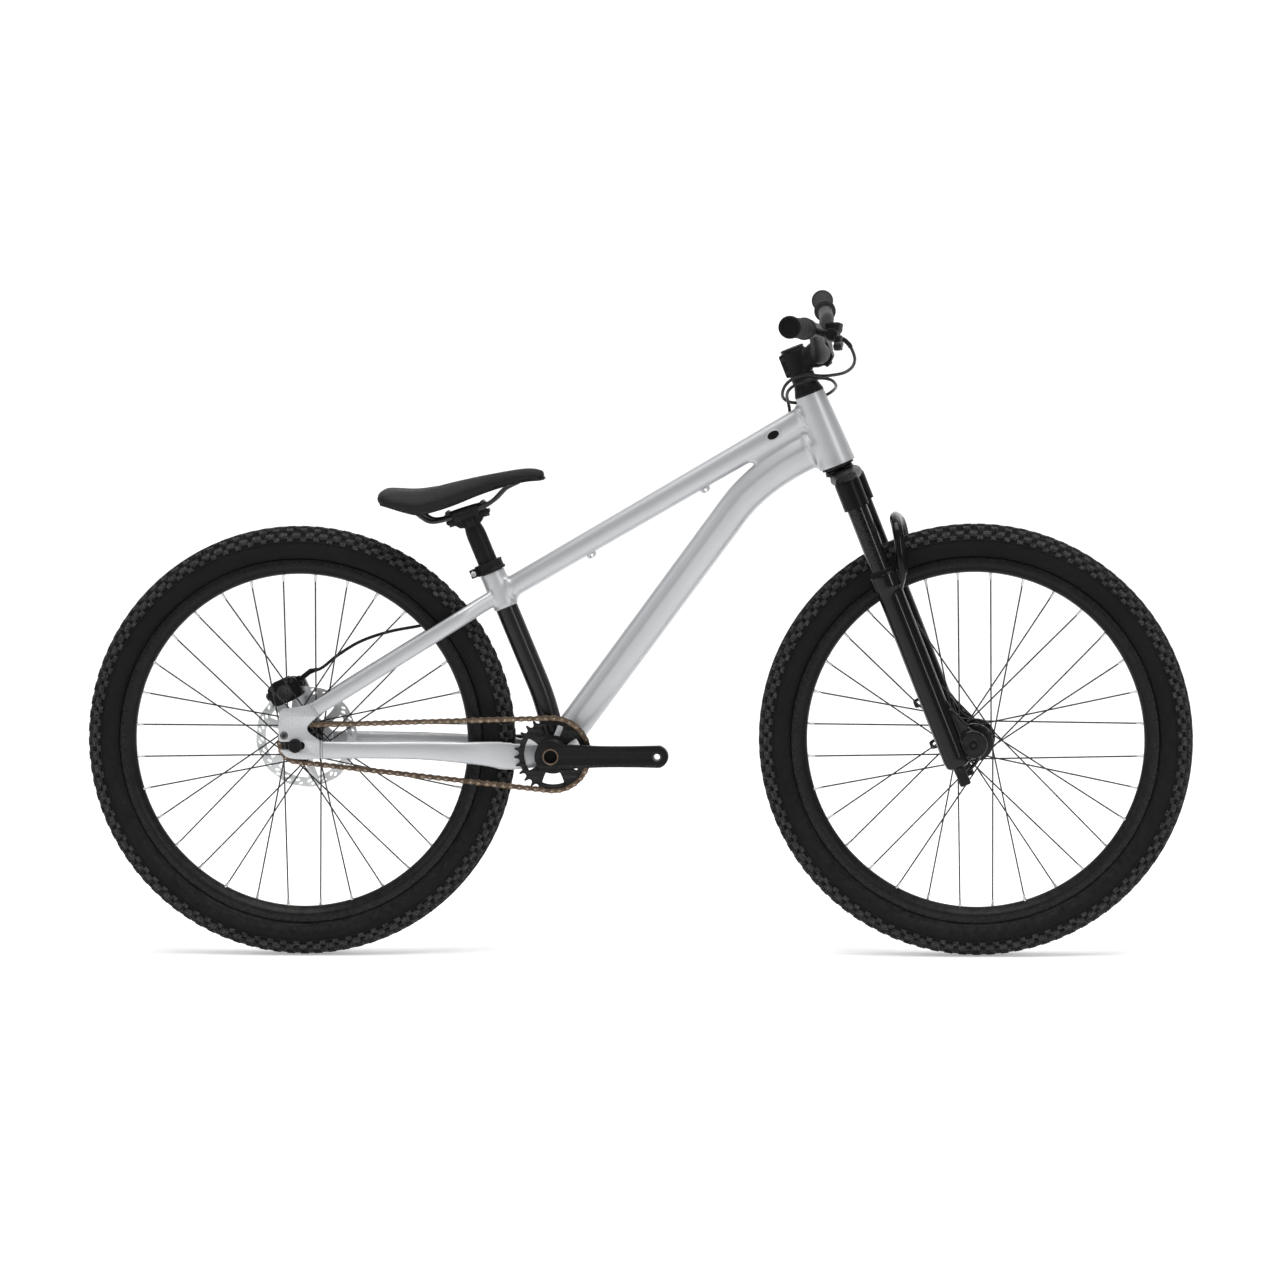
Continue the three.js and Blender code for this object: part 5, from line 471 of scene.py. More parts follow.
def edge_wear_group():
    """Rubbed corners: the outermost edges show a brighter, smoother or rougher ground."""
    tree, given, result, place = group_with("Edge wear", {
        "Colour": GREY, "Bare Colour": GREY, "Amount": 0.5, "Grain Size": 300.0, "Roughness": 0.5,
        "Bare Roughness": 0.4,
    }, ("Colour", "Roughness"))
    edge = ramp(tree, node(tree, "NewGeometry").outputs["Pointiness"], 0.53, 0.62)
    chips = ramp(tree, noise(tree, place, given["Grain Size"], 5.0, 0.65), 0.42, 0.6)
    share = product(tree, product(tree, edge, chips), given["Amount"])
    feed(tree, result["Colour"], blended(tree, share, given["Colour"], given["Bare Colour"]))
    room = sum_of(tree, given["Bare Roughness"], given["Roughness"], "SUBTRACT")
    feed(tree, result["Roughness"], sum_of(tree, given["Roughness"], product(tree, room, share)))
    return tree


def settled_dust_group():
    """A thin film of dust on what faces up, thicker near the ground."""
    tree, given, result, place = group_with("Settled dust", {
        "Colour": GREY, "Dust Colour": (0.35, 0.33, 0.3, 1), "Amount": 0.1, "Roughness": 0.5,
    }, ("Colour", "Roughness"))
    facing = node(tree, "SeparateXYZ", {0: node(tree, "NewGeometry").outputs["Normal"]}).outputs["Z"]
    low = ramp(tree, node(tree, "SeparateXYZ", {0: place}).outputs["Z"], 0.0, 0.55, 1.0, 0.35)
    specks = ramp(tree, noise(tree, place, 90.0, 6.0, 0.7), 0.35, 0.75)
    share = product(tree, product(tree, ramp(tree, facing, -0.3, 1.0), specks), product(tree, low, given["Amount"]))
    feed(tree, result["Colour"], blended(tree, share, given["Colour"], given["Dust Colour"]))
    feed(tree, result["Roughness"], sum_of(tree, given["Roughness"], product(tree, share, 0.5)))
    return tree


def surface_grain_group():
    """The fine relief of a finish: two sizes of noise and, where asked, small cells like leather or a casting."""
    tree, given, result, place = group_with("Surface grain", {
        "Size": 800.0, "Ripple": 0.2, "Ripple Size": 40.0, "Cells": 0.0, "Cell Size": 500.0,
    }, ("Height",))
    fine = noise(tree, place, given["Size"], 4.0, 0.6)
    wide = product(tree, noise(tree, place, given["Ripple Size"], 1.0), given["Ripple"])
    cell = node(tree, "TexVoronoi", {"Vector": place, "Scale": given["Cell Size"]}, feature="DISTANCE_TO_EDGE")
    cells = product(tree, ramp(tree, cell.outputs["Distance"], 0.0, 0.25), given["Cells"])
    feed(tree, result["Height"], sum_of(tree, sum_of(tree, fine, wide), cells))
    return tree


def turned_lines_group():
    """Fine lines round the bike's cross axis, as turned or ground metal has; the centre is given in metres."""
    tree, given, result, place = group_with("Turned lines", {
        "Centre X": 0.0, "Centre Z": 0.0, "Lines": 900.0,
    }, ("Height",))
    parted = node(tree, "SeparateXYZ", {0: place}).outputs
    x, z = (sum_of(tree, parted[axis], given["Centre " + axis], "SUBTRACT") for axis in ("X", "Z"))
    radius = sum_of(tree, sum_of(tree, product(tree, x, x), product(tree, z, z)), 0.5, "POWER")
    row = node(tree, "CombineXYZ", {"X": product(tree, radius, given["Lines"])}).outputs[0]
    feed(tree, result["Height"], noise(tree, row, 4.0, 3.0, 0.7))
    return tree


EFFECTS = {}
FINISHES = {}
EFFECT_MAKERS = {
    "drift": colour_drift_group, "wear": edge_wear_group, "dust": settled_dust_group, "grain": surface_grain_group,
    "turned": turned_lines_group,
}
PLAIN_IOR, DULL_IOR = 1.5, 1.28
RELIEF_DEPTH = 0.0006
WEAR_GRAIN, RIPPLE_SIZE = 350.0, 60.0


def effect(tree, name, inputs):
    """The outputs of a shared effect, placed in a material's tree."""
    if name not in EFFECTS:
        EFFECTS[name] = EFFECT_MAKERS[name]()
    return node(tree, "Group", inputs, node_tree=EFFECTS[name]).outputs


# What a finish is like: the slot it fills, its colour and how much darker its patches are, how large and strong they
# are, roughness and its spread, metal, lacquer and its roughness, grain and ripple, relief, then wear, the ground
# that wear bares, and dust. Some also have their own shine, small cells, or lines turned about a centre
Finish = namedtuple("Finish", "slot tone second size mottle rough spread metal coat coat_rough grain ripple bump wear "
                    "bare dust spec cells turned", defaults=(None, (0, 500), None))
FINISH_VALUES = {
    "silver paint": Finish("frame_silver", "frame_silver", 0.93, 7, 0.25, 0.42, 0.05, 0.55, 0.2, 0.28, 2600, 0.05,
        0.06, 0.25, (0.8, 0.81, 0.82), 0.05),
    "weld silver": Finish("frame_silver", "frame_silver", 0.86, 30, 0.4, 0.44, 0.07, 0.55, 0.15, 0.3, 1500, 0.2, 0.12,
        0.2, (0.8, 0.81, 0.82), 0.05),
    "black paint": Finish("frame_black", "satin_black", 0.8, 9, 0.3, 0.34, 0.06, 0, 0.35, 0.2, 2200, 0.1, 0.07, 0.3,
        (0.2, 0.2, 0.21), 0.06, spec=0.3),
    "gloss black": Finish("fork_black", "fork_black", 0.7, 6, 0.3, 0.2, 0.05, 0, 0.26, 0.06, 1600, 0.25, 0.03, 0.08,
        (0.12, 0.12, 0.125), 0.06, spec=0.3),
    "crown black": Finish("fork_black", "fork_black", 0.7, 6, 0.3, 0.4, 0.06, 0, 0.12, 0.25, 1600, 0.25, 0.04, 0.08,
        (0.12, 0.12, 0.125), 0, spec=0.2),
    "stanchion black": Finish("fork_black", "fork_black", 0.8, 12, 0.2, 0.2, 0.04, 0.4, 0.25, 0.08, 3000, 0.05, 0.03,
        0.1, (0.2, 0.2, 0.2), 0.03, spec=0.3),
    "satin black": Finish("black_alloy", "satin_black", 0.75, 14, 0.35, 0.44, 0.06, 0, 0.06, 0.3, 2400, 0.1, 0.08,
        0.12, (0.26, 0.26, 0.27), 0.07, spec=0.2),
    "ring black": Finish("black_alloy", "satin_black", 0.9, 20, 0.4, 0.4, 0.06, 0.1, 0.1, 0.3, 2400, 0.1, 0.06, 0.12,
        (0.2, 0.2, 0.2), 0.04, spec=0.35, turned=(-0.127163, 0.319, 700)),
    "rim black": Finish("black_alloy", "satin_black", 0.85, 11, 0.3, 0.38, 0.07, 0.25, 0.1, 0.3, 2600, 0.1, 0.05, 0.35,
        (0.2, 0.2, 0.21), 0.1, spec=0.22),
    "hub black": Finish("black_alloy", "satin_black", 0.8, 25, 0.3, 0.32, 0.07, 0.4, 0.2, 0.2, 2600, 0.1, 0.05, 0.4,
        (0.25, 0.25, 0.26), 0.07, spec=0.35),
    "dark steel": Finish("dark_steel", "dark_steel", 0.7, 30, 0.4, 0.38, 0.08, 0.7, 0, 0.1, 1800, 0.2, 0.08, 0.2, (0.4,
        0.4, 0.4), 0.06),
    "spoke black": Finish("black_alloy", "satin_black", 0.8, 40, 0.3, 0.45, 0.06, 0, 0.1, 0.2, 2600, 0.1, 0.03, 0.2,
        (0.3, 0.3, 0.3), 0.05, spec=0.3),
    "bright steel": Finish("rotor_steel", "bright_steel", 0.85, 30, 0.3, 0.26, 0.08, 1, 0, 0.1, 2000, 0.15, 0.06, 0.2,
        (0.8, 0.8, 0.8), 0.04),
    "bronze ring": Finish("rotor_steel", "chain_bronze", 1.3, 30, 0.3, 0.3, 0.08, 1, 0, 0.1, 2000, 0.15, 0.06, 0.3,
        (0.7, 0.62, 0.5), 0.04),
    "rotor steel": Finish("rotor_steel", "bright_steel", 0.9, 18, 0.25, 0.3, 0.07, 1, 0, 0.1, 2000, 0.1, 0.1, 0.2,
        (0.8, 0.8, 0.8), 0.03, turned=(-0.5255, 0.336, 1400)),
    "chain bronze": Finish("chain_bronze", "chain_bronze", 0.6, 60, 0.6, 0.36, 0.12, 0.95, 0, 0.1, 1600, 0.2, 0.12,
        0.8, (0.62, 0.5, 0.36), 0.08),
    "rivet steel": Finish("chain_bronze", "rivet_steel", 0.8, 80, 0.5, 0.3, 0.1, 0.95, 0, 0.1, 1600, 0.2, 0.08, 0.4,
        (0.7, 0.62, 0.5), 0.05),
    "pad compound": Finish("pad_compound", "pad_compound", 0.7, 120, 0.8, 0.8, 0.1, 0.2, 0, 0.1, 900, 0.2, 0.4, 0.1,
        (0.3, 0.25, 0.2), 0.1, spec=0.3),
    "tyre rubber": Finish("tyre_rubber", "tyre_rubber", 0.75, 10, 0.4, 0.62, 0.08, 0, 0, 0.1, 1500, 0.3, 0.14, 0.15,
        (0.08, 0.08, 0.085), 0.1, spec=0.16),
    "tread rubber": Finish("tyre_rubber", "tread_rubber", 0.7, 16, 0.5, 0.74, 0.08, 0, 0, 0.1, 1300, 0.3, 0.22, 0.5,
        (0.1, 0.1, 0.105), 0.16, spec=0.2),
    "grip rubber": Finish("grip_rubber", "grip_grey", 0.75, 22, 0.5, 0.7, 0.06, 0, 0, 0.1, 1300, 0.3, 0.25, 0.3, (0.14,
        0.14, 0.15), 0.08, spec=0.25),
    # Besides real rubber, this finish paints the shade in the crank bores and in the seat collar's slit
    "cap rubber": Finish("seal_rubber", "seal_black", 0.75, 30, 0.4, 0.62, 0.08, 0, 0, 0.1, 1500, 0.3, 0.15, 0.2,
        (0.08, 0.08, 0.085), 0.06, spec=0.2),
    "hose plastic": Finish("hose_plastic", "seal_black", 0.7, 30, 0.3, 0.3, 0.06, 0, 0.25, 0.15, 1800, 0.2, 0.05, 0.1,
        (0.07, 0.07, 0.07), 0.05, spec=0.4),
    "shell plastic": Finish("shell_plastic", "seal_black", 1.2, 30, 0.3, 0.5, 0.07, 0, 0, 0.2, 900, 0.3, 0.15, 0.3,
        (0.1, 0.1, 0.1), 0.08, spec=0.3),
    "saddle skin": Finish("saddle_skin", "saddle_grey", 0.75, 12, 0.4, 0.55, 0.07, 0, 0, 0.2, 1500, 0.1, 0.3, 0.25,
        (0.11, 0.11, 0.12), 0.07, spec=0.3, cells=(0.9, 900)),
    "seam thread": Finish("saddle_skin", "saddle_grey", 0.9, 60, 0.5, 0.8, 0.05, 0, 0, 0.2, 3000, 0.1, 0.3, 0.1, (0.12,
        0.12, 0.13), 0.05, spec=0.2),
}


def finish_of(name):
    """The material of a finish: drift, then wear, then dust, with grain in its relief."""
    if name in FINISHES:
        return FINISHES[name]
    values = FINISH_VALUES[name]
    material, tree = blank_material(name)
    base = tuple(getattr(bpy.context.scene.bike_colours, values.tone))
    second = tuple(min(c * values.second, 1.0) for c in base)
    shader = node(tree, "BsdfPrincipled", {
        "Metallic": values.metal, "Coat Weight": values.coat, "Coat Roughness": values.coat_rough,
        "IOR": PLAIN_IOR if values.spec is None else DULL_IOR,
        "Specular IOR Level": 0.5 if values.spec is None else values.spec,
    })
    drift = effect(tree, "drift", {
        "Colour": (*base, 1), "Second Colour": (*second, 1), "Size": values.size, "Mottle": values.mottle,
        "Roughness": values.rough, "Roughness Spread": values.spread,
    })
    wear = effect(tree, "wear", {
        "Colour": drift["Colour"], "Roughness": drift["Roughness"], "Bare Colour": (*values.bare, 1),
        "Amount": values.wear, "Grain Size": WEAR_GRAIN, "Bare Roughness": max(values.rough - 0.08, 0.1),
    })
    dust = effect(tree, "dust", {"Colour": wear["Colour"], "Roughness": wear["Roughness"], "Amount": values.dust})
    height = effect(tree, "grain", {
        "Size": values.grain, "Ripple": values.ripple, "Ripple Size": RIPPLE_SIZE, "Cells": values.cells[0],
        "Cell Size": values.cells[1],
    })["Height"]
    if values.turned:
        lines = effect(tree, "turned", dict(zip(("Centre X", "Centre Z", "Lines"), values.turned)))
        height = sum_of(tree, height, lines["Height"])
    bump = node(tree, "Bump", {"Strength": values.bump, "Distance": RELIEF_DEPTH, "Height": height})
    for socket, value in (("Base Color", dust["Colour"]), ("Roughness", dust["Roughness"]),
                          ("Normal", bump.outputs["Normal"])):
        tree.links.new(value, shader.inputs[socket])
    node(tree, "OutputMaterial", {"Surface": shader.outputs[0]})
    FINISHES[name] = material
    return material


# Frame tubes. Sections are shares of half the width and half the depth

BOXY_SECTION = softened([(1, 0.42), (0.6, 0.98), (-0.6, 0.98), (-1, 0.42), (-1, -0.46), (-0.55, -1), (0.55, -1),
                         (1, -0.46)], 3)
CREASED_SECTION = softened([(1, 0.25), (0.6, 0.9), (0, 1), (-0.6, 0.9), (-1, 0.25), (-0.9, -0.45), (-0.5, -0.93),
                            (0.5, -0.93), (0.9, -0.45)], 3, keep=[(1, 0.25), (-1, 0.25)])
STAY_SECTION = softened([(1, 0.5), (0.5, 1), (-0.5, 1), (-1, 0.5), (-1, -0.5), (-0.5, -1), (0.5, -1), (1, -0.5)])
ROUND_SECTION = circle(1, 40)
SQUIRCLE = softened([(-1, -1), (1, -1), (1, 1), (-1, 1)], 3)
SEAT_JOINT, HEAD_JOINT = vec(-210.156, 0, 565.749), vec(282.877, 0, 848.063)
DOWN_BEND, DOWN_CORNER, DOWN_TOP = vec(153.83, 0, 693.25), vec(201.87, 0, 757.22), vec(301.871, 0, 798.583)
SEATSTAY_FOOT = vec(-496.5, 0, 391)
STAY_OUT = 71.3
CHAINSTAY_START, CHAINSTAY_RUN, CHAINSTAY_UP = -525.5, 398.337, 329
SEAT_BEND_UP = -180.33


def section(at, tangent, width, depth, shares):
    """One ring of a tube, standing square to its run."""
    tangent = unit(tangent)
    side = vec(-tangent[1], tangent[0], 0)
    if np.linalg.norm(side) < 0.5:
        side = CROSSWISE - tangent * tangent[1]
    side = unit(side) * (1 if side[1] >= 0 else -1)
    upward = unit(np.cross(tangent, side))
    upward = upward * (1 if upward[2] >= 0 else -1)
    return [at + a * width / 2 * side + u * depth / 2 * upward for a, u in shares]


def tube(points, widths, depths, shares, per_span=1):
    """A tube through points, with a width and a depth at each."""
    rows = [vec(*p, w, d) for p, w, d in zip(points, widths, depths)]
    if per_span > 1:
        rows = smooth_path(rows, per_span)
    rings = []
    for i, row in enumerate(rows):
        before, after = rows[max(i - 1, 0)][:3], rows[min(i + 1, len(rows) - 1)][:3]
        rings.append(section(row[:3], after - before, row[3], row[4], shares))
    return loft(rings)


def chainstay_shape(side):
    ahead = [0.1, 0.2, 0.31, 0.49, 0.66, 0.755, 0.81, 0.88, 0.945, 0.99]
    out = [1, 0.985, 0.95, 0.83, 0.71, 0.58, 0.52, 0.5, 0.42, 0.36]
    low = [0, 0, -0.01, -0.06, -0.2, -0.3, -0.4, -0.44, -0.4, -0.36]
    points = [(CHAINSTAY_START + CHAINSTAY_RUN * a, side * STAY_OUT * o, CHAINSTAY_UP + 34 * w)
              for a, o, w in zip(ahead, out, low)]
    return tube(points, [9.1, 13.5, 15, 15, 14, 9, 8.2, 8, 8, 8], [28, 27.5, 27.5, 30, 35, 41, 45, 40, 39, 36],
                STAY_SECTION, 4)


def seatstay_shape(side):
    shares = ((0, 1), (0.12, 0.94), (0.36, 0.82), (0.66, 0.66), (0.8, 0.56), (0.88, 0.37), (0.965, 0.16), (1.0, 0.08))
    points = [SEATSTAY_FOOT + (SEAT_JOINT - SEATSTAY_FOOT) * a + side * STAY_OUT * o * CROSSWISE for a, o in shares]
    return tube(points, [9.1, 13.5, *[15] * 6], [23, 24.5, *[25] * 6], STAY_SECTION, 4)


def axis_rod(base, low, high, radius):
    """A round bar along a place's way up."""
    return rod(spot(base, 0, 0, low), spot(base, 0, 0, high), radius, 64)


def cross_rod(centre, low, high, radius, turns=64):
    """A round bar across the bike."""
    return rod(centre + low * CROSSWISE, centre + high * CROSSWISE, radius, turns)


def cross_lathe(profile, centre, turns=64, hollow=False):
    """Turns a profile of (radius, across) about a line across the bike."""
    return revolve(profile, centre, CROSSWISE, turns, hollow)


def steer_lathe(profile, ahead=0, across=0, turns=64, hollow=False):
    """Turns a profile of (radius, up) about a line along the steering axis."""
    return revolve(profile, spot(STEER, ahead, across, 0), STEER[2], turns, hollow)


def leg_lathe(profile, side, turns, hollow=False):
    """Turns a profile of (radius, up) about one leg of the fork."""
    return steer_lathe(profile, LEG_AHEAD, side * LEG_OUT, turns, hollow)


def seat_lathe(profile, turns=64, hollow=False):
    """Turns a profile of (radius, up) about the seat tube's line."""
    return revolve(profile, SEAT[0], SEAT[2], turns, hollow)


def ring_weld(at, run, width, depth, shares, along):
    """A low weld bead round a tube, a little way along its run from a joint."""
    run = unit(run)
    return sweep(section(at + run * along, run, width, depth, shares), 1.5, 10, closed=True)


def weld_bead(ring, radius, ripples):
    """A fine rippled bead along a closed ring of points."""
    path = smooth_path(ring, 3, closed=True)
    sizes = [radius * (1 + 0.16 * sin(tau * ripples * i / len(path))) for i in range(len(path))]
    return sweep(path, sizes, 8, closed=True)


def frame_skin():
    """The silver tubes that are welded into one skin, and the bores for the fork, seatpost and bottom bracket."""
    bend = bezier(DOWN_BEND, DOWN_CORNER, DOWN_TOP, 14)
    down = [BOTTOM_BRACKET, (BOTTOM_BRACKET + DOWN_BEND) / 2, *bend]
    shapes = [
        tube([SEAT_JOINT, HEAD_JOINT], [36, 36], [33.5, 38], BOXY_SECTION),
        tube(down, [46] * len(down), [51.7, 52.6, *np.linspace(53.6, 60, len(bend))], CREASED_SECTION),
        steer_lathe([(0, 471), (29.2, 471), (29.2, 475), (27.9, 505), (23.4, 588), (23.3, 596), (0, 596)]),
        steer_lathe([(0, 472), (29.2, 472), (29.2, 480), (28.9, 484), (0, 484)]),
        axis_rod(SEAT, -57, 4, 19.8),
        seat_lathe([(0, -60), (19.8, -57), (20.2, -54), (19.8, -51), (0, -51)]),
        cross_rod(BOTTOM_BRACKET, -38.5, 38.5, 21.5),
        box(UPRIGHT, (-182, -33, 304), (-144, 33, 334)),
        plate([(176, 768), (205, 790), (262, 824), (276, 800), (240, 782), (205, 766)], -13, 13),
        *(stay(side) for stay in (chainstay_shape, seatstay_shape) for side, _ in SIDES),
        ring_weld(HEAD_JOINT, HEAD_JOINT - SEAT_JOINT, 41, 42.5, BOXY_SECTION, -25),
        ring_weld(DOWN_TOP, DOWN_TOP - DOWN_CORNER, 49, 63, CREASED_SECTION, -31),
        ring_weld(SEAT_JOINT, HEAD_JOINT - SEAT_JOINT, 39, 37, BOXY_SECTION, 20.5),
    ]
    cutters = [
        axis_rod(SEAT, -175, 12, 17.55), axis_rod(STEER, 460, 610, 19.6), cross_rod(BOTTOM_BRACKET, -50, 50, 17.6),
        steer_lathe(disc(40, 592, 600)), steer_lathe(disc(40, 466, 475)), seat_lathe(disc(30, 0, 12)),
        cross_lathe(disc(30, -45, -36.5), BOTTOM_BRACKET), cross_lathe(disc(30, 45, 36.5), BOTTOM_BRACKET),
    ]
    return shapes, cutters


def dropout_outline():
    """The dropout about the rear axle: two stay ends, a notch between them, a foot and the open slot."""
    corners = [(23, 64.8), (35, 45.2), (38.2, 7), (38.2, -21)]
    slot = [(-26, -6.35), *arc(6.35, -90, 90, 16, 8.65, 0), (-26, 6.35)]
    outer = [*corners[:2], (22, 34), (17.5, 27), (21, 19), *corners[2:], (20, -21.5), (-2.6, -21), (-16.1, -17.6),
             (-23.4, -6.9)]
    rear = [(-26, 38.3), (-23.9, 55.1), (-14.3, 58), (4, 59.5)]
    return softened([*outer, *slot, *rear], 2, keep=[*corners, *slot])


class BIKE_OT_frame(bpy.types.Operator):
    """Welds the silver tubes and stays into one frame, with its dropouts, black seat tube and small fittings"""
    bl_idname = "bike.frame"
    bl_label = "Frame"

    def execute(self, context):
        sizes = context.scene.bike_sizes
        stays = [f"{stay}_{label}" for stay in ("chainstay", "seatstay") for _, label in SIDES]
        fused("frame_tubes", *frame_skin(), sizes.weld_voxel, sizes.weld_rounds, "silver paint", "frame",
              ("head_tube", "top_tube", "down_tube", "seat_lug", "bottom_bracket_shell", "chainstay_yoke", *stays),
              crease=42)
        self.dropouts()
        self.seat_tube()
        self.fittings()
        return {"FINISHED"}

    def dropouts(self):
        right = plate(dropout_outline(), -74.6, -68, base=AT_REAR_AXLE)
        piece("dropout_right_plate", [right], "silver paint", "frame", "dropout_right", bevel=1.1, segments=3)
        finish_node("dropout_left", "silver paint")
        beads, tensioners, heads = [], [], []
        run = unit(SEAT_JOINT - SEATSTAY_FOOT)
        end = [(0, 75.2), (11, 75.2), (11, 79.6), (10.2, 81), (7.2, 81), (6.8, 80.2), (0, 80.2)]
        for side, _ in SIDES:
            out = side * CROSSWISE
            upper = section(SEATSTAY_FOOT + STAY_OUT * out + run * 1.5, run, 9.8, 23.6, STAY_SECTION)
            lower = section(vec(-485, side * STAY_OUT, CHAINSTAY_UP), (1, 0, 0), 9.8, 28.4, STAY_SECTION)
            beads += [weld_bead(upper, 1.05, 44), weld_bead(lower, 1.05, 50)]
            bolt = REAR_AXLE + vec(-17.5, side * 74.7, 16)
            rim = [bolt + vec(x, 0, z) for x, z in circle(5.6, 24)]
            tensioners += [sweep(rim, 0.7, 8, closed=True), bolt_head(bolt, out, 4.2, 1.6, 0.55)]
            heads.append(cross_lathe([(r, side * y) for r, y in end], REAR_AXLE))
            heads.append(bolt_head(REAR_AXLE + 79.6 * out, out, 6.4, 1.2, 0.62, 48))
        piece("dropout_welds", beads, "weld silver", "frame", crease=60)
        piece("tensioner_bolts", tensioners, "dark steel", "frame")
        piece("rear_axle_bolts", [*heads, cross_rod(REAR_AXLE, -75.2, 75.2, 6, 32)], "satin black", "frame",
              "rear_axle")

    def seat_tube(self):
        straight = [spot(SEAT, 0, 0, up) for up in (9.5, -60, -120, SEAT_BEND_UP)]
        bend = bezier(straight[-1], (-134.736, 0, 379.08), BOTTOM_BRACKET, 16)[1:14]
        outer = sweep([*straight, *bend], 17.4, shares=ROUND_SECTION)
        piece("seat_tube_black", [outer], "black paint", "frame", "seat_tube")
        seam = seat_lathe([(17.4, -58.4), (19.3, -57.2), (19.9, -55), (17.4, -54)], hollow=True)
        piece("lug_foot_weld", [seam], "weld silver", "frame")
        collar = [(15.7, 1.2), (22.2, 1.2), (23.2, 2), (23.3, 5), (21.8, 6.2), (21.6, 14.5), (22.6, 16), (22.4, 17.6),
                  (15.7, 18)]
        lug = box(SEAT, (-31.5, -11, 2.4), (-19, 11, 15.6))
        piece("seat_collar", [seat_lathe(collar, 80, hollow=True), lug], "satin black", "frame", "seat_clamp",
              bevel=0.9)
        # A thin dark block on the lug stands for the shade in the collar's slit: painted shade, not a real part
        piece("seat_collar_slit", [box(SEAT, (-32.2, -1.1, 2.2), (-22, 1.1, 15.8))], "cap rubber", "frame")
        heads = [bolt_head(spot(SEAT, -26, side * 11, 9), side * CROSSWISE, 4.6, 4.2, 0.55) for side, _ in SIDES]
        piece("seat_collar_bolt", heads, "bright steel", "frame")

    def fittings(self):
        run, length = unit(HEAD_JOINT - SEAT_JOINT), np.linalg.norm(HEAD_JOINT - SEAT_JOINT)
        down = vec(run[2], 0, -run[0])
        ring = [(-8.2, 1), (-6.2, -5.6), (-3.8, -6.8), (3.8, -6.8), (6.2, -5.6), (8.2, 1)]
        guides = []
        for share in (0.27, 0.63):
            base = place(SEAT_JOINT + run * length * share + down * (16.75 + 2.25 * share - 0.6), run)
            guides.append(plate(ring, -5.2, 5.2, holes=[circle(2.5, 20, z=-3.4)], base=base))
        piece("cable_guides", guides, "silver paint", "frame", bevel=0.8)
        base = place(SEAT_JOINT + run * length * 0.868 - down * 0.5, run)
        oval = [(10 * cos(a), 6.5 * sin(a)) for a in np.linspace(0, tau, 48, endpoint=False)]
        lip = [spot(base, x * 1.1, -18.5, z * 1.12) for x, z in oval]
        piece("port_lip", [sweep(lip, 1.5, 10, closed=True)], "silver paint", "frame")
        rings = [[spot(base, x * s, -y, z * s) for x, z in oval] for s, y in ((1, 17), (0.98, 18.6), (0.8, 19.2))]
        piece("port_plug_face", [loft(rings)], "cap rubber", "frame", "port_plug", crease=60)


def finish_node(node_name, finish):
    """Gives a carried-over solid its finish."""
    materials = frame["nodes"][node_name].data.materials
    materials.clear()
    materials.append(finish_of(finish))


# Headset and fork

def lowers_shapes():
    """The legs, arch, axle lugs and brake tabs of the fork's lower part, to be cast as one, and their bores."""
    leg = [(0, -25), (14, -25), (18.4, -21), (20, -12), (20, 262), (20.6, 268), (23, 273), (23, 294), (22, 297),
           (0, 297)]
    lug = [(24, 80), (29, 68), (36, 40), (52, 19.5), *arc(21.5, 65, -110, 18, AXLE_AHEAD, 0), (31, -20), (19, -23),
           (6, -22), (-2, -14), (-6, 40), (2, 74)]
    arch = [(24, 62, 268), (35, 63, 284), (47, 62.4, 321), (53, 50.4, 352), (53, 26.5, 363.5)]
    arch = [*arch, (53, 0, 366), *((a, -y, u) for a, y, u in reversed(arch))]
    path = smooth_path([spot(STEER, *place) for place in arch], 6)
    rib = [p + STEER[1] * 6.5 for p in path[6:-6]]
    shapes = [sweep(line, size, shares=STAY_SECTION, across=STEER[2])
              for line, size in ((path, (7.2, 9.2)), (rib, (3.2, 3.6)))]
    cutters = []
    axle = spot(STEER, AXLE_AHEAD, 0, 0)
    for side, _ in SIDES:
        shapes.append(leg_lathe(leg, side, 72))
        shapes.append(plate(lug, side * 54, side * 69, base=STEER))
        shapes.append(plate(circle(21.3, 48, AXLE_AHEAD), side * 50.6, side * 72, base=STEER))
        for out, size, turns, span, line in ((66.5, 3.4, 12, 8, ((22, 96), (31, 60), (44, 30))),
                                             (65, 3, 10, 6, ((24, -34), (38, -26), (50, -14)))):
            web = smooth_path([spot(STEER, a, side * out, u) for a, u in line], span)
            shapes.append(sweep(web, size, turns))
        at = (LEG_AHEAD, side * LEG_OUT)
        cutters.append(rod(spot(STEER, *at, -6), spot(STEER, *at, 305), 16.5, 64))
        cutters.append(leg_lathe(disc(27, 296, 304), side, 48))
        ring = [(15.2, 3), (15.2, -1.2), (17.4, -1.2), (17.4, 3)]
        cutters.append(cross_lathe([(r, side * 71.6 + side * y) for r, y in ring], axle, hollow=True))
    cutters.append(cross_rod(axle, -90, 90, 8.1, 48))
    for up in (80, 11):
        tab = [(-31, up - 5.5), (-29, up - 6.5), (-2, up - 11), (-2, up + 11), (-29, up + 6.5), (-31, up + 5.5)]
        shapes.append(plate(tab, 58.2, 67.8, base=STEER))
        cutters.append(cross_rod(spot(STEER, -23, 0, up), 50, 75, 3, 24))
    return shapes, cutters


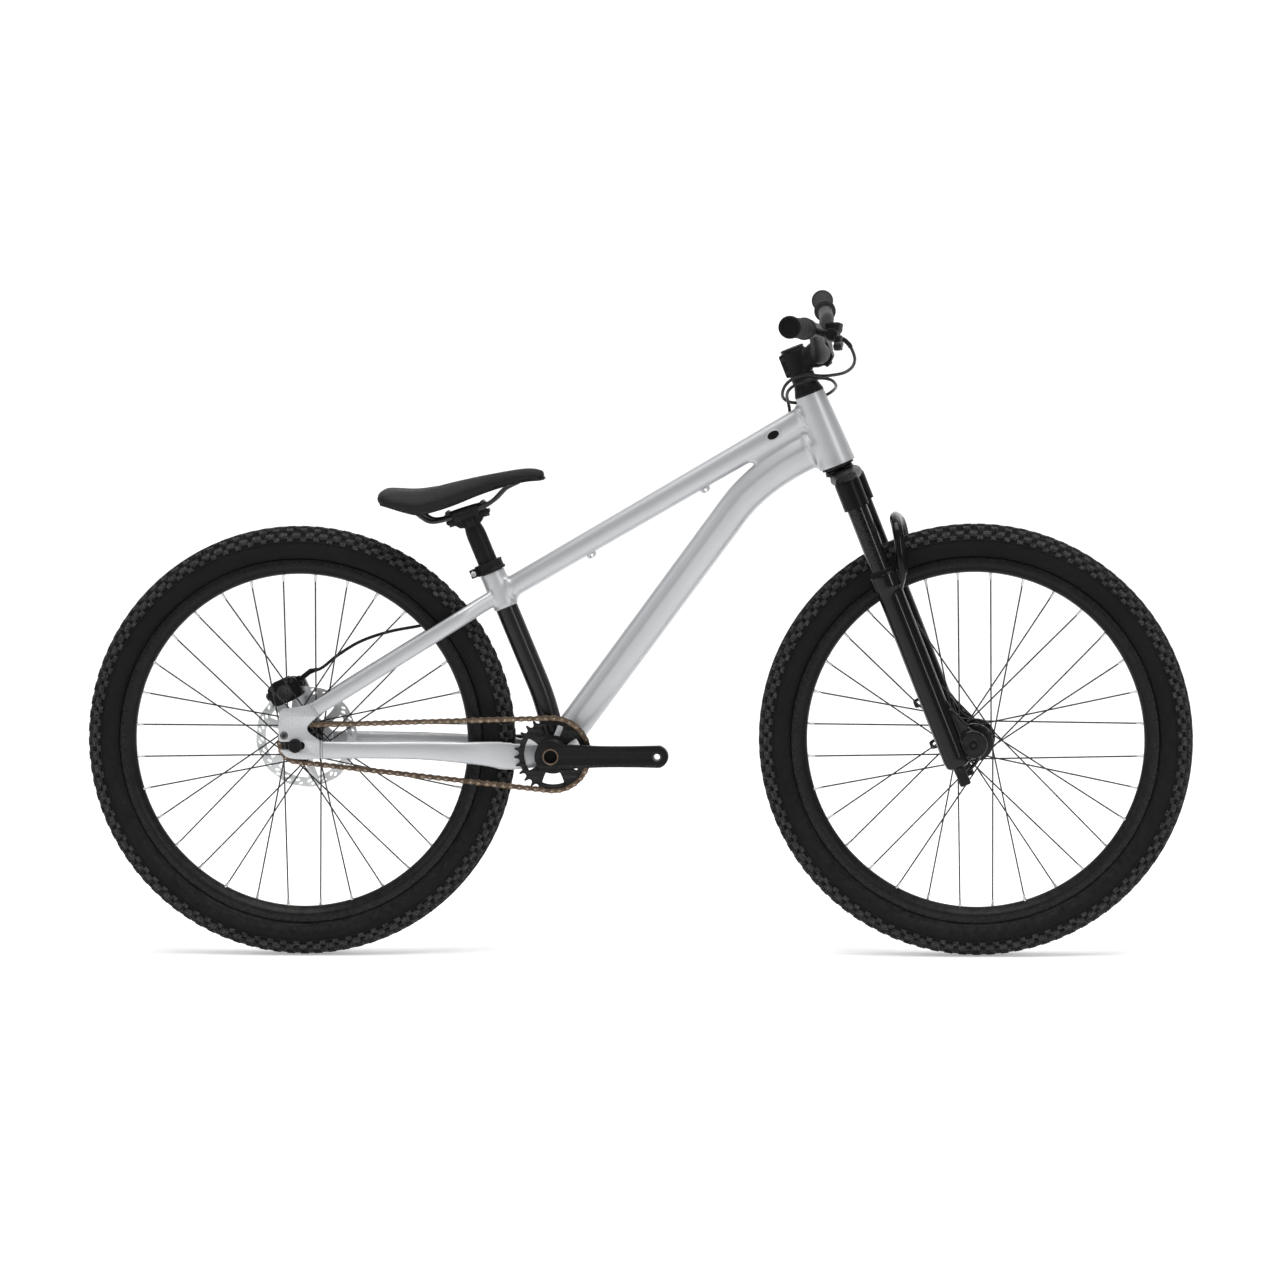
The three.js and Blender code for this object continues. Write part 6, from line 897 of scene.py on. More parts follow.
def crown_shapes():
    """The fork crown: two sockets and the arched bridge that carries the steerer, and their bores."""
    socket = [(0, 403), (20, 403), (20, 447), (18.5, 451), (14, 453), (0, 453.4)]
    half = [(70, 30, 13, 451, 8), (60, 36, 20, 451.5, 9), (40, 42, 23, 453.5, 7.5), (20, 48, 24, 454, 6.2)]
    stations = [*((-y, *rest) for y, *rest in half), (0, 49.5, 24, 454, 6), *half[::-1]]
    rings = [[spot(STEER, ahead + a * deep / 2, y, up + u * high / 2) for a, u in BOXY_SECTION]
             for y, deep, high, up, ahead in smooth_path(stations, 4)]
    shapes = [*(leg_lathe(socket, side, 72) for side, _ in SIDES), loft(rings),
              steer_lathe([(0, 460), (23.4, 462), (22, 470), (0, 470)])]
    cutters = []
    for side, _ in SIDES:
        at = (LEG_AHEAD, side * LEG_OUT)
        cutters.append(rod(spot(STEER, *at, 396), spot(STEER, *at, 450), 16.05, 64))
        cutters.append(leg_lathe(disc(27, 398, 405), side, 48))
    return shapes, [*cutters, steer_lathe(disc(11.5, 430, 475), turns=48)]


class BIKE_OT_fork(bpy.types.Operator):
    """Makes the headset, crown, stanchions and the cast lower part of the fork"""
    bl_idname = "bike.fork"
    bl_label = "Headset and fork"

    def execute(self, context):
        voxel = context.scene.bike_sizes.cast_voxel
        upper = [(14.6, 592.3), (23.2, 592.3), (23.3, 595.2), (22.7, 596.4), (20.5, 603), (19, 608.2), (18.4, 609.1),
                 (14.6, 609.1)]
        lower = [(19.6, 470.6), (22.6, 470.6), (25.4, 471.4), (25.5, 474.8), (19.6, 474.8)]
        for name, profile, node_name in (("top_cover", upper, "upper"), ("bottom_cup", lower, "lower")):
            piece("headset_" + name, [steer_lathe(profile, turns=80, hollow=True)], "satin black", "frame",
                  "headset_" + node_name)
        fused("fork_crown_casting", *crown_shapes(), voxel, CAST_ROUNDS, "crown black", "steering", "fork_crown")
        steerer = [(11.5, 470), (19, 470), (18.9, 480), (14.3, 580), (14.3, 662), (11.5, 662)]
        piece("steerer", [steer_lathe(steerer, hollow=True)], "dark steel", "steering")
        stanchion = [(13.8, 118), (15.4, 118), (16, 118.8), (16, 449.2), (13.8, 449.2)]
        seal = [(16.2, 296.4), (20, 296.4), (20, 297.2), (20, 299), (20, 300), (20, 301.6), (18.4, 300.8),
                (16.6, 302.8), (16.2, 302.8)]
        for side, label in SIDES:
            piece(f"stanchion_{label}_tube", [leg_lathe(stanchion, side, 72, hollow=True)], "stanchion black",
                  "steering", f"stanchion_{label}")
            piece(f"wiper_{label}", [leg_lathe(seal, side, 72, hollow=True)], "cap rubber", "fork_lowers",
                  f"fork_wiper_{label}")
        fused("fork_lower_casting", *lowers_shapes(), voxel, CAST_ROUNDS, "gloss black", "fork_lowers", "fork_lowers")
        cap = [(0, -24), (9.3, -24), (9.3, -33), (8.8, -34), (8.8, -52.5), (7.8, -54.4), (5, -54.4), (4.6, -51),
               (0, -51)]
        piece("fork_foot_bolts", [leg_lathe(cap, side, 48) for side, _ in SIDES], "satin black", "fork_lowers")
        axle = [(0, -76.8), (4.2, -76.8), (4.2, -74), (6.2, -74), (6.2, -76.8), (9.8, -76.8), (11, -75.8),
                (11, -73), (7.5, -73), (7.5, 73), (11, 73), (11, 75.8), (9.8, 76.8), (0, 76.8)]
        piece("front_axle_bar", [cross_lathe(axle, spot(STEER, AXLE_AHEAD, 0, 0))], "satin black", "fork_lowers",
              "front_axle")
        return {"FINISHED"}


# Wheels. Profiles are pairs of radius and place across

CASING = [(329.4, 0), (328.7, 7), (326.6, 13.6), (322.6, 19), (317.4, 23.3), (311, 26.2), (303, 27.2), (295, 25.4),
          (289, 20.5), (286.6, 16.6), (285.2, 13.3), (278, 11.6), (272, 8.7)]
# Rows of tread: across, radius, tilt, height, half length, half width, skew and share of a step ahead
TREAD_ROWS = (
    (5.4, 331, 6, 4.5, 6.2, 4.0, 0.8, 0.0),
    (14.6, 328, 22, 4.6, 5.6, 3.6, -1.0, 0.5),
    (21.8, 322.2, 46, 4.0, 6.6, 3.6, 0.6, 0.0),
    (25.1, 316.8, 70, 2.1, 4.6, 3.2, 0.0, 0.5),
)
SPOKES_A_SIDE = 16
SPOKE_LEAD = radians(67.5)
FLANGE_RADIUS, NIPPLE_RADIUS = 26.9, 258.46
FLANGE_TURN = 73.125
# From a thickness in metres to half of it in millimetres
METRES_TO_RADIUS = 500


def mirrored(half, middle=0):
    """A profile with its mirror image, from the low side of the middle to the high one."""
    return [(r, middle - y) for r, y in half] + [(r, middle + y) for r, y in half[::-1]]


def knob(angle, radius, across, tilt, height, half_long, half_wide, skew):
    """A tread block on the casing: a footprint, a shoulder and a slightly smaller top."""
    lean = radians(tilt)
    out, wide = vec(cos(lean), sin(lean)), vec(-sin(lean), cos(lean))
    rings = []
    for up, shrink in ((-3.4, -0.6), (height - 0.9, 0.15), (height, 0.8)):
        ring = []
        for a, w in ((-1, -1), (1, -1), (1, 1), (-1, 1)):
            at = vec(radius, across) + out * up + wide * w * (half_wide - shrink)
            turn = angle + (a * (half_long - shrink) + w * skew) / radius
            ring.append((at[0] * cos(turn), at[1], at[0] * sin(turn)))
        rings.append(ring)
    return loft(rings)


def tread_shapes(centre, count):
    """Rows of blocks from the crown of the tyre to its shoulders."""
    shapes = []
    for across, radius, tilt, height, half_long, half_wide, skew, shift in TREAD_ROWS:
        for side, _ in SIDES:
            stagger = shift + (0.5 if side > 0 else 0)
            for i in range(count):
                points, faces = knob(tau * (i + stagger) / count, radius, side * across, side * tilt, height,
                                     half_long, half_wide, side * skew)
                shapes.append((points + centre, faces))
    return shapes


def casing_profile():
    outer = [tuple(p) for p in smooth_path(CASING, 3)]
    inner = [(271.4, 5.2), (279, 8.2), (286.5, 11.4), (292, 19), (300, 23.6), (312, 23), (322, 17), (328, 6)]
    return [(r, -y) for r, y in outer[::-1]] + outer[1:] + inner + [(328.6, 0)] + [(r, -y) for r, y in inner[::-1]]


def rim_profile():
    wall = [(269.2, 6.5), (270.8, 8.4), (272.4, 12.6), (281, 13.7), (283.6, 13.4), (284.5, 14), (284.5, 15.6),
            (284, 16), (272.5, 15.9), (270.6, 15.2), (263.4, 7.5), (261.4, 4.6), (260.8, 2)]
    return [(269, 0)] + wall + [(260.7, 0)] + [(r, -y) for r, y in wall[::-1]]


def spoke_ends(flange_out, side):
    """The two ends of each spoke of one flange, from the wheel's centre."""
    ends = []
    for k in range(SPOKES_A_SIDE):
        lead = side if k % 2 else -side
        first = radians(90 + side * FLANGE_TURN) + radians(360 / SPOKES_A_SIDE * k)
        last = first + lead * SPOKE_LEAD
        start = vec(FLANGE_RADIUS * cos(first), flange_out + lead * 1.35, FLANGE_RADIUS * sin(first))
        end = vec(NIPPLE_RADIUS * cos(last), side * 2.6 + lead * 1.7, NIPPLE_RADIUS * sin(last))
        ends.append((start, end))
    return ends


class BIKE_OT_tyres(bpy.types.Operator):
    """Moulds both tyres: a smooth casing and rows of tread blocks"""
    bl_idname = "bike.tyres"
    bl_label = "Tyres"

    def execute(self, context):
        count = context.scene.bike_sizes.tread_blocks
        for label, centre in (("front", FRONT_AXLE), ("rear", REAR_AXLE)):
            profiles = [casing_profile()]
            for side, _ in SIDES:
                for radius, across, size in ((290.5, 21.9, 0.7), (312.6, 26.5, 0.55)):
                    profiles.append([(r, side * y) for r, y in circle(size, 8, radius, across)])
            casing = [cross_lathe(profile, centre, 256, hollow=True) for profile in profiles]
            piece(f"tyre_{label}_casing", casing, "tyre rubber", f"{label}_wheel", f"{label}_tyre", crease=50)
            piece(f"tyre_{label}_tread", tread_shapes(centre, count), "tread rubber", f"{label}_wheel", crease=20)
        return {"FINISHED"}


class BIKE_OT_wheels(bpy.types.Operator):
    """Builds both rims, hubs, spokes and nipples"""
    bl_idname = "bike.wheels"
    bl_label = "Rims, hubs and spokes"

    def execute(self, context):
        radius = context.scene.bike_sizes.spoke_diameter * METRES_TO_RADIUS
        nipple = [(0, 0), (1.7, 0), (2, 0.8), (2, 7.2), (2.5, 8.4), (2.5, 11.6), (0, 11.6)]
        for label, centre, outs, hub in (("front", FRONT_AXLE, (-34, 34), self.front_hub()),
                                         ("rear", REAR_AXLE, (-25, 33), self.rear_hub())):
            body = f"{label}_wheel"
            piece(f"rim_{label}_hoop", [cross_lathe(rim_profile(), centre, 256, hollow=True)], "rim black", body,
                  f"{label}_rim", crease=40)
            spokes, nipples = [], []
            for (side, _), out in zip(SIDES, outs):
                for start, end in spoke_ends(out, side):
                    start, end = start + centre, end + centre
                    run = unit(end - start)
                    elbow = 1.2 * np.sign(out) * CROSSWISE
                    spokes += [rod(start, end - run * 6, radius, 10), rod(start - elbow, start + elbow, 2.2, 12)]
                    nipples.append(revolve(nipple, end - run * 8.4, run, 12))
            piece(f"spokes_{label}", spokes, "spoke black", body)
            piece(f"nipples_{label}", nipples, "bright steel", body)
            piece(f"hub_{label}_shell", [cross_lathe(hub, centre, 72, hollow=True)], "hub black", body,
                  f"{label}_hub")
        return {"FINISHED"}

    def front_hub(self):
        return mirrored([(8, 50), (11.4, 50), (12, 49.4), (12, 39.4), (13, 38), (16, 37.2), (21, 36.5), (28.9, 36.5),
                         (29.5, 35.9), (29.5, 32.1), (28.9, 31.5), (21.5, 31.4), (17.6, 29.4), (15.2, 25), (14.2, 18),
                         (13.8, 6)])

    def rear_hub(self):
        return [(6.6, -67.2), (11.4, -67.2), (12, -66.6), (12, -57.4), (15.8, -56.8), (16, -56.2), (16, -31),
                (19, -28.4), (28.9, -27.5), (29.5, -26.9), (29.5, -23.1), (28.9, -22.5), (21, -22.2), (17, -19.5),
                (15, -13), (14.8, 4), (15, 19), (17.5, 27), (22, 30.2), (28.9, 30.5), (29.5, 31.1), (29.5, 34.9),
                (28.9, 35.5), (22.6, 36), (22, 36.8), (22, 50.2), (21.4, 50.8), (16, 50.8), (16, 56), (15.4, 56.6),
                (12, 57), (12, 66.6), (11.4, 67.2), (6.6, 67.2)]


# Drive

RING_TEETH, COG_TEETH = 28, 14
RING_PITCH, COG_PITCH = 56.71, 28.54
LOOP_BASE = radians(-2.444)
LINKS, LINK_WAIST = 84, 2.9
TOOTH_HALF = 1.3


def on_circle(centre, radius, angle):
    return centre + radius * vec(cos(angle), 0, sin(angle))


def chain_place(length):
    """Where the chain's pitch line is after a share of its length, from the front of the chainring."""
    apart = np.linalg.norm(REAR_AXLE - BOTTOM_BRACKET)
    lean = asin((RING_PITCH - COG_PITCH) / apart)
    straight = apart * cos(lean)
    big, small = RING_PITCH * (pi / 2 + lean), COG_PITCH * (pi / 2 - lean)
    total = 2 * (big + straight + small)
    length = (length % 1.0) * total
    half, sign = (length, 1) if length <= total / 2 else (total - length, -1)
    tangent = LOOP_BASE + sign * (pi / 2 + lean)
    if half <= big:
        return on_circle(BOTTOM_BRACKET, RING_PITCH, LOOP_BASE + sign * half / RING_PITCH)
    if half <= big + straight:
        share = (half - big) / straight
        return (on_circle(BOTTOM_BRACKET, RING_PITCH, tangent) * (1 - share)
                + on_circle(REAR_AXLE, COG_PITCH, tangent) * share)
    return on_circle(REAR_AXLE, COG_PITCH, tangent + sign * (half - big - straight) / COG_PITCH)


def link_plate(first, last, low, high, end):
    """A figure-of-eight side plate between two pins."""
    length = np.linalg.norm(last - first)
    along, middle = (last - first) / length, length / 2
    up = np.cross(CROSSWISE, along)
    outline = [*arc(end, 70, 290, 10), (middle, -LINK_WAIST), *arc(end, -110, 110, 10, length),
               (middle, LINK_WAIST)]
    return loft([[first + along * (middle + (a - middle) * shrink) + up * u * shrink + y * CROSSWISE
                  for a, u in outline]
                 for y, shrink in ((low, 0.94), (low + 0.2, 1), (high - 0.2, 1), (high, 0.94))])


def sprocket(teeth, pitch_radius, phase, bore, openings, base):
    """A toothed plate whose hollows sit under the chain's rollers."""
    seat, tip = 4.05, 3.5
    outline = []
    for angle in (phase + tau * i / teeth for i in range(teeth)):
        out = vec(cos(angle), sin(angle))
        along = vec(-out[1], out[0])
        for turn in np.radians((-78, -52, -26, 0, 26, 52, 78)):
            outline.append(tuple(out * (pitch_radius - seat * cos(turn)) + along * seat * sin(turn)))
        for nudge in (-1.15, 1.15):
            outline.append(polar(pitch_radius + tip, angle + pi / teeth + nudge / pitch_radius))
    return plate(outline, -CHAIN_LINE - TOOTH_HALF, -CHAIN_LINE + TOOTH_HALF, [circle(bore, 64), *openings], base)


def window(inner, outer, middle, span):
    """A curved opening between two radii, softened at its corners."""
    first, last = middle - span / 2, middle + span / 2
    return softened([*arc(inner, first, last, 14), *arc(outer, last, first, 14)])


def arm_outline():
    """The outline of a crank arm that points ahead, with round ends."""
    top = [tuple(p) for p in smooth_path([(33, 18), (82.5, 16), (132, 16)], 6)]
    eye = arc(17.15, 78, -78, 20, CRANK_LENGTH)
    return [*top, *eye, *((x, -z) for x, z in top[::-1]), *arc(24.9, -45, -315, 36)]


class BIKE_OT_drive(bpy.types.Operator):
    """Makes the chain, both sprockets, the crank arms with their spindle, and the bottom bracket cups"""
    bl_idname = "bike.drive"
    bl_label = "Chain, sprockets and cranks"

    def execute(self, context):
        self.chain()
        self.sprockets()
        self.cranks()
        self.cups()
        return {"FINISHED"}

    def chain(self):
        plates, rollers, pins = [], [], []
        roller = mirrored([(1.9, 1.65), (3.65, 1.65), (3.85, 1.4)], -CHAIN_LINE)
        pin = mirrored([(0, 4.4), (1.4, 4.4), (1.9, 4.1)], -CHAIN_LINE)
        for i in range(LINKS):
            first, last = chain_place(i / LINKS), chain_place((i + 1) / LINKS)
            near, far, end = (1.75, 2.85, 4.25) if i % 2 else (3.0, 4.1, 4.1)
            for side, _ in SIDES:
                low, high = sorted((-CHAIN_LINE + side * near, -CHAIN_LINE + side * far))
                plates.append(link_plate(first, last, low, high, end))
            rollers.append(cross_lathe(roller, first, 20, hollow=True))
            pins.append(cross_lathe(pin, first, 12))
        piece("chain_plates", plates, "chain bronze", "frame", "chain")
        piece("chain_rollers", rollers, "chain bronze", "frame")
        piece("chain_pins", pins, "rivet steel", "frame")

    def sprockets(self):
        windows = [*(window(30, 46.6, m, 44) for m in (90, 270)), *(window(27, 44.6, m, 70) for m in (0, 180))]
        ring = sprocket(RING_TEETH, RING_PITCH, LOOP_BASE, 17.05, windows, AT_BOTTOM_BRACKET)
        piece("chainring_plate", [ring], "ring black", "cranks", "chainring", bevel=0.45)
        cog = sprocket(COG_TEETH, COG_PITCH, LOOP_BASE + pi, 16.9, [], AT_REAR_AXLE)
        carrier = [(16.9, -55.6), (19.6, -55.6), (20.4, -54.9), (20.4, -49.6), (20.4, -38.6), (19.8, -38.1),
                   (16.9, -38.1)]
        piece("rear_cog_plate", [cog, cross_lathe(carrier, REAR_AXLE, hollow=True)], "dark steel", "freewheel",
              "rear_cog", bevel=0.35)

    def cranks(self):
        thread = [(4.8, 71), (7.2, 71), (7.2, 83.7), (6.7, 84), (4.8, 84)]
        bolt_ring = [(10.4, 71), (12.65, 71), (12.65, 83.2), (12.2, 83.7), (10.9, 83.7), (10.4, 83.1)]
        # The bore gets a plain dark cup that stands for the shade deep in the hollow: painted shade that hides the
        # spindle end
        bore = [(0, 75.5), (9.2, 75.5), (9.4, 83), (10.35, 83), (10.35, 73.8), (0, 73.8)]
        for side, label in SIDES:
            base = (BOTTOM_BRACKET, vec(-side, 0, 0), vec(0, 0, 1))
            arm = plate(arm_outline(), side * 70, side * 84, [circle(12.7, 64), circle(7, 48, CRANK_LENGTH)], base)
            piece(f"crank_{label}_arm", [arm], "satin black", "cranks", f"crank_{label}", bevel=2.6, segments=3,
                  crease=40)
            eye = BOTTOM_BRACKET + vec(-side * CRANK_LENGTH, 0, 0)
            for name, profile, centre, turns, hollow, finish in (
                    ("pedal_thread", thread, eye, 48, True, "dark steel"),
                    ("crank_bolt_ring", bolt_ring, BOTTOM_BRACKET, 64, True, "bronze ring"),
                    ("crank_bore", bore, BOTTOM_BRACKET, 64, False, "cap rubber")):
                shape = cross_lathe([(r, side * y) for r, y in profile], centre, turns, hollow)
                piece(f"{name}_{label}", [shape], finish, "cranks")
        spindle = mirrored([(7, 73.7), (11, 73.7), (11.7, 71.5), (16.4, 70.5), (16.6, 70), (16.6, 39.7), (12, 39.5)])
        piece("crank_spindle_bar", [cross_lathe(spindle, BOTTOM_BRACKET, hollow=True)], "dark steel", "cranks",
              "crank_spindle")
        boss = [(16.7, -48.5), (24.4, -48.5), (25, -49.2), (25, -69), (24.4, -70.2), (16.7, -70.2)]
        piece("crank_right_boss", [cross_lathe(boss, BOTTOM_BRACKET, 72, hollow=True)], "satin black", "cranks")

    def cups(self):
        notch = ((-0.15, 20.5), (0.0, 20.5), (0.09, 19.2), (0.2, 19.2))
        outline = [polar(radius, tau * i / 16 + turn) for i in range(16) for turn, radius in notch]
        for side, label in SIDES:
            cup = plate(outline, side * 36.7, side * 38.8, [circle(17.2, 48)], AT_BOTTOM_BRACKET)
            piece(f"bottom_bracket_{label}_cup", [cup], "satin black", "frame", f"bottom_bracket_cup_{label}",
                  bevel=0.3)


# Brake

def wavy_rotor():
    """The rotor with its wavy edge, its windows and the slots of its braking band."""
    edge = [polar(79.3 + 0.7 * sin(12 * angle), angle) for angle in (tau * i / 240 for i in range(240))]
    holes = [circle(16.1, 48)]
    for middle in range(0, 360, 60):
        inner, outer = arc(23.5, middle - 17, middle + 17, 8), arc(64.6, middle + 24 + 9, middle - 24 + 9, 14)
        holes.append(softened([*inner, *outer]))
    for i in range(24):
        for radius, turn, size in ((70.2, 0, 1.9), (74.4, 4.2, 1.7)):
            angle = radians(15 * i + turn + 3)
            along = vec(-sin(angle + 0.5), cos(angle + 0.5))
            middle = radius * vec(cos(angle), sin(angle))
            turned = degrees(atan2(along[1], along[0]))
            holes.append([*arc(size, turned - 90, turned + 90, 6, *(middle + along * 1.7)),
                          *arc(size, turned + 90, turned + 270, 6, *(middle - along * 1.7))])
    return plate(edge, ROTOR_OUT - 0.9, ROTOR_OUT + 0.9, holes, AT_REAR_AXLE)


class BIKE_OT_brake(bpy.types.Operator):
    """Makes the rotor, its bolts, the caliper with fins and bolts, and the hose along the frame"""
    bl_idname = "bike.brake"
    bl_label = "Rear brake"

    def execute(self, context):
        piece("rotor_disc", [wavy_rotor()], "rotor steel", "rear_wheel", "brake_rotor", bevel=0.15, segments=1)
        bolts = [bolt_head(on_circle(REAR_AXLE, 19.4, tau * (i + 0.5) / 6) + 52.8 * CROSSWISE, CROSSWISE, 2.9, 1.8,
                           0.55, 24) for i in range(6)]
        piece("rotor_bolts", bolts, "dark steel", "rear_wheel")
        self.caliper()
        self.hose()
        return {"FINISHED"}

    def caliper(self):
        half = softened([(-26, 66), (-20, 61), (20, 61), (26, 66), (26, 88), (19, 97), (-19, 97), (-26, 88)])
        bridge = [(-25, 84), (25, 84), (24, 90), (18, 96), (-18, 96), (-24, 90)]
        ears = [softened([(side * x, z) for x, z in ((18, 74), (32, 74), (33.5, 80), (32, 86), (18, 86))])
                for side, _ in SIDES]
        shapes = [plate(outline, low, high, base=CALIPER) for outline, low, high in (
            (half, 38.6, 50.2), (half, 53.9, 65.6), (bridge, 50.1, 54), *((ear, 54.5, 67.2) for ear in ears))]
        piece("caliper_body", shapes, "satin black", "frame", "brake_caliper", bevel=1.4, segments=3)
        top = (spot(CALIPER, 0, 0, 94.4), *CALIPER[1:])
        fins = [plate([(-15, 0), (15, 0), (13, 3.6), (-13, 3.6)], y, y + 1.1, base=top)
                for y in (40, 43, 46, 56, 59, 62)]
        piece("caliper_fins", fins, "satin black", "frame")
        cap = [(0, 0), (12.4, 0), (12.4, 0.8), (11.4, 1.2), (9.8, 1.2), (9.2, 0.6), (0, 0.6)]
        caps = [revolve([(r, a * out * 0.5) for r, a in cap], spot(CALIPER, 0, y, 77), CROSSWISE, 48)
                for y, out in ((38.7, -1), (65.5, 1))]
        piece("caliper_piston_caps", caps, "dark steel", "frame")
        bolts = []
        for side, _ in SIDES:
            bolts.append(bolt_head(spot(CALIPER, side * 27, 54.4, 80), -CROSSWISE, 4.6, 4.2, 0.55))
            bolts.append(bolt_head(spot(CALIPER, side * 17, 38.5, 90), -CROSSWISE, 3.2, 1.2, 0.55, 24))
        piece("caliper_bolts", bolts, "dark steel", "frame")
        finish_node("brake_pads", "pad compound")

    def hose(self):
        path = smooth_path(INNER_POINTS, 7)
        piece("hose_along_frame", [sweep(path, HOSE_RADIUS, 16)], "hose plastic", "frame", "hose_rear", crease=60)
        before, last = vec(*INNER_POINTS[-2]), vec(*INNER_POINTS[-1])
        sleeve = [(0, -13), (3.2, -12.6), (3.6, -4), (4.3, -3), (4.3, 1), (0, 1)]
        root = spot(CALIPER, 20, 57, 82)
        neck = sweep([root, (root + last) / 2 + vec(0, 0, 1), last], 4.0, 20)
        banjo = cross_lathe(disc(6.4, -5.5, 5.5), spot(CALIPER, 25, 57, 86), 24)
        piece("hose_sleeve", [revolve(sleeve, last, last - before, 24), neck, banjo], "satin black", "frame",
              bevel=0.5)


INNER_POINTS = [
    (210.4, 4.3, 805.4), (180, 1, 788), (120, 0, 753.5), (0, 0, 685), (-110, 0, 622.6), (-140, 3, 606),
    (-162, 10, 593), (-180, 22, 584), (-197, 31, 575), (-215, 38, 564), (-240, 46, 549), (-285, 60, 528),
    (-335, 67, 511), (-395, 70, 499), (-442, 70, 483), (-478, 67, 461), (-503, 61, 442), (-519, 57, 438),
]
LOOP_POINTS = [
    (346, -196, 961), (350, -184, 952), (353, -166, 938), (349, -142, 925), (335, -106, 913), (315, -76, 907),
    (296, -56, 904.5), (272, -43, 905.5), (252, -35, 900), (238, -21, 889), (231.5, -4, 876), (232, 12, 866),
    (241, 28, 859), (258, 40, 857), (280, 44, 862), (300, 38, 871), (311, 22, 880), (313.5, 2, 887),
    (307, -17, 896), (291, -30, 899.5), (271, -34, 896), (253, -27, 889), (242, -13, 880), (238, 2, 871),
    (238.5, 15, 861), (240, 24, 850), (240.5, 27, 840), (240, 24.5, 831), (235, 16, 822.5), (224, 8, 813.5),
    (211, 4.5, 805.8),
]


# Cockpit

RISE_START, RISE_END, RISE = 32, 150, 43.3
BAR_END = 383.5
GRIP_START, GRIP_LENGTH, RIB_STEP = 250.5, 136, 0.7
STEM_UP = 645
STEM_PINCH_BOLTS = (634, 656)
HINGE = vec(333.213, -262, 966.473)
LEVER_ACROSS = -226


def bar_place(across):
    """The bar's centre line: flat at the stem, a rise on each side, then swept back and up."""
    out = abs(across)
    if out <= RISE_END:
        i = min(max((out - RISE_START) / (RISE_END - RISE_START), 0), 1)
        return BAR_CENTRE + vec(0, across, RISE * (0.35 * i + 0.65 * i * i * (3 - 2 * i)))
    share = (out - RISE_END) / 234
    return BAR_CENTRE + vec(-21.6 * share, across, RISE + 16.9 * share)


def bar_run(across):
    return unit(bar_place(across + 0.5) - bar_place(across - 0.5))


def ribbed_grip(side):
    """A grip of fine rings between two flanges, with a plain band every 34 mm."""
    end = side * BAR_END
    path, sizes = [], []
    for i in range(int(GRIP_LENGTH / RIB_STEP) + 1):
        out = GRIP_START + i * RIB_STEP
        path.append(bar_place(side * min(out, BAR_END)) + bar_run(end) * side * max(out - BAR_END, 0))
        if out < 254.2 or out > 381.5:
            sizes.append(17.1)
        elif out < 255 or out % 34 < 4.5:
            sizes.append(15.2)
        else:
            sizes.append(15.3 if i % 3 else 14.0)
    return sweep(path, sizes, 40)


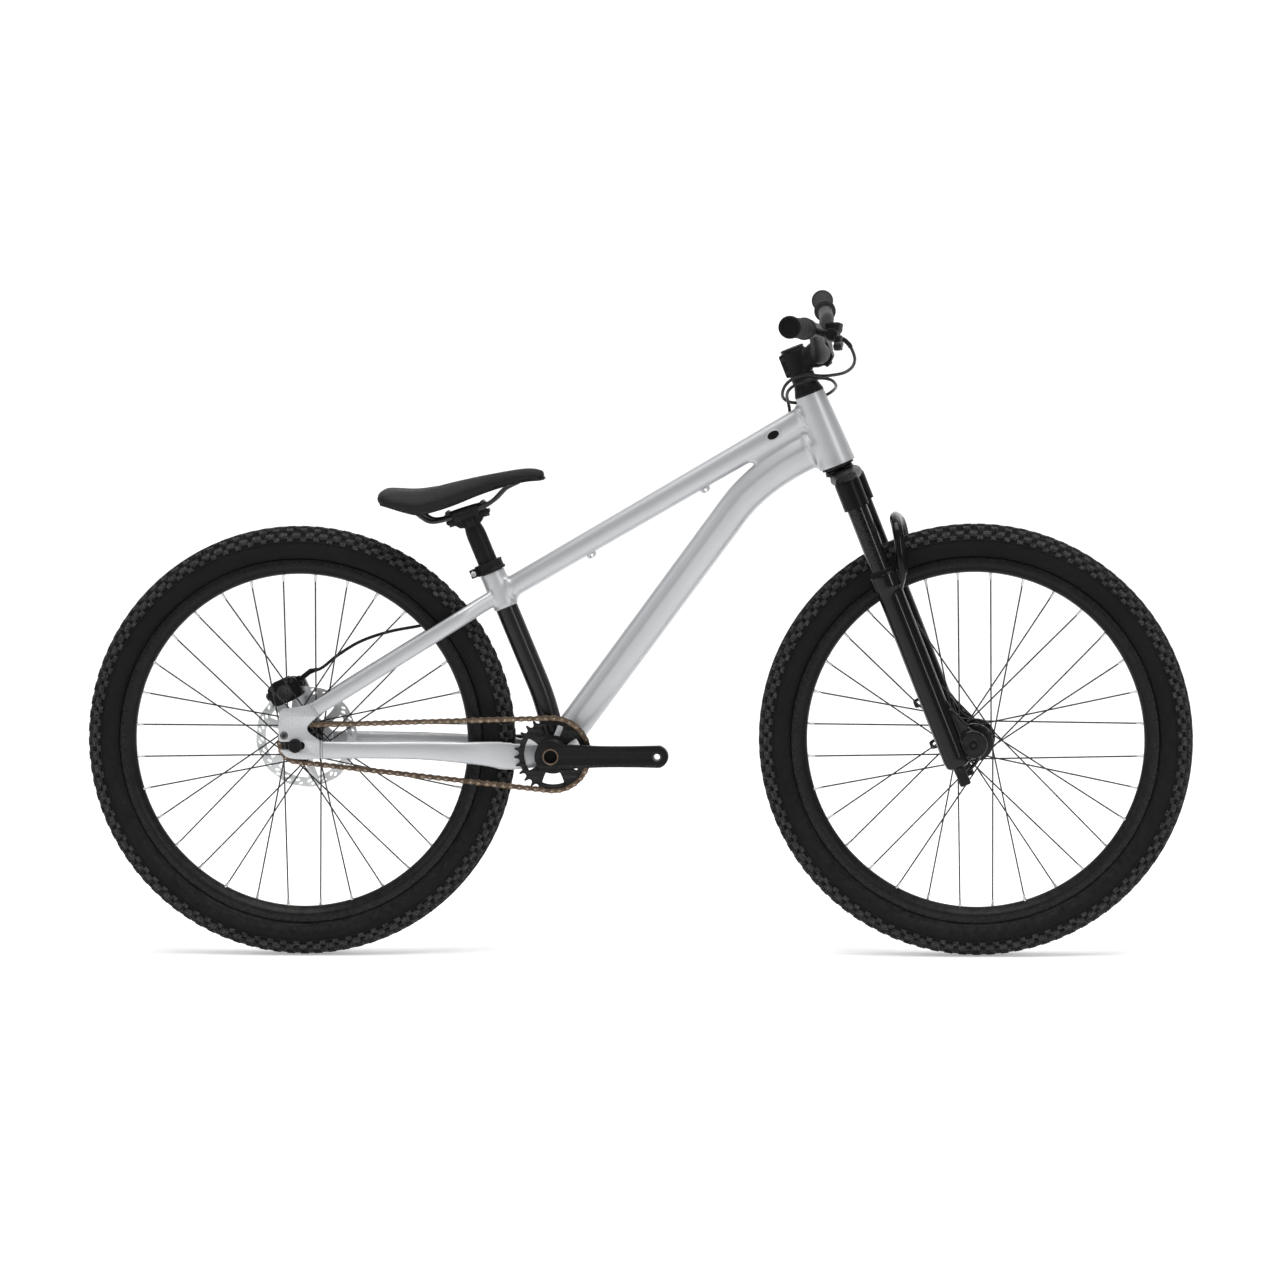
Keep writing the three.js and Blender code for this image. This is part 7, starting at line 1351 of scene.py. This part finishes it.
class BIKE_OT_cockpit(bpy.types.Operator):
    """Makes the stem, faceplate, cap, bar, grips, brake lever with its reservoir, and the hose loop"""
    bl_idname = "bike.cockpit"
    bl_label = "Stem, bar and lever"

    def execute(self, context):
        self.stem(context.scene.bike_sizes)
        self.bar()
        self.lever()
        self.reservoir()
        self.loop()
        return {"FINISHED"}

    def stem(self, sizes):
        spacer = [(14.5, 609.4), (18.4, 609.4), (18.7, 609.8), (18.7, 624.2), (18.4, 624.6), (14.5, 624.6)]
        piece("spacer_ring", [steer_lathe(spacer, turns=72, hollow=True)], "satin black", "steering",
              "headset_spacer")
        clamp = steer_lathe([(0, 625), (18.6, 625), (19, 626), (19, 664), (18.6, 665), (0, 665)])
        rings = []
        for ahead, wide, low, high in ((0, 17, 630, 660), (10, 17, 630.5, 659.5), (20, 18.5, 628, 662),
                                       (30, 21.5, 624, 666), (40.6, 22, 622, 668)):
            middle, half = (low + high) / 2, (high - low) / 2
            rings.append([spot(STEER, ahead, a * wide, middle + u * half) for a, u in BOXY_SECTION])
        rear_lug = box(STEER, (-23.5, -9, 627), (-12, 9, 663))
        cutters = [rod(spot(STEER, 40.5, -40, STEM_UP), spot(STEER, 40.5, 40, STEM_UP), 15.95, 72),
                   box(STEER, (40.7, -40, 600), (70, 40, 690)), axis_rod(STEER, 600, 690, 14.35),
                   box(STEER, (-40, -0.9, 600), (-12, 0.9, 690)),
                   steer_lathe(disc(40, 664.8, 680)), steer_lathe(disc(40, 610, 625.2))]
        cutters += [rod(spot(STEER, -18.5, -12, up), spot(STEER, -18.5, -6.5, up), 3.6, 32) for up in STEM_PINCH_BOLTS]
        fused("stem_body", [clamp, loft(rings), rear_lug], cutters, sizes.cast_voxel * 0.85, 4, "satin black",
              "steering", "stem")
        outline = [(41, 23.3), (44.4, 23.3), (47.4, 20.6), *arc(20.2, 62, -62, 18, 40)[1:-1], (47.4, -20.6),
                   (44.4, -23.3), (41, -23.3), (41, -15.96), *arc(15.98, -86, 86, 24, 40), (41, 15.96)]
        outline = [(min(x, 48.9 if abs(z) > 17 else 56.4), z + STEM_UP) for x, z in outline]
        shapes = [plate(outline, low, high, base=STEER) for low, high in ((-21.8, -7.5), (7.5, 21.8))]
        shapes.append(plate([(x, z) for x, z in outline if 630 < z < 660], -7.6, 7.6, base=STEER))
        piece("stem_faceplate_bands", shapes, "satin black", "steering", "stem_faceplate", bevel=0.8)
        bolts = [bolt_head(spot(STEER, -18.5, -7, up), -CROSSWISE, 3.3, 3.4, 0.5, 28) for up in STEM_PINCH_BOLTS]
        bolts += [bolt_head(spot(STEER, 46.8, side * 14.6, up), STEER[1], 3.2, 2.4, 0.55, 28)
                  for side, _ in SIDES for up in (625.8, 664.2)]
        piece("stem_bolts", bolts, "dark steel", "steering")
        cap = [(0, 665.3), (18, 665.3), (18.7, 666), (18.7, 667.6), (17.4, 669), (6, 669.3), (5.4, 668.6), (0, 668.6)]
        piece("top_cap_disc", [steer_lathe(cap, turns=72)], "satin black", "steering", "top_cap")
        piece("top_cap_bolt", [bolt_head(spot(STEER, 0, 0, 667.6), STEER[2], 4.6, 1.6, 0.6)], "dark steel", "steering")

    def bar(self):
        places, sizes = np.linspace(-383, 383, 180), []
        for y in places:
            share = min(max((abs(y) - 34) / 56, 0), 1)
            sizes.append(15.85 - (15.85 - 11.1) * share * share * (3 - 2 * share))
        piece("bar_tube", [sweep([bar_place(y) for y in places], sizes, 40)], "satin black", "steering", "handlebar")
        cap = [(0, 2.4), (16.9, 2.4), (17.2, 3.1), (17, 4.7), (15.6, 5.9), (12.2, 5.9), (11.6, 5), (0, 5)]
        for side, label in SIDES:
            piece(f"grip_{label}_sleeve", [ribbed_grip(side)], "grip rubber", "steering", f"grip_{label}", crease=30)
            end = side * BAR_END
            piece(f"grip_{label}_cap", [revolve(cap, bar_place(end), bar_run(end) * side, 48)], "cap rubber",
                  "steering")

    def barrel(self):
        """The two ends of the brake lever's barrel."""
        at = bar_place(LEVER_ACROSS)
        return vec(at[0] + 44.3, -193, at[2] - 15.5), vec(at[0] + 38, -259, at[2] - 6)

    def lever(self):
        at, (inner, outer) = bar_place(LEVER_ACROSS), self.barrel()
        clamp = revolve(mirrored([(11.3, 7), (15.1, 7), (15.5, 6.6)]), at, bar_run(LEVER_ACROSS), 56, hollow=True)
        axis, length = unit(outer - inner), np.linalg.norm(outer - inner)
        body = [(0, 0), (5.4, 0), (6.2, 0.8), (6.3, 10), (7, 15), (8.6, 24), (9.3, 32), (9.5, length - 3),
                (8.6, length - 1), (0, length - 1)]
        near, far = at + vec(12, 0, -2), at + vec(34, -4, -9)
        arm = sweep([near, (near + far) / 2, far], (7, 5.5), shares=BOXY_SECTION)
        start = vec(*LOOP_POINTS[0])
        banjo = smooth_path([inner + axis * 4, inner + vec(9, -5, -2), start, start + vec(2.2, 5.5, -4.2)], 5)
        piece("master_cylinder", [clamp, revolve(body, inner, axis, 48), arm, sweep(banjo, 3.5, 20)], "satin black",
              "steering", "brake_master", bevel=0.5)
        ring = softened([(-13, 0), (-13, 10), (2, 7.6), (8, 4), (8, -4), (2, -7.6), (-13, -10)])
        yoke = [loft([[HINGE + vec(z * 0.75, -x, y) for x, z in ring] for y in ends])
                for ends in ((-10.9, -5.2), (5.2, 10.9))]
        piece("lever_clevis", yoke, "satin black", "steering", bevel=0.4)
        blade = smooth_path([HINGE + vec(12 * s, -92 * a, 0) for a, s in (
            (0, 0), (0.12, 0.2), (0.25, 0.55), (0.55, 0.5), (0.8, 0.2), (0.96, 0.4))])
        sizes = [(3.4, 4.9 - 0.9 * i / len(blade)) for i in range(len(blade))]
        ball = [(0, -6.5), (2.6, -6), (4.8, -4.4), (6.2, -2), (6.5, 0), (6.2, 2), (4.8, 4.4), (2.6, 6), (0, 6.5)]
        root = vec(0, 0, 4.9)
        piece("lever_blade", [sweep(blade, sizes, shares=SQUIRCLE, across=(1, 0, 0)),
                              cross_lathe(ball, blade[-1], 32), rod(HINGE - root, HINGE + root, 6, 32, chamfer=0.5)],
              "satin black", "brake_lever", "brake_lever", crease=50)

    def reservoir(self):
        inner, outer = self.barrel()
        side = unit(outer - inner)
        ahead = unit(np.cross((0, 0, 1), side))
        up = unit(np.cross(side, ahead))
        middle = (inner + outer) / 2 + vec(0, -2, 12.4)
        rings = [[middle + up * rise + ahead * x * a + side * y * b for x, y in SQUIRCLE]
                 for rise, a, b in ((-8, 9, 20), (-4.5, 12, 23), (3.6, 12.6, 23.6), (3.7, 13, 24), (6.2, 13, 24),
                                    (6.6, 12.4, 23.4))]
        piece("reservoir", [loft(rings)], "shell plastic", "steering", crease=30)
        screws = [bolt_head(middle + up * 6.4 + side * s * 19.5 + ahead * s * 8, up, 2.2, 0.5, 0.55, 20)
                  for s, _ in SIDES]
        half = vec(0, 0, 11.2)
        pivot = rod(HINGE - half, HINGE + half, 2.9, 24, chamfer=0.4)
        piece("lever_screws", [*screws, pivot], "dark steel", "steering")

    def loop(self):
        path = smooth_path(LOOP_POINTS, 6)
        hose = object_of("hose_turns", mesh_of("hose_turns", [sweep(path, HOSE_RADIUS, 16)]))
        smooth_shaded(hose.data).materials.append(finish_of("hose plastic"))
        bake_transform(hose)
        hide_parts("hose_loop")


# Seat

SADDLE_STATIONS = ((0, .95, .74, .74), (.043, 1, .66, .92), (.128, .885, .46, .98), (.221, .775, .285, 1),
                   (.322, .715, .25, .86), (.438, .69, .25, .62), (.593, .662, .29, .4), (.748, .607, .3, .31),
                   (.884, .54, .26, .27), (.957, .46, .2, .22), (1, .36, .19, .13))
SADDLE_BACK, SADDLE_LENGTH, SADDLE_HALF, SADDLE_HEIGHT = -123, 258, 67, 72.5
RAIL_OUT, SEAM_SHARE = 22, 0.42

# How the cover swells as cloth; the reach of a seam and the most it may swell are in metres
SWELL = {
    "quality": 6, "mass": 0.3, "tension_stiffness": 25, "compression_stiffness": 25, "shear_stiffness": 12,
    "bending_stiffness": 2, "use_pressure": True, "uniform_pressure_force": 4, "vertex_group_mass": "held",
    "pin_stiffness": 5,
}
SWELL_FRAMES, SEAM_REACH, SWELL_LIMIT = 20, 0.0032, 0.0016


def saddle_stations(shrink=0.0, half_share=1.0):
    """How far ahead the saddle's sections are, with half width, top and skirt of each."""
    for along, top, skirt, half in smooth_path(SADDLE_STATIONS, 4):
        ahead = SADDLE_BACK + shrink + (SADDLE_LENGTH - 2 * shrink) * along
        yield ahead, SADDLE_HALF * half * half_share - shrink, SADDLE_HEIGHT * top - shrink, SADDLE_HEIGHT * skirt


def saddle_rings(shrink):
    """Closed sections of the padded cover, crowned over the top and hollow beneath."""
    crown = [(0.96, 0), (1, 0.3), (0.9, 0.72), (0.55, 0.96), (0, 1)]
    rings = []
    for ahead, wide, high, low in saddle_stations(shrink):
        wide = max(wide, 2.0)
        right = [tuple(p) for p in smooth_path([(a * wide, low + u * (high - low)) for a, u in crown], 3)]
        beneath = [(0.5 * wide, low + 0.16 * (high - low)), (0.85 * wide, low)]
        outline = [*right, *((-y, z) for y, z in right[-2::-1]), *((-y, z) for y, z in beneath[::-1]),
                   (0, low + 0.2 * (high - low)), *beneath]
        rings.append([spot(SADDLE, ahead, y, z) for y, z in outline])
    return rings


def seam_path(side):
    """A line along one side of the cover, between the skirt and the crown."""
    return [spot(SADDLE, ahead, side * wide * 0.985, low + SEAM_SHARE * (high - low))
            for ahead, wide, high, low in list(saddle_stations())[2:-2]]


class BIKE_OT_seat(bpy.types.Operator):
    """Makes the seatpost, its clamp and bolts, the rails, the base shell and the padded cover with its seams"""
    bl_idname = "bike.seat"
    bl_label = "Seatpost and saddle"

    def execute(self, context):
        self.post()
        self.rails()
        self.cover(context.scene.bike_sizes)
        return {"FINISHED"}

    def post(self):
        post = [(0, -130), (14.6, -130), (15.45, -129.2), (15.45, 62), (14.9, 70), (13.4, 78), (12.6, 84), (0, 84)]
        top, cradle = spot(SEAT, 0, 0, 76), spot(SADDLE, 0, 0, -8)
        neck = loft([[top + 13.2 * (a * SEAT[1] + b * CROSSWISE) for a, b in ROUND_SECTION],
                     [cradle + 13 * a * SADDLE[1] + 15 * b * CROSSWISE for a, b in ROUND_SECTION]])
        cradle = [(-22, -4), (-15, -9), (15, -9), (22, -4), (22, -0.6), (-22, -0.6)]
        ears = [(-35, -3), (-35, -12), (-24, -14), (-15, -24), (15, -24), (24, -14), (35, -12), (35, -3)]
        upper = [(-22, 0.6), (22, 0.6), (22, 4), (16, 6.5), (-16, 6.5), (-22, 4)]
        wings = [(-35, 1), (35, 1), (35, 6.4), (20, 8.4), (-20, 8.4), (-35, 6.4)]
        cradle, ears, upper, wings = (plate(softened(outline, 1), -half, half, base=SADDLE) for outline, half in (
            (cradle, 26.8), (ears, 9), (upper, 26.8), (wings, 8)))
        piece("seatpost_tube", [seat_lathe(post, 72), neck, cradle, ears], "satin black", "seatpost", "seatpost",
              bevel=0.7)
        piece("saddle_clamp_plate", [upper, wings], "satin black", "seatpost", "saddle_clamp", bevel=0.7)
        for ahead, label in ((28.5, "front"), (-28.5, "rear")):
            shaft = rod(spot(SADDLE, ahead, 0, -14), spot(SADDLE, ahead, 0, 10), 2.45, 24)
            head = bolt_head(spot(SADDLE, ahead, 0, -11), -SADDLE[2], 4.5, 5, 0.55)
            nut = cross_lathe(disc(3.9, -9, 9), spot(SADDLE, ahead, 0, 6.6), 32)
            piece(f"saddle_bolt_{label}_screw", [shaft, head, nut], "dark steel", "seatpost", f"saddle_bolt_{label}")

    def rails(self):
        shares = ((-.33, 1.22, .56), (-.28, 1.16, .3), (-.225, 1.06, .06), (-.17, 1, 0), (0, 1, 0), (.1, 1, 0),
                  (.18, .9, .07), (.27, .72, .235), (.33, .5, .275), (.352, 0, .28))
        half = [spot(SADDLE, a * SADDLE_LENGTH, y * RAIL_OUT, z * SADDLE_HEIGHT) for a, y, z in shares]
        whole = half + [p * vec(1, -1, 1) for p in half[-2::-1]]
        piece("rail_loop", [sweep(smooth_path(whole, 6), 3.5, 20)], "dark steel", "seatpost", "saddle_rails",
              crease=60)

    def cover(self, sizes):
        rings = []
        for ahead, wide, high, low in list(saddle_stations(half_share=0.84))[1:-1]:
            rise = 0.2 * (high - low)
            outline = [(-1, -1.6), (-0.5, rise - 3.2), (0.5, rise - 3.2), (1, -1.6), (1, 1), (0.5, rise), (-0.5, rise),
                       (-1, 1)]
            rings.append([spot(SADDLE, ahead, wide * a, low + u) for a, u in outline])
        piece("saddle_base_shell", [loft(rings)], "shell plastic", "seatpost", "saddle_shell", crease=40)
        cushion = object_of("saddle_padding", mesh_of("saddle_padding", [loft(saddle_rings(1.2))]))
        melt(cushion, sizes.cover_voxel)
        settle(cushion)
        self.inflate(cushion)
        modified(cushion, "SUBSURF", levels=1, render_levels=1)
        settle(cushion)
        dressed(cushion, "saddle skin", "seatpost", "saddle_cover", crease=80)
        seams = [sweep(self.pressed(cushion, smooth_path(seam_path(side), 3)), 0.75, 8) for side, _ in SIDES]
        piece("saddle_seams", seams, "seam thread", "seatpost", crease=80)

    def pressed(self, cushion, path):
        """Lays a path onto the nearest places of the cushion's skin."""
        laid = []
        for point in path:
            found, nearest, _, _ = cushion.closest_point_on_mesh(Vector((point * MM).tolist()))
            laid.append(np.array(nearest) / MM if found else point)
        for _ in range(3):
            middle = [(laid[i - 1] + laid[i] * 2 + laid[i + 1]) / 4 for i in range(1, len(laid) - 1)]
            laid = [laid[0], *middle, laid[-1]]
        return laid

    def inflate(self, cushion):
        """Lets the cover swell and crease as cloth held along its skirt and seams."""
        seams = np.array([p * MM for side, _ in SIDES for p in smooth_path(seam_path(side), 4)])
        held = cushion.vertex_groups.new(name="held")
        for vertex in cushion.data.vertices:
            beneath = np.dot(np.array(vertex.normal), SADDLE[2]) < -0.25
            if beneath or np.min(np.linalg.norm(seams - np.array(vertex.co), axis=1)) < SEAM_REACH:
                held.add([vertex.index], 1.0, "REPLACE")
        cloth = modified(cushion, "CLOTH")
        for key, value in SWELL.items():
            setattr(cloth.settings, key, value)
        cloth.settings.effector_weights.gravity = 0
        cloth.collision_settings.use_collision = False
        cloth.point_cache.frame_start, cloth.point_cache.frame_end = 1, SWELL_FRAMES
        rest = np.array([v.co[:] for v in cushion.data.vertices])
        scene = bpy.context.scene
        for number in range(1, SWELL_FRAMES + 1):
            scene.frame_set(number)
        ready = cushion.evaluated_get(bpy.context.evaluated_depsgraph_get())
        swollen = np.array([v.co[:] for v in ready.data.vertices])
        scene.frame_set(1)
        cushion.modifiers.remove(cloth)
        shift = swollen - rest
        reach = np.linalg.norm(shift, axis=1)
        shift *= (np.minimum(reach, SWELL_LIMIT) / np.maximum(reach, 1e-9))[:, None]
        cushion.data.vertices.foreach_set("co", (rest + shift).ravel())
        cushion.data.update()


# Studio

def camera_matrix(place, target, roll):
    ahead = unit(vec(*target) - vec(*place))
    right = unit(np.cross(ahead, (0, 0, 1)))
    up = np.cross(right, ahead)
    matrix = np.identity(4)
    matrix[:3, 0] = right * cos(roll) + up * sin(roll)
    matrix[:3, 1] = up * cos(roll) - right * sin(roll)
    matrix[:3, 2] = -ahead
    matrix[:3, 3] = vec(*place) * MM
    return Matrix(matrix)


def area_light(name, place, target, size, power, tint):
    light = bpy.data.lights.new(name, "AREA")
    light.shape, light.size, light.size_y = "RECTANGLE", *size
    light.energy, light.color = power, tint
    lamp = object_of(name, light)
    lamp.location = place
    lamp.rotation_euler = (Vector(target) - Vector(place)).to_track_quat("-Z", "Y").to_euler()


def studio_white():
    """A near-white floor with a faint mottle, never one flat value, which a camera behind it sees through."""
    material, tree = blank_material("studio white")
    drift = effect(tree, "drift", {
        "Colour": (0.93, 0.93, 0.93, 1), "Second Colour": (0.91, 0.91, 0.91, 1), "Size": 1.5, "Mottle": 0.3,
        "Roughness": 0.85, "Roughness Spread": 0.04,
    })
    shader = node(tree, "BsdfPrincipled", {
        "Base Color": drift["Colour"], "Roughness": drift["Roughness"], "Metallic": 0.0, "IOR": 1.3,
        "Emission Color": WHITE, "Emission Strength": 0.32,
    })
    side, ray = node(tree, "NewGeometry").outputs, node(tree, "LightPath").outputs
    hidden = product(tree, side["Backfacing"], ray["Is Camera Ray"])
    clear = node(tree, "BsdfTransparent")
    mixed = node(tree, "MixShader", {0: hidden, 1: shader.outputs[0], 2: clear.outputs[0]})
    node(tree, "OutputMaterial", {"Surface": mixed.outputs[0]})
    return material


class BIKE_OT_camera(bpy.types.Operator):
    """Places the camera where the photo was taken from"""
    bl_idname = "bike.camera"
    bl_label = "Camera"

    def execute(self, context):
        lens = bpy.data.cameras.new("studio camera")
        lens.lens, lens.sensor_width, lens.sensor_fit = 190.97, 36, "HORIZONTAL"
        lens.clip_end = 100
        camera = object_of("studio_camera", lens)
        camera.matrix_world = camera_matrix((953.6, -10443.0, 1547.3), (6.2, 0, 492.2), -0.0110)
        context.scene.camera = camera
        return {"FINISHED"}


class BIKE_OT_studio(bpy.types.Operator):
    """Lays the curved white backdrop and sets the soft lights"""
    bl_idname = "bike.studio"
    bl_label = "Floor, backdrop and lights"

    def execute(self, context):
        looks = context.scene.bike_sizes
        wide, front, back, bend, height = 9.0, -9.0, 3.2, 2.4, 9.0
        curve = [(back + bend * sin(a), bend * (1 - cos(a))) for a in np.linspace(0.1, pi / 2, 16)]
        profile = [(front, 0.0), (back, 0.0), *curve, (back + bend, height)]
        points = [(x, y, z) for y, z in profile for x in (-wide, wide)]
        faces = [(i, i + 1, i + 3, i + 2) for i in range(0, len(points) - 2, 2)]
        mesh = bpy.data.meshes.new("studio_sweep")
        mesh.from_pydata(points, [], faces)
        smooth_shaded(mesh).materials.append(studio_white())
        object_of("studio_sweep", mesh)
        power = looks.light_power
        area_light("light_above", (0.2, -0.6, 4.6), (0, 0, 0.3), (5.0, 3.4), 230 * power, (1, 1, 1))
        area_light("light_right", (4.2, -4.0, 2.6), (0, 0, 0.5), (0.7, 2.8), 60 * power, (1, 0.995, 0.985))
        area_light("light_left", (-5.0, -1.6, 2.4), (0, 0, 0.5), (0.4, 3.0), 30 * power, (0.985, 0.99, 1))
        world = bpy.data.worlds.new("studio air")
        world.use_nodes = True
        tree = world.node_tree
        tree.nodes.clear()
        ray = node(tree, "LightPath").outputs["Is Camera Ray"]
        seen = node(tree, "Background", {"Color": WHITE, "Strength": 1.0}).outputs[0]
        air = node(tree, "Background", {"Color": WHITE, "Strength": 0.26 * power}).outputs[0]
        share = node(tree, "MixShader", {0: ray, 1: air, 2: seen})
        node(tree, "OutputWorld", {"Surface": share.outputs[0]})
        context.scene.world = world
        context.scene.view_settings.view_transform = "Standard"
        context.scene.view_settings.look = "None"
        context.scene.view_settings.exposure = looks.exposure
        return {"FINISHED"}


# What a user may set

def colour_of(name, description, value):
    return FloatVectorProperty(name=name, description=description, default=value, size=3, subtype="COLOR", min=0,
                               max=1)


class BikeColours(bpy.types.PropertyGroup):
    frame_silver: colour_of("Frame silver", "Silver of the frame tubes", (0.50, 0.51, 0.525))
    satin_black: colour_of("Satin black", "Black of the alloy parts", (0.009, 0.009, 0.0095))
    fork_black: colour_of("Fork black", "Gloss black of the fork", (0.0035, 0.0035, 0.0038))
    dark_steel: colour_of("Dark steel", "Steel of the bolts and rails", (0.045, 0.045, 0.048))
    bright_steel: colour_of("Bright steel", "Steel of the rotor and nipples", (0.62, 0.63, 0.64))
    chain_bronze: colour_of("Chain bronze", "Brown steel of the chain", (0.16, 0.11, 0.075))
    rivet_steel: colour_of("Rivet steel", "Steel of the chain pins", (0.3, 0.25, 0.2))
    pad_compound: colour_of("Pad compound", "Brown of the brake pads", (0.1, 0.09, 0.08))
    tyre_rubber: colour_of("Tyre rubber", "Rubber of the sidewalls", (0.010, 0.0103, 0.011))
    tread_rubber: colour_of("Tread rubber", "Rubber of the tread blocks", (0.017, 0.0172, 0.018))
    grip_grey: colour_of("Grip grey", "Rubber of the grips", (0.035, 0.035, 0.036))
    # Besides seals and the hose, this colour paints the shade in the crank bores and the seat collar's slit
    seal_black: colour_of("Seal black", "Rubber of the seals and the hose", (0.007, 0.007, 0.0075))
    saddle_grey: colour_of("Saddle grey", "Skin of the saddle", (0.017, 0.017, 0.0185))


class BikeSizes(bpy.types.PropertyGroup):
    spoke_diameter: FloatProperty(name="Spoke diameter", description="Thickness of a spoke", default=0.0024,
                                  unit="LENGTH", min=0.0015, max=0.003)
    tread_blocks: IntProperty(name="Tread blocks", description="Blocks in one row round a tyre", default=96, min=40,
                              max=140)
    weld_voxel: FloatProperty(name="Weld fineness", description="Cell of the frame's welded skin in millimetres",
                              default=1.9, min=1.0, max=6.0)
    weld_rounds: IntProperty(name="Weld rounds", description="Smoothing rounds of the frame's welds", default=14,
                             min=0, max=40)
    cast_voxel: FloatProperty(name="Casting fineness", description="Cell of the cast pieces in millimetres",
                              default=1.5, min=0.8, max=6.0)
    cover_voxel: FloatProperty(name="Cover fineness", description="Cell of the saddle's cover in millimetres",
                               default=4.2, min=2.0, max=10.0)
    light_power: FloatProperty(name="Light power", description="Strength of all the studio's lights", default=1.0,
                               min=0.0, max=5.0)
    exposure: FloatProperty(name="Exposure", description="Brightness of the whole picture", default=0.0, min=-3.0,
                            max=3.0)


OPERATORS = (BIKE_OT_camera, BIKE_OT_frame, BIKE_OT_fork, BIKE_OT_tyres, BIKE_OT_wheels, BIKE_OT_drive, BIKE_OT_brake,
             BIKE_OT_cockpit, BIKE_OT_seat, BIKE_OT_studio)


class BIKE_PT_panel(bpy.types.Panel):
    """Lists the bike's pieces with its sizes and colours"""
    bl_idname = "BIKE_PT_panel"
    bl_label = "Dirt jump bike"
    bl_space_type = "VIEW_3D"
    bl_region_type = "UI"
    bl_category = "Bike"

    def draw(self, context):
        layout = self.layout
        for operator in OPERATORS:
            layout.operator(operator.bl_idname)
        for group in (context.scene.bike_sizes, context.scene.bike_colours):
            column = layout.column()
            for name in group.bl_rna.properties.keys():
                if name not in ("rna_type", "name"):
                    column.prop(group, name)


CLASSES = (BikeColours, BikeSizes, *OPERATORS, BIKE_PT_panel)


def register():
    for each in CLASSES:
        bpy.utils.register_class(each)
    bpy.types.Scene.bike_colours = PointerProperty(type=BikeColours)
    bpy.types.Scene.bike_sizes = PointerProperty(type=BikeSizes)


def unregister():
    del bpy.types.Scene.bike_colours
    del bpy.types.Scene.bike_sizes
    for each in reversed(CLASSES):
        bpy.utils.unregister_class(each)


def main():
    register()
    for make in (bpy.ops.bike.camera, bpy.ops.bike.frame, bpy.ops.bike.fork, bpy.ops.bike.tyres, bpy.ops.bike.wheels,
                 bpy.ops.bike.drive, bpy.ops.bike.brake, bpy.ops.bike.cockpit, bpy.ops.bike.seat,
                 bpy.ops.bike.studio):
        make()


if __name__ == "__main__":
    main()
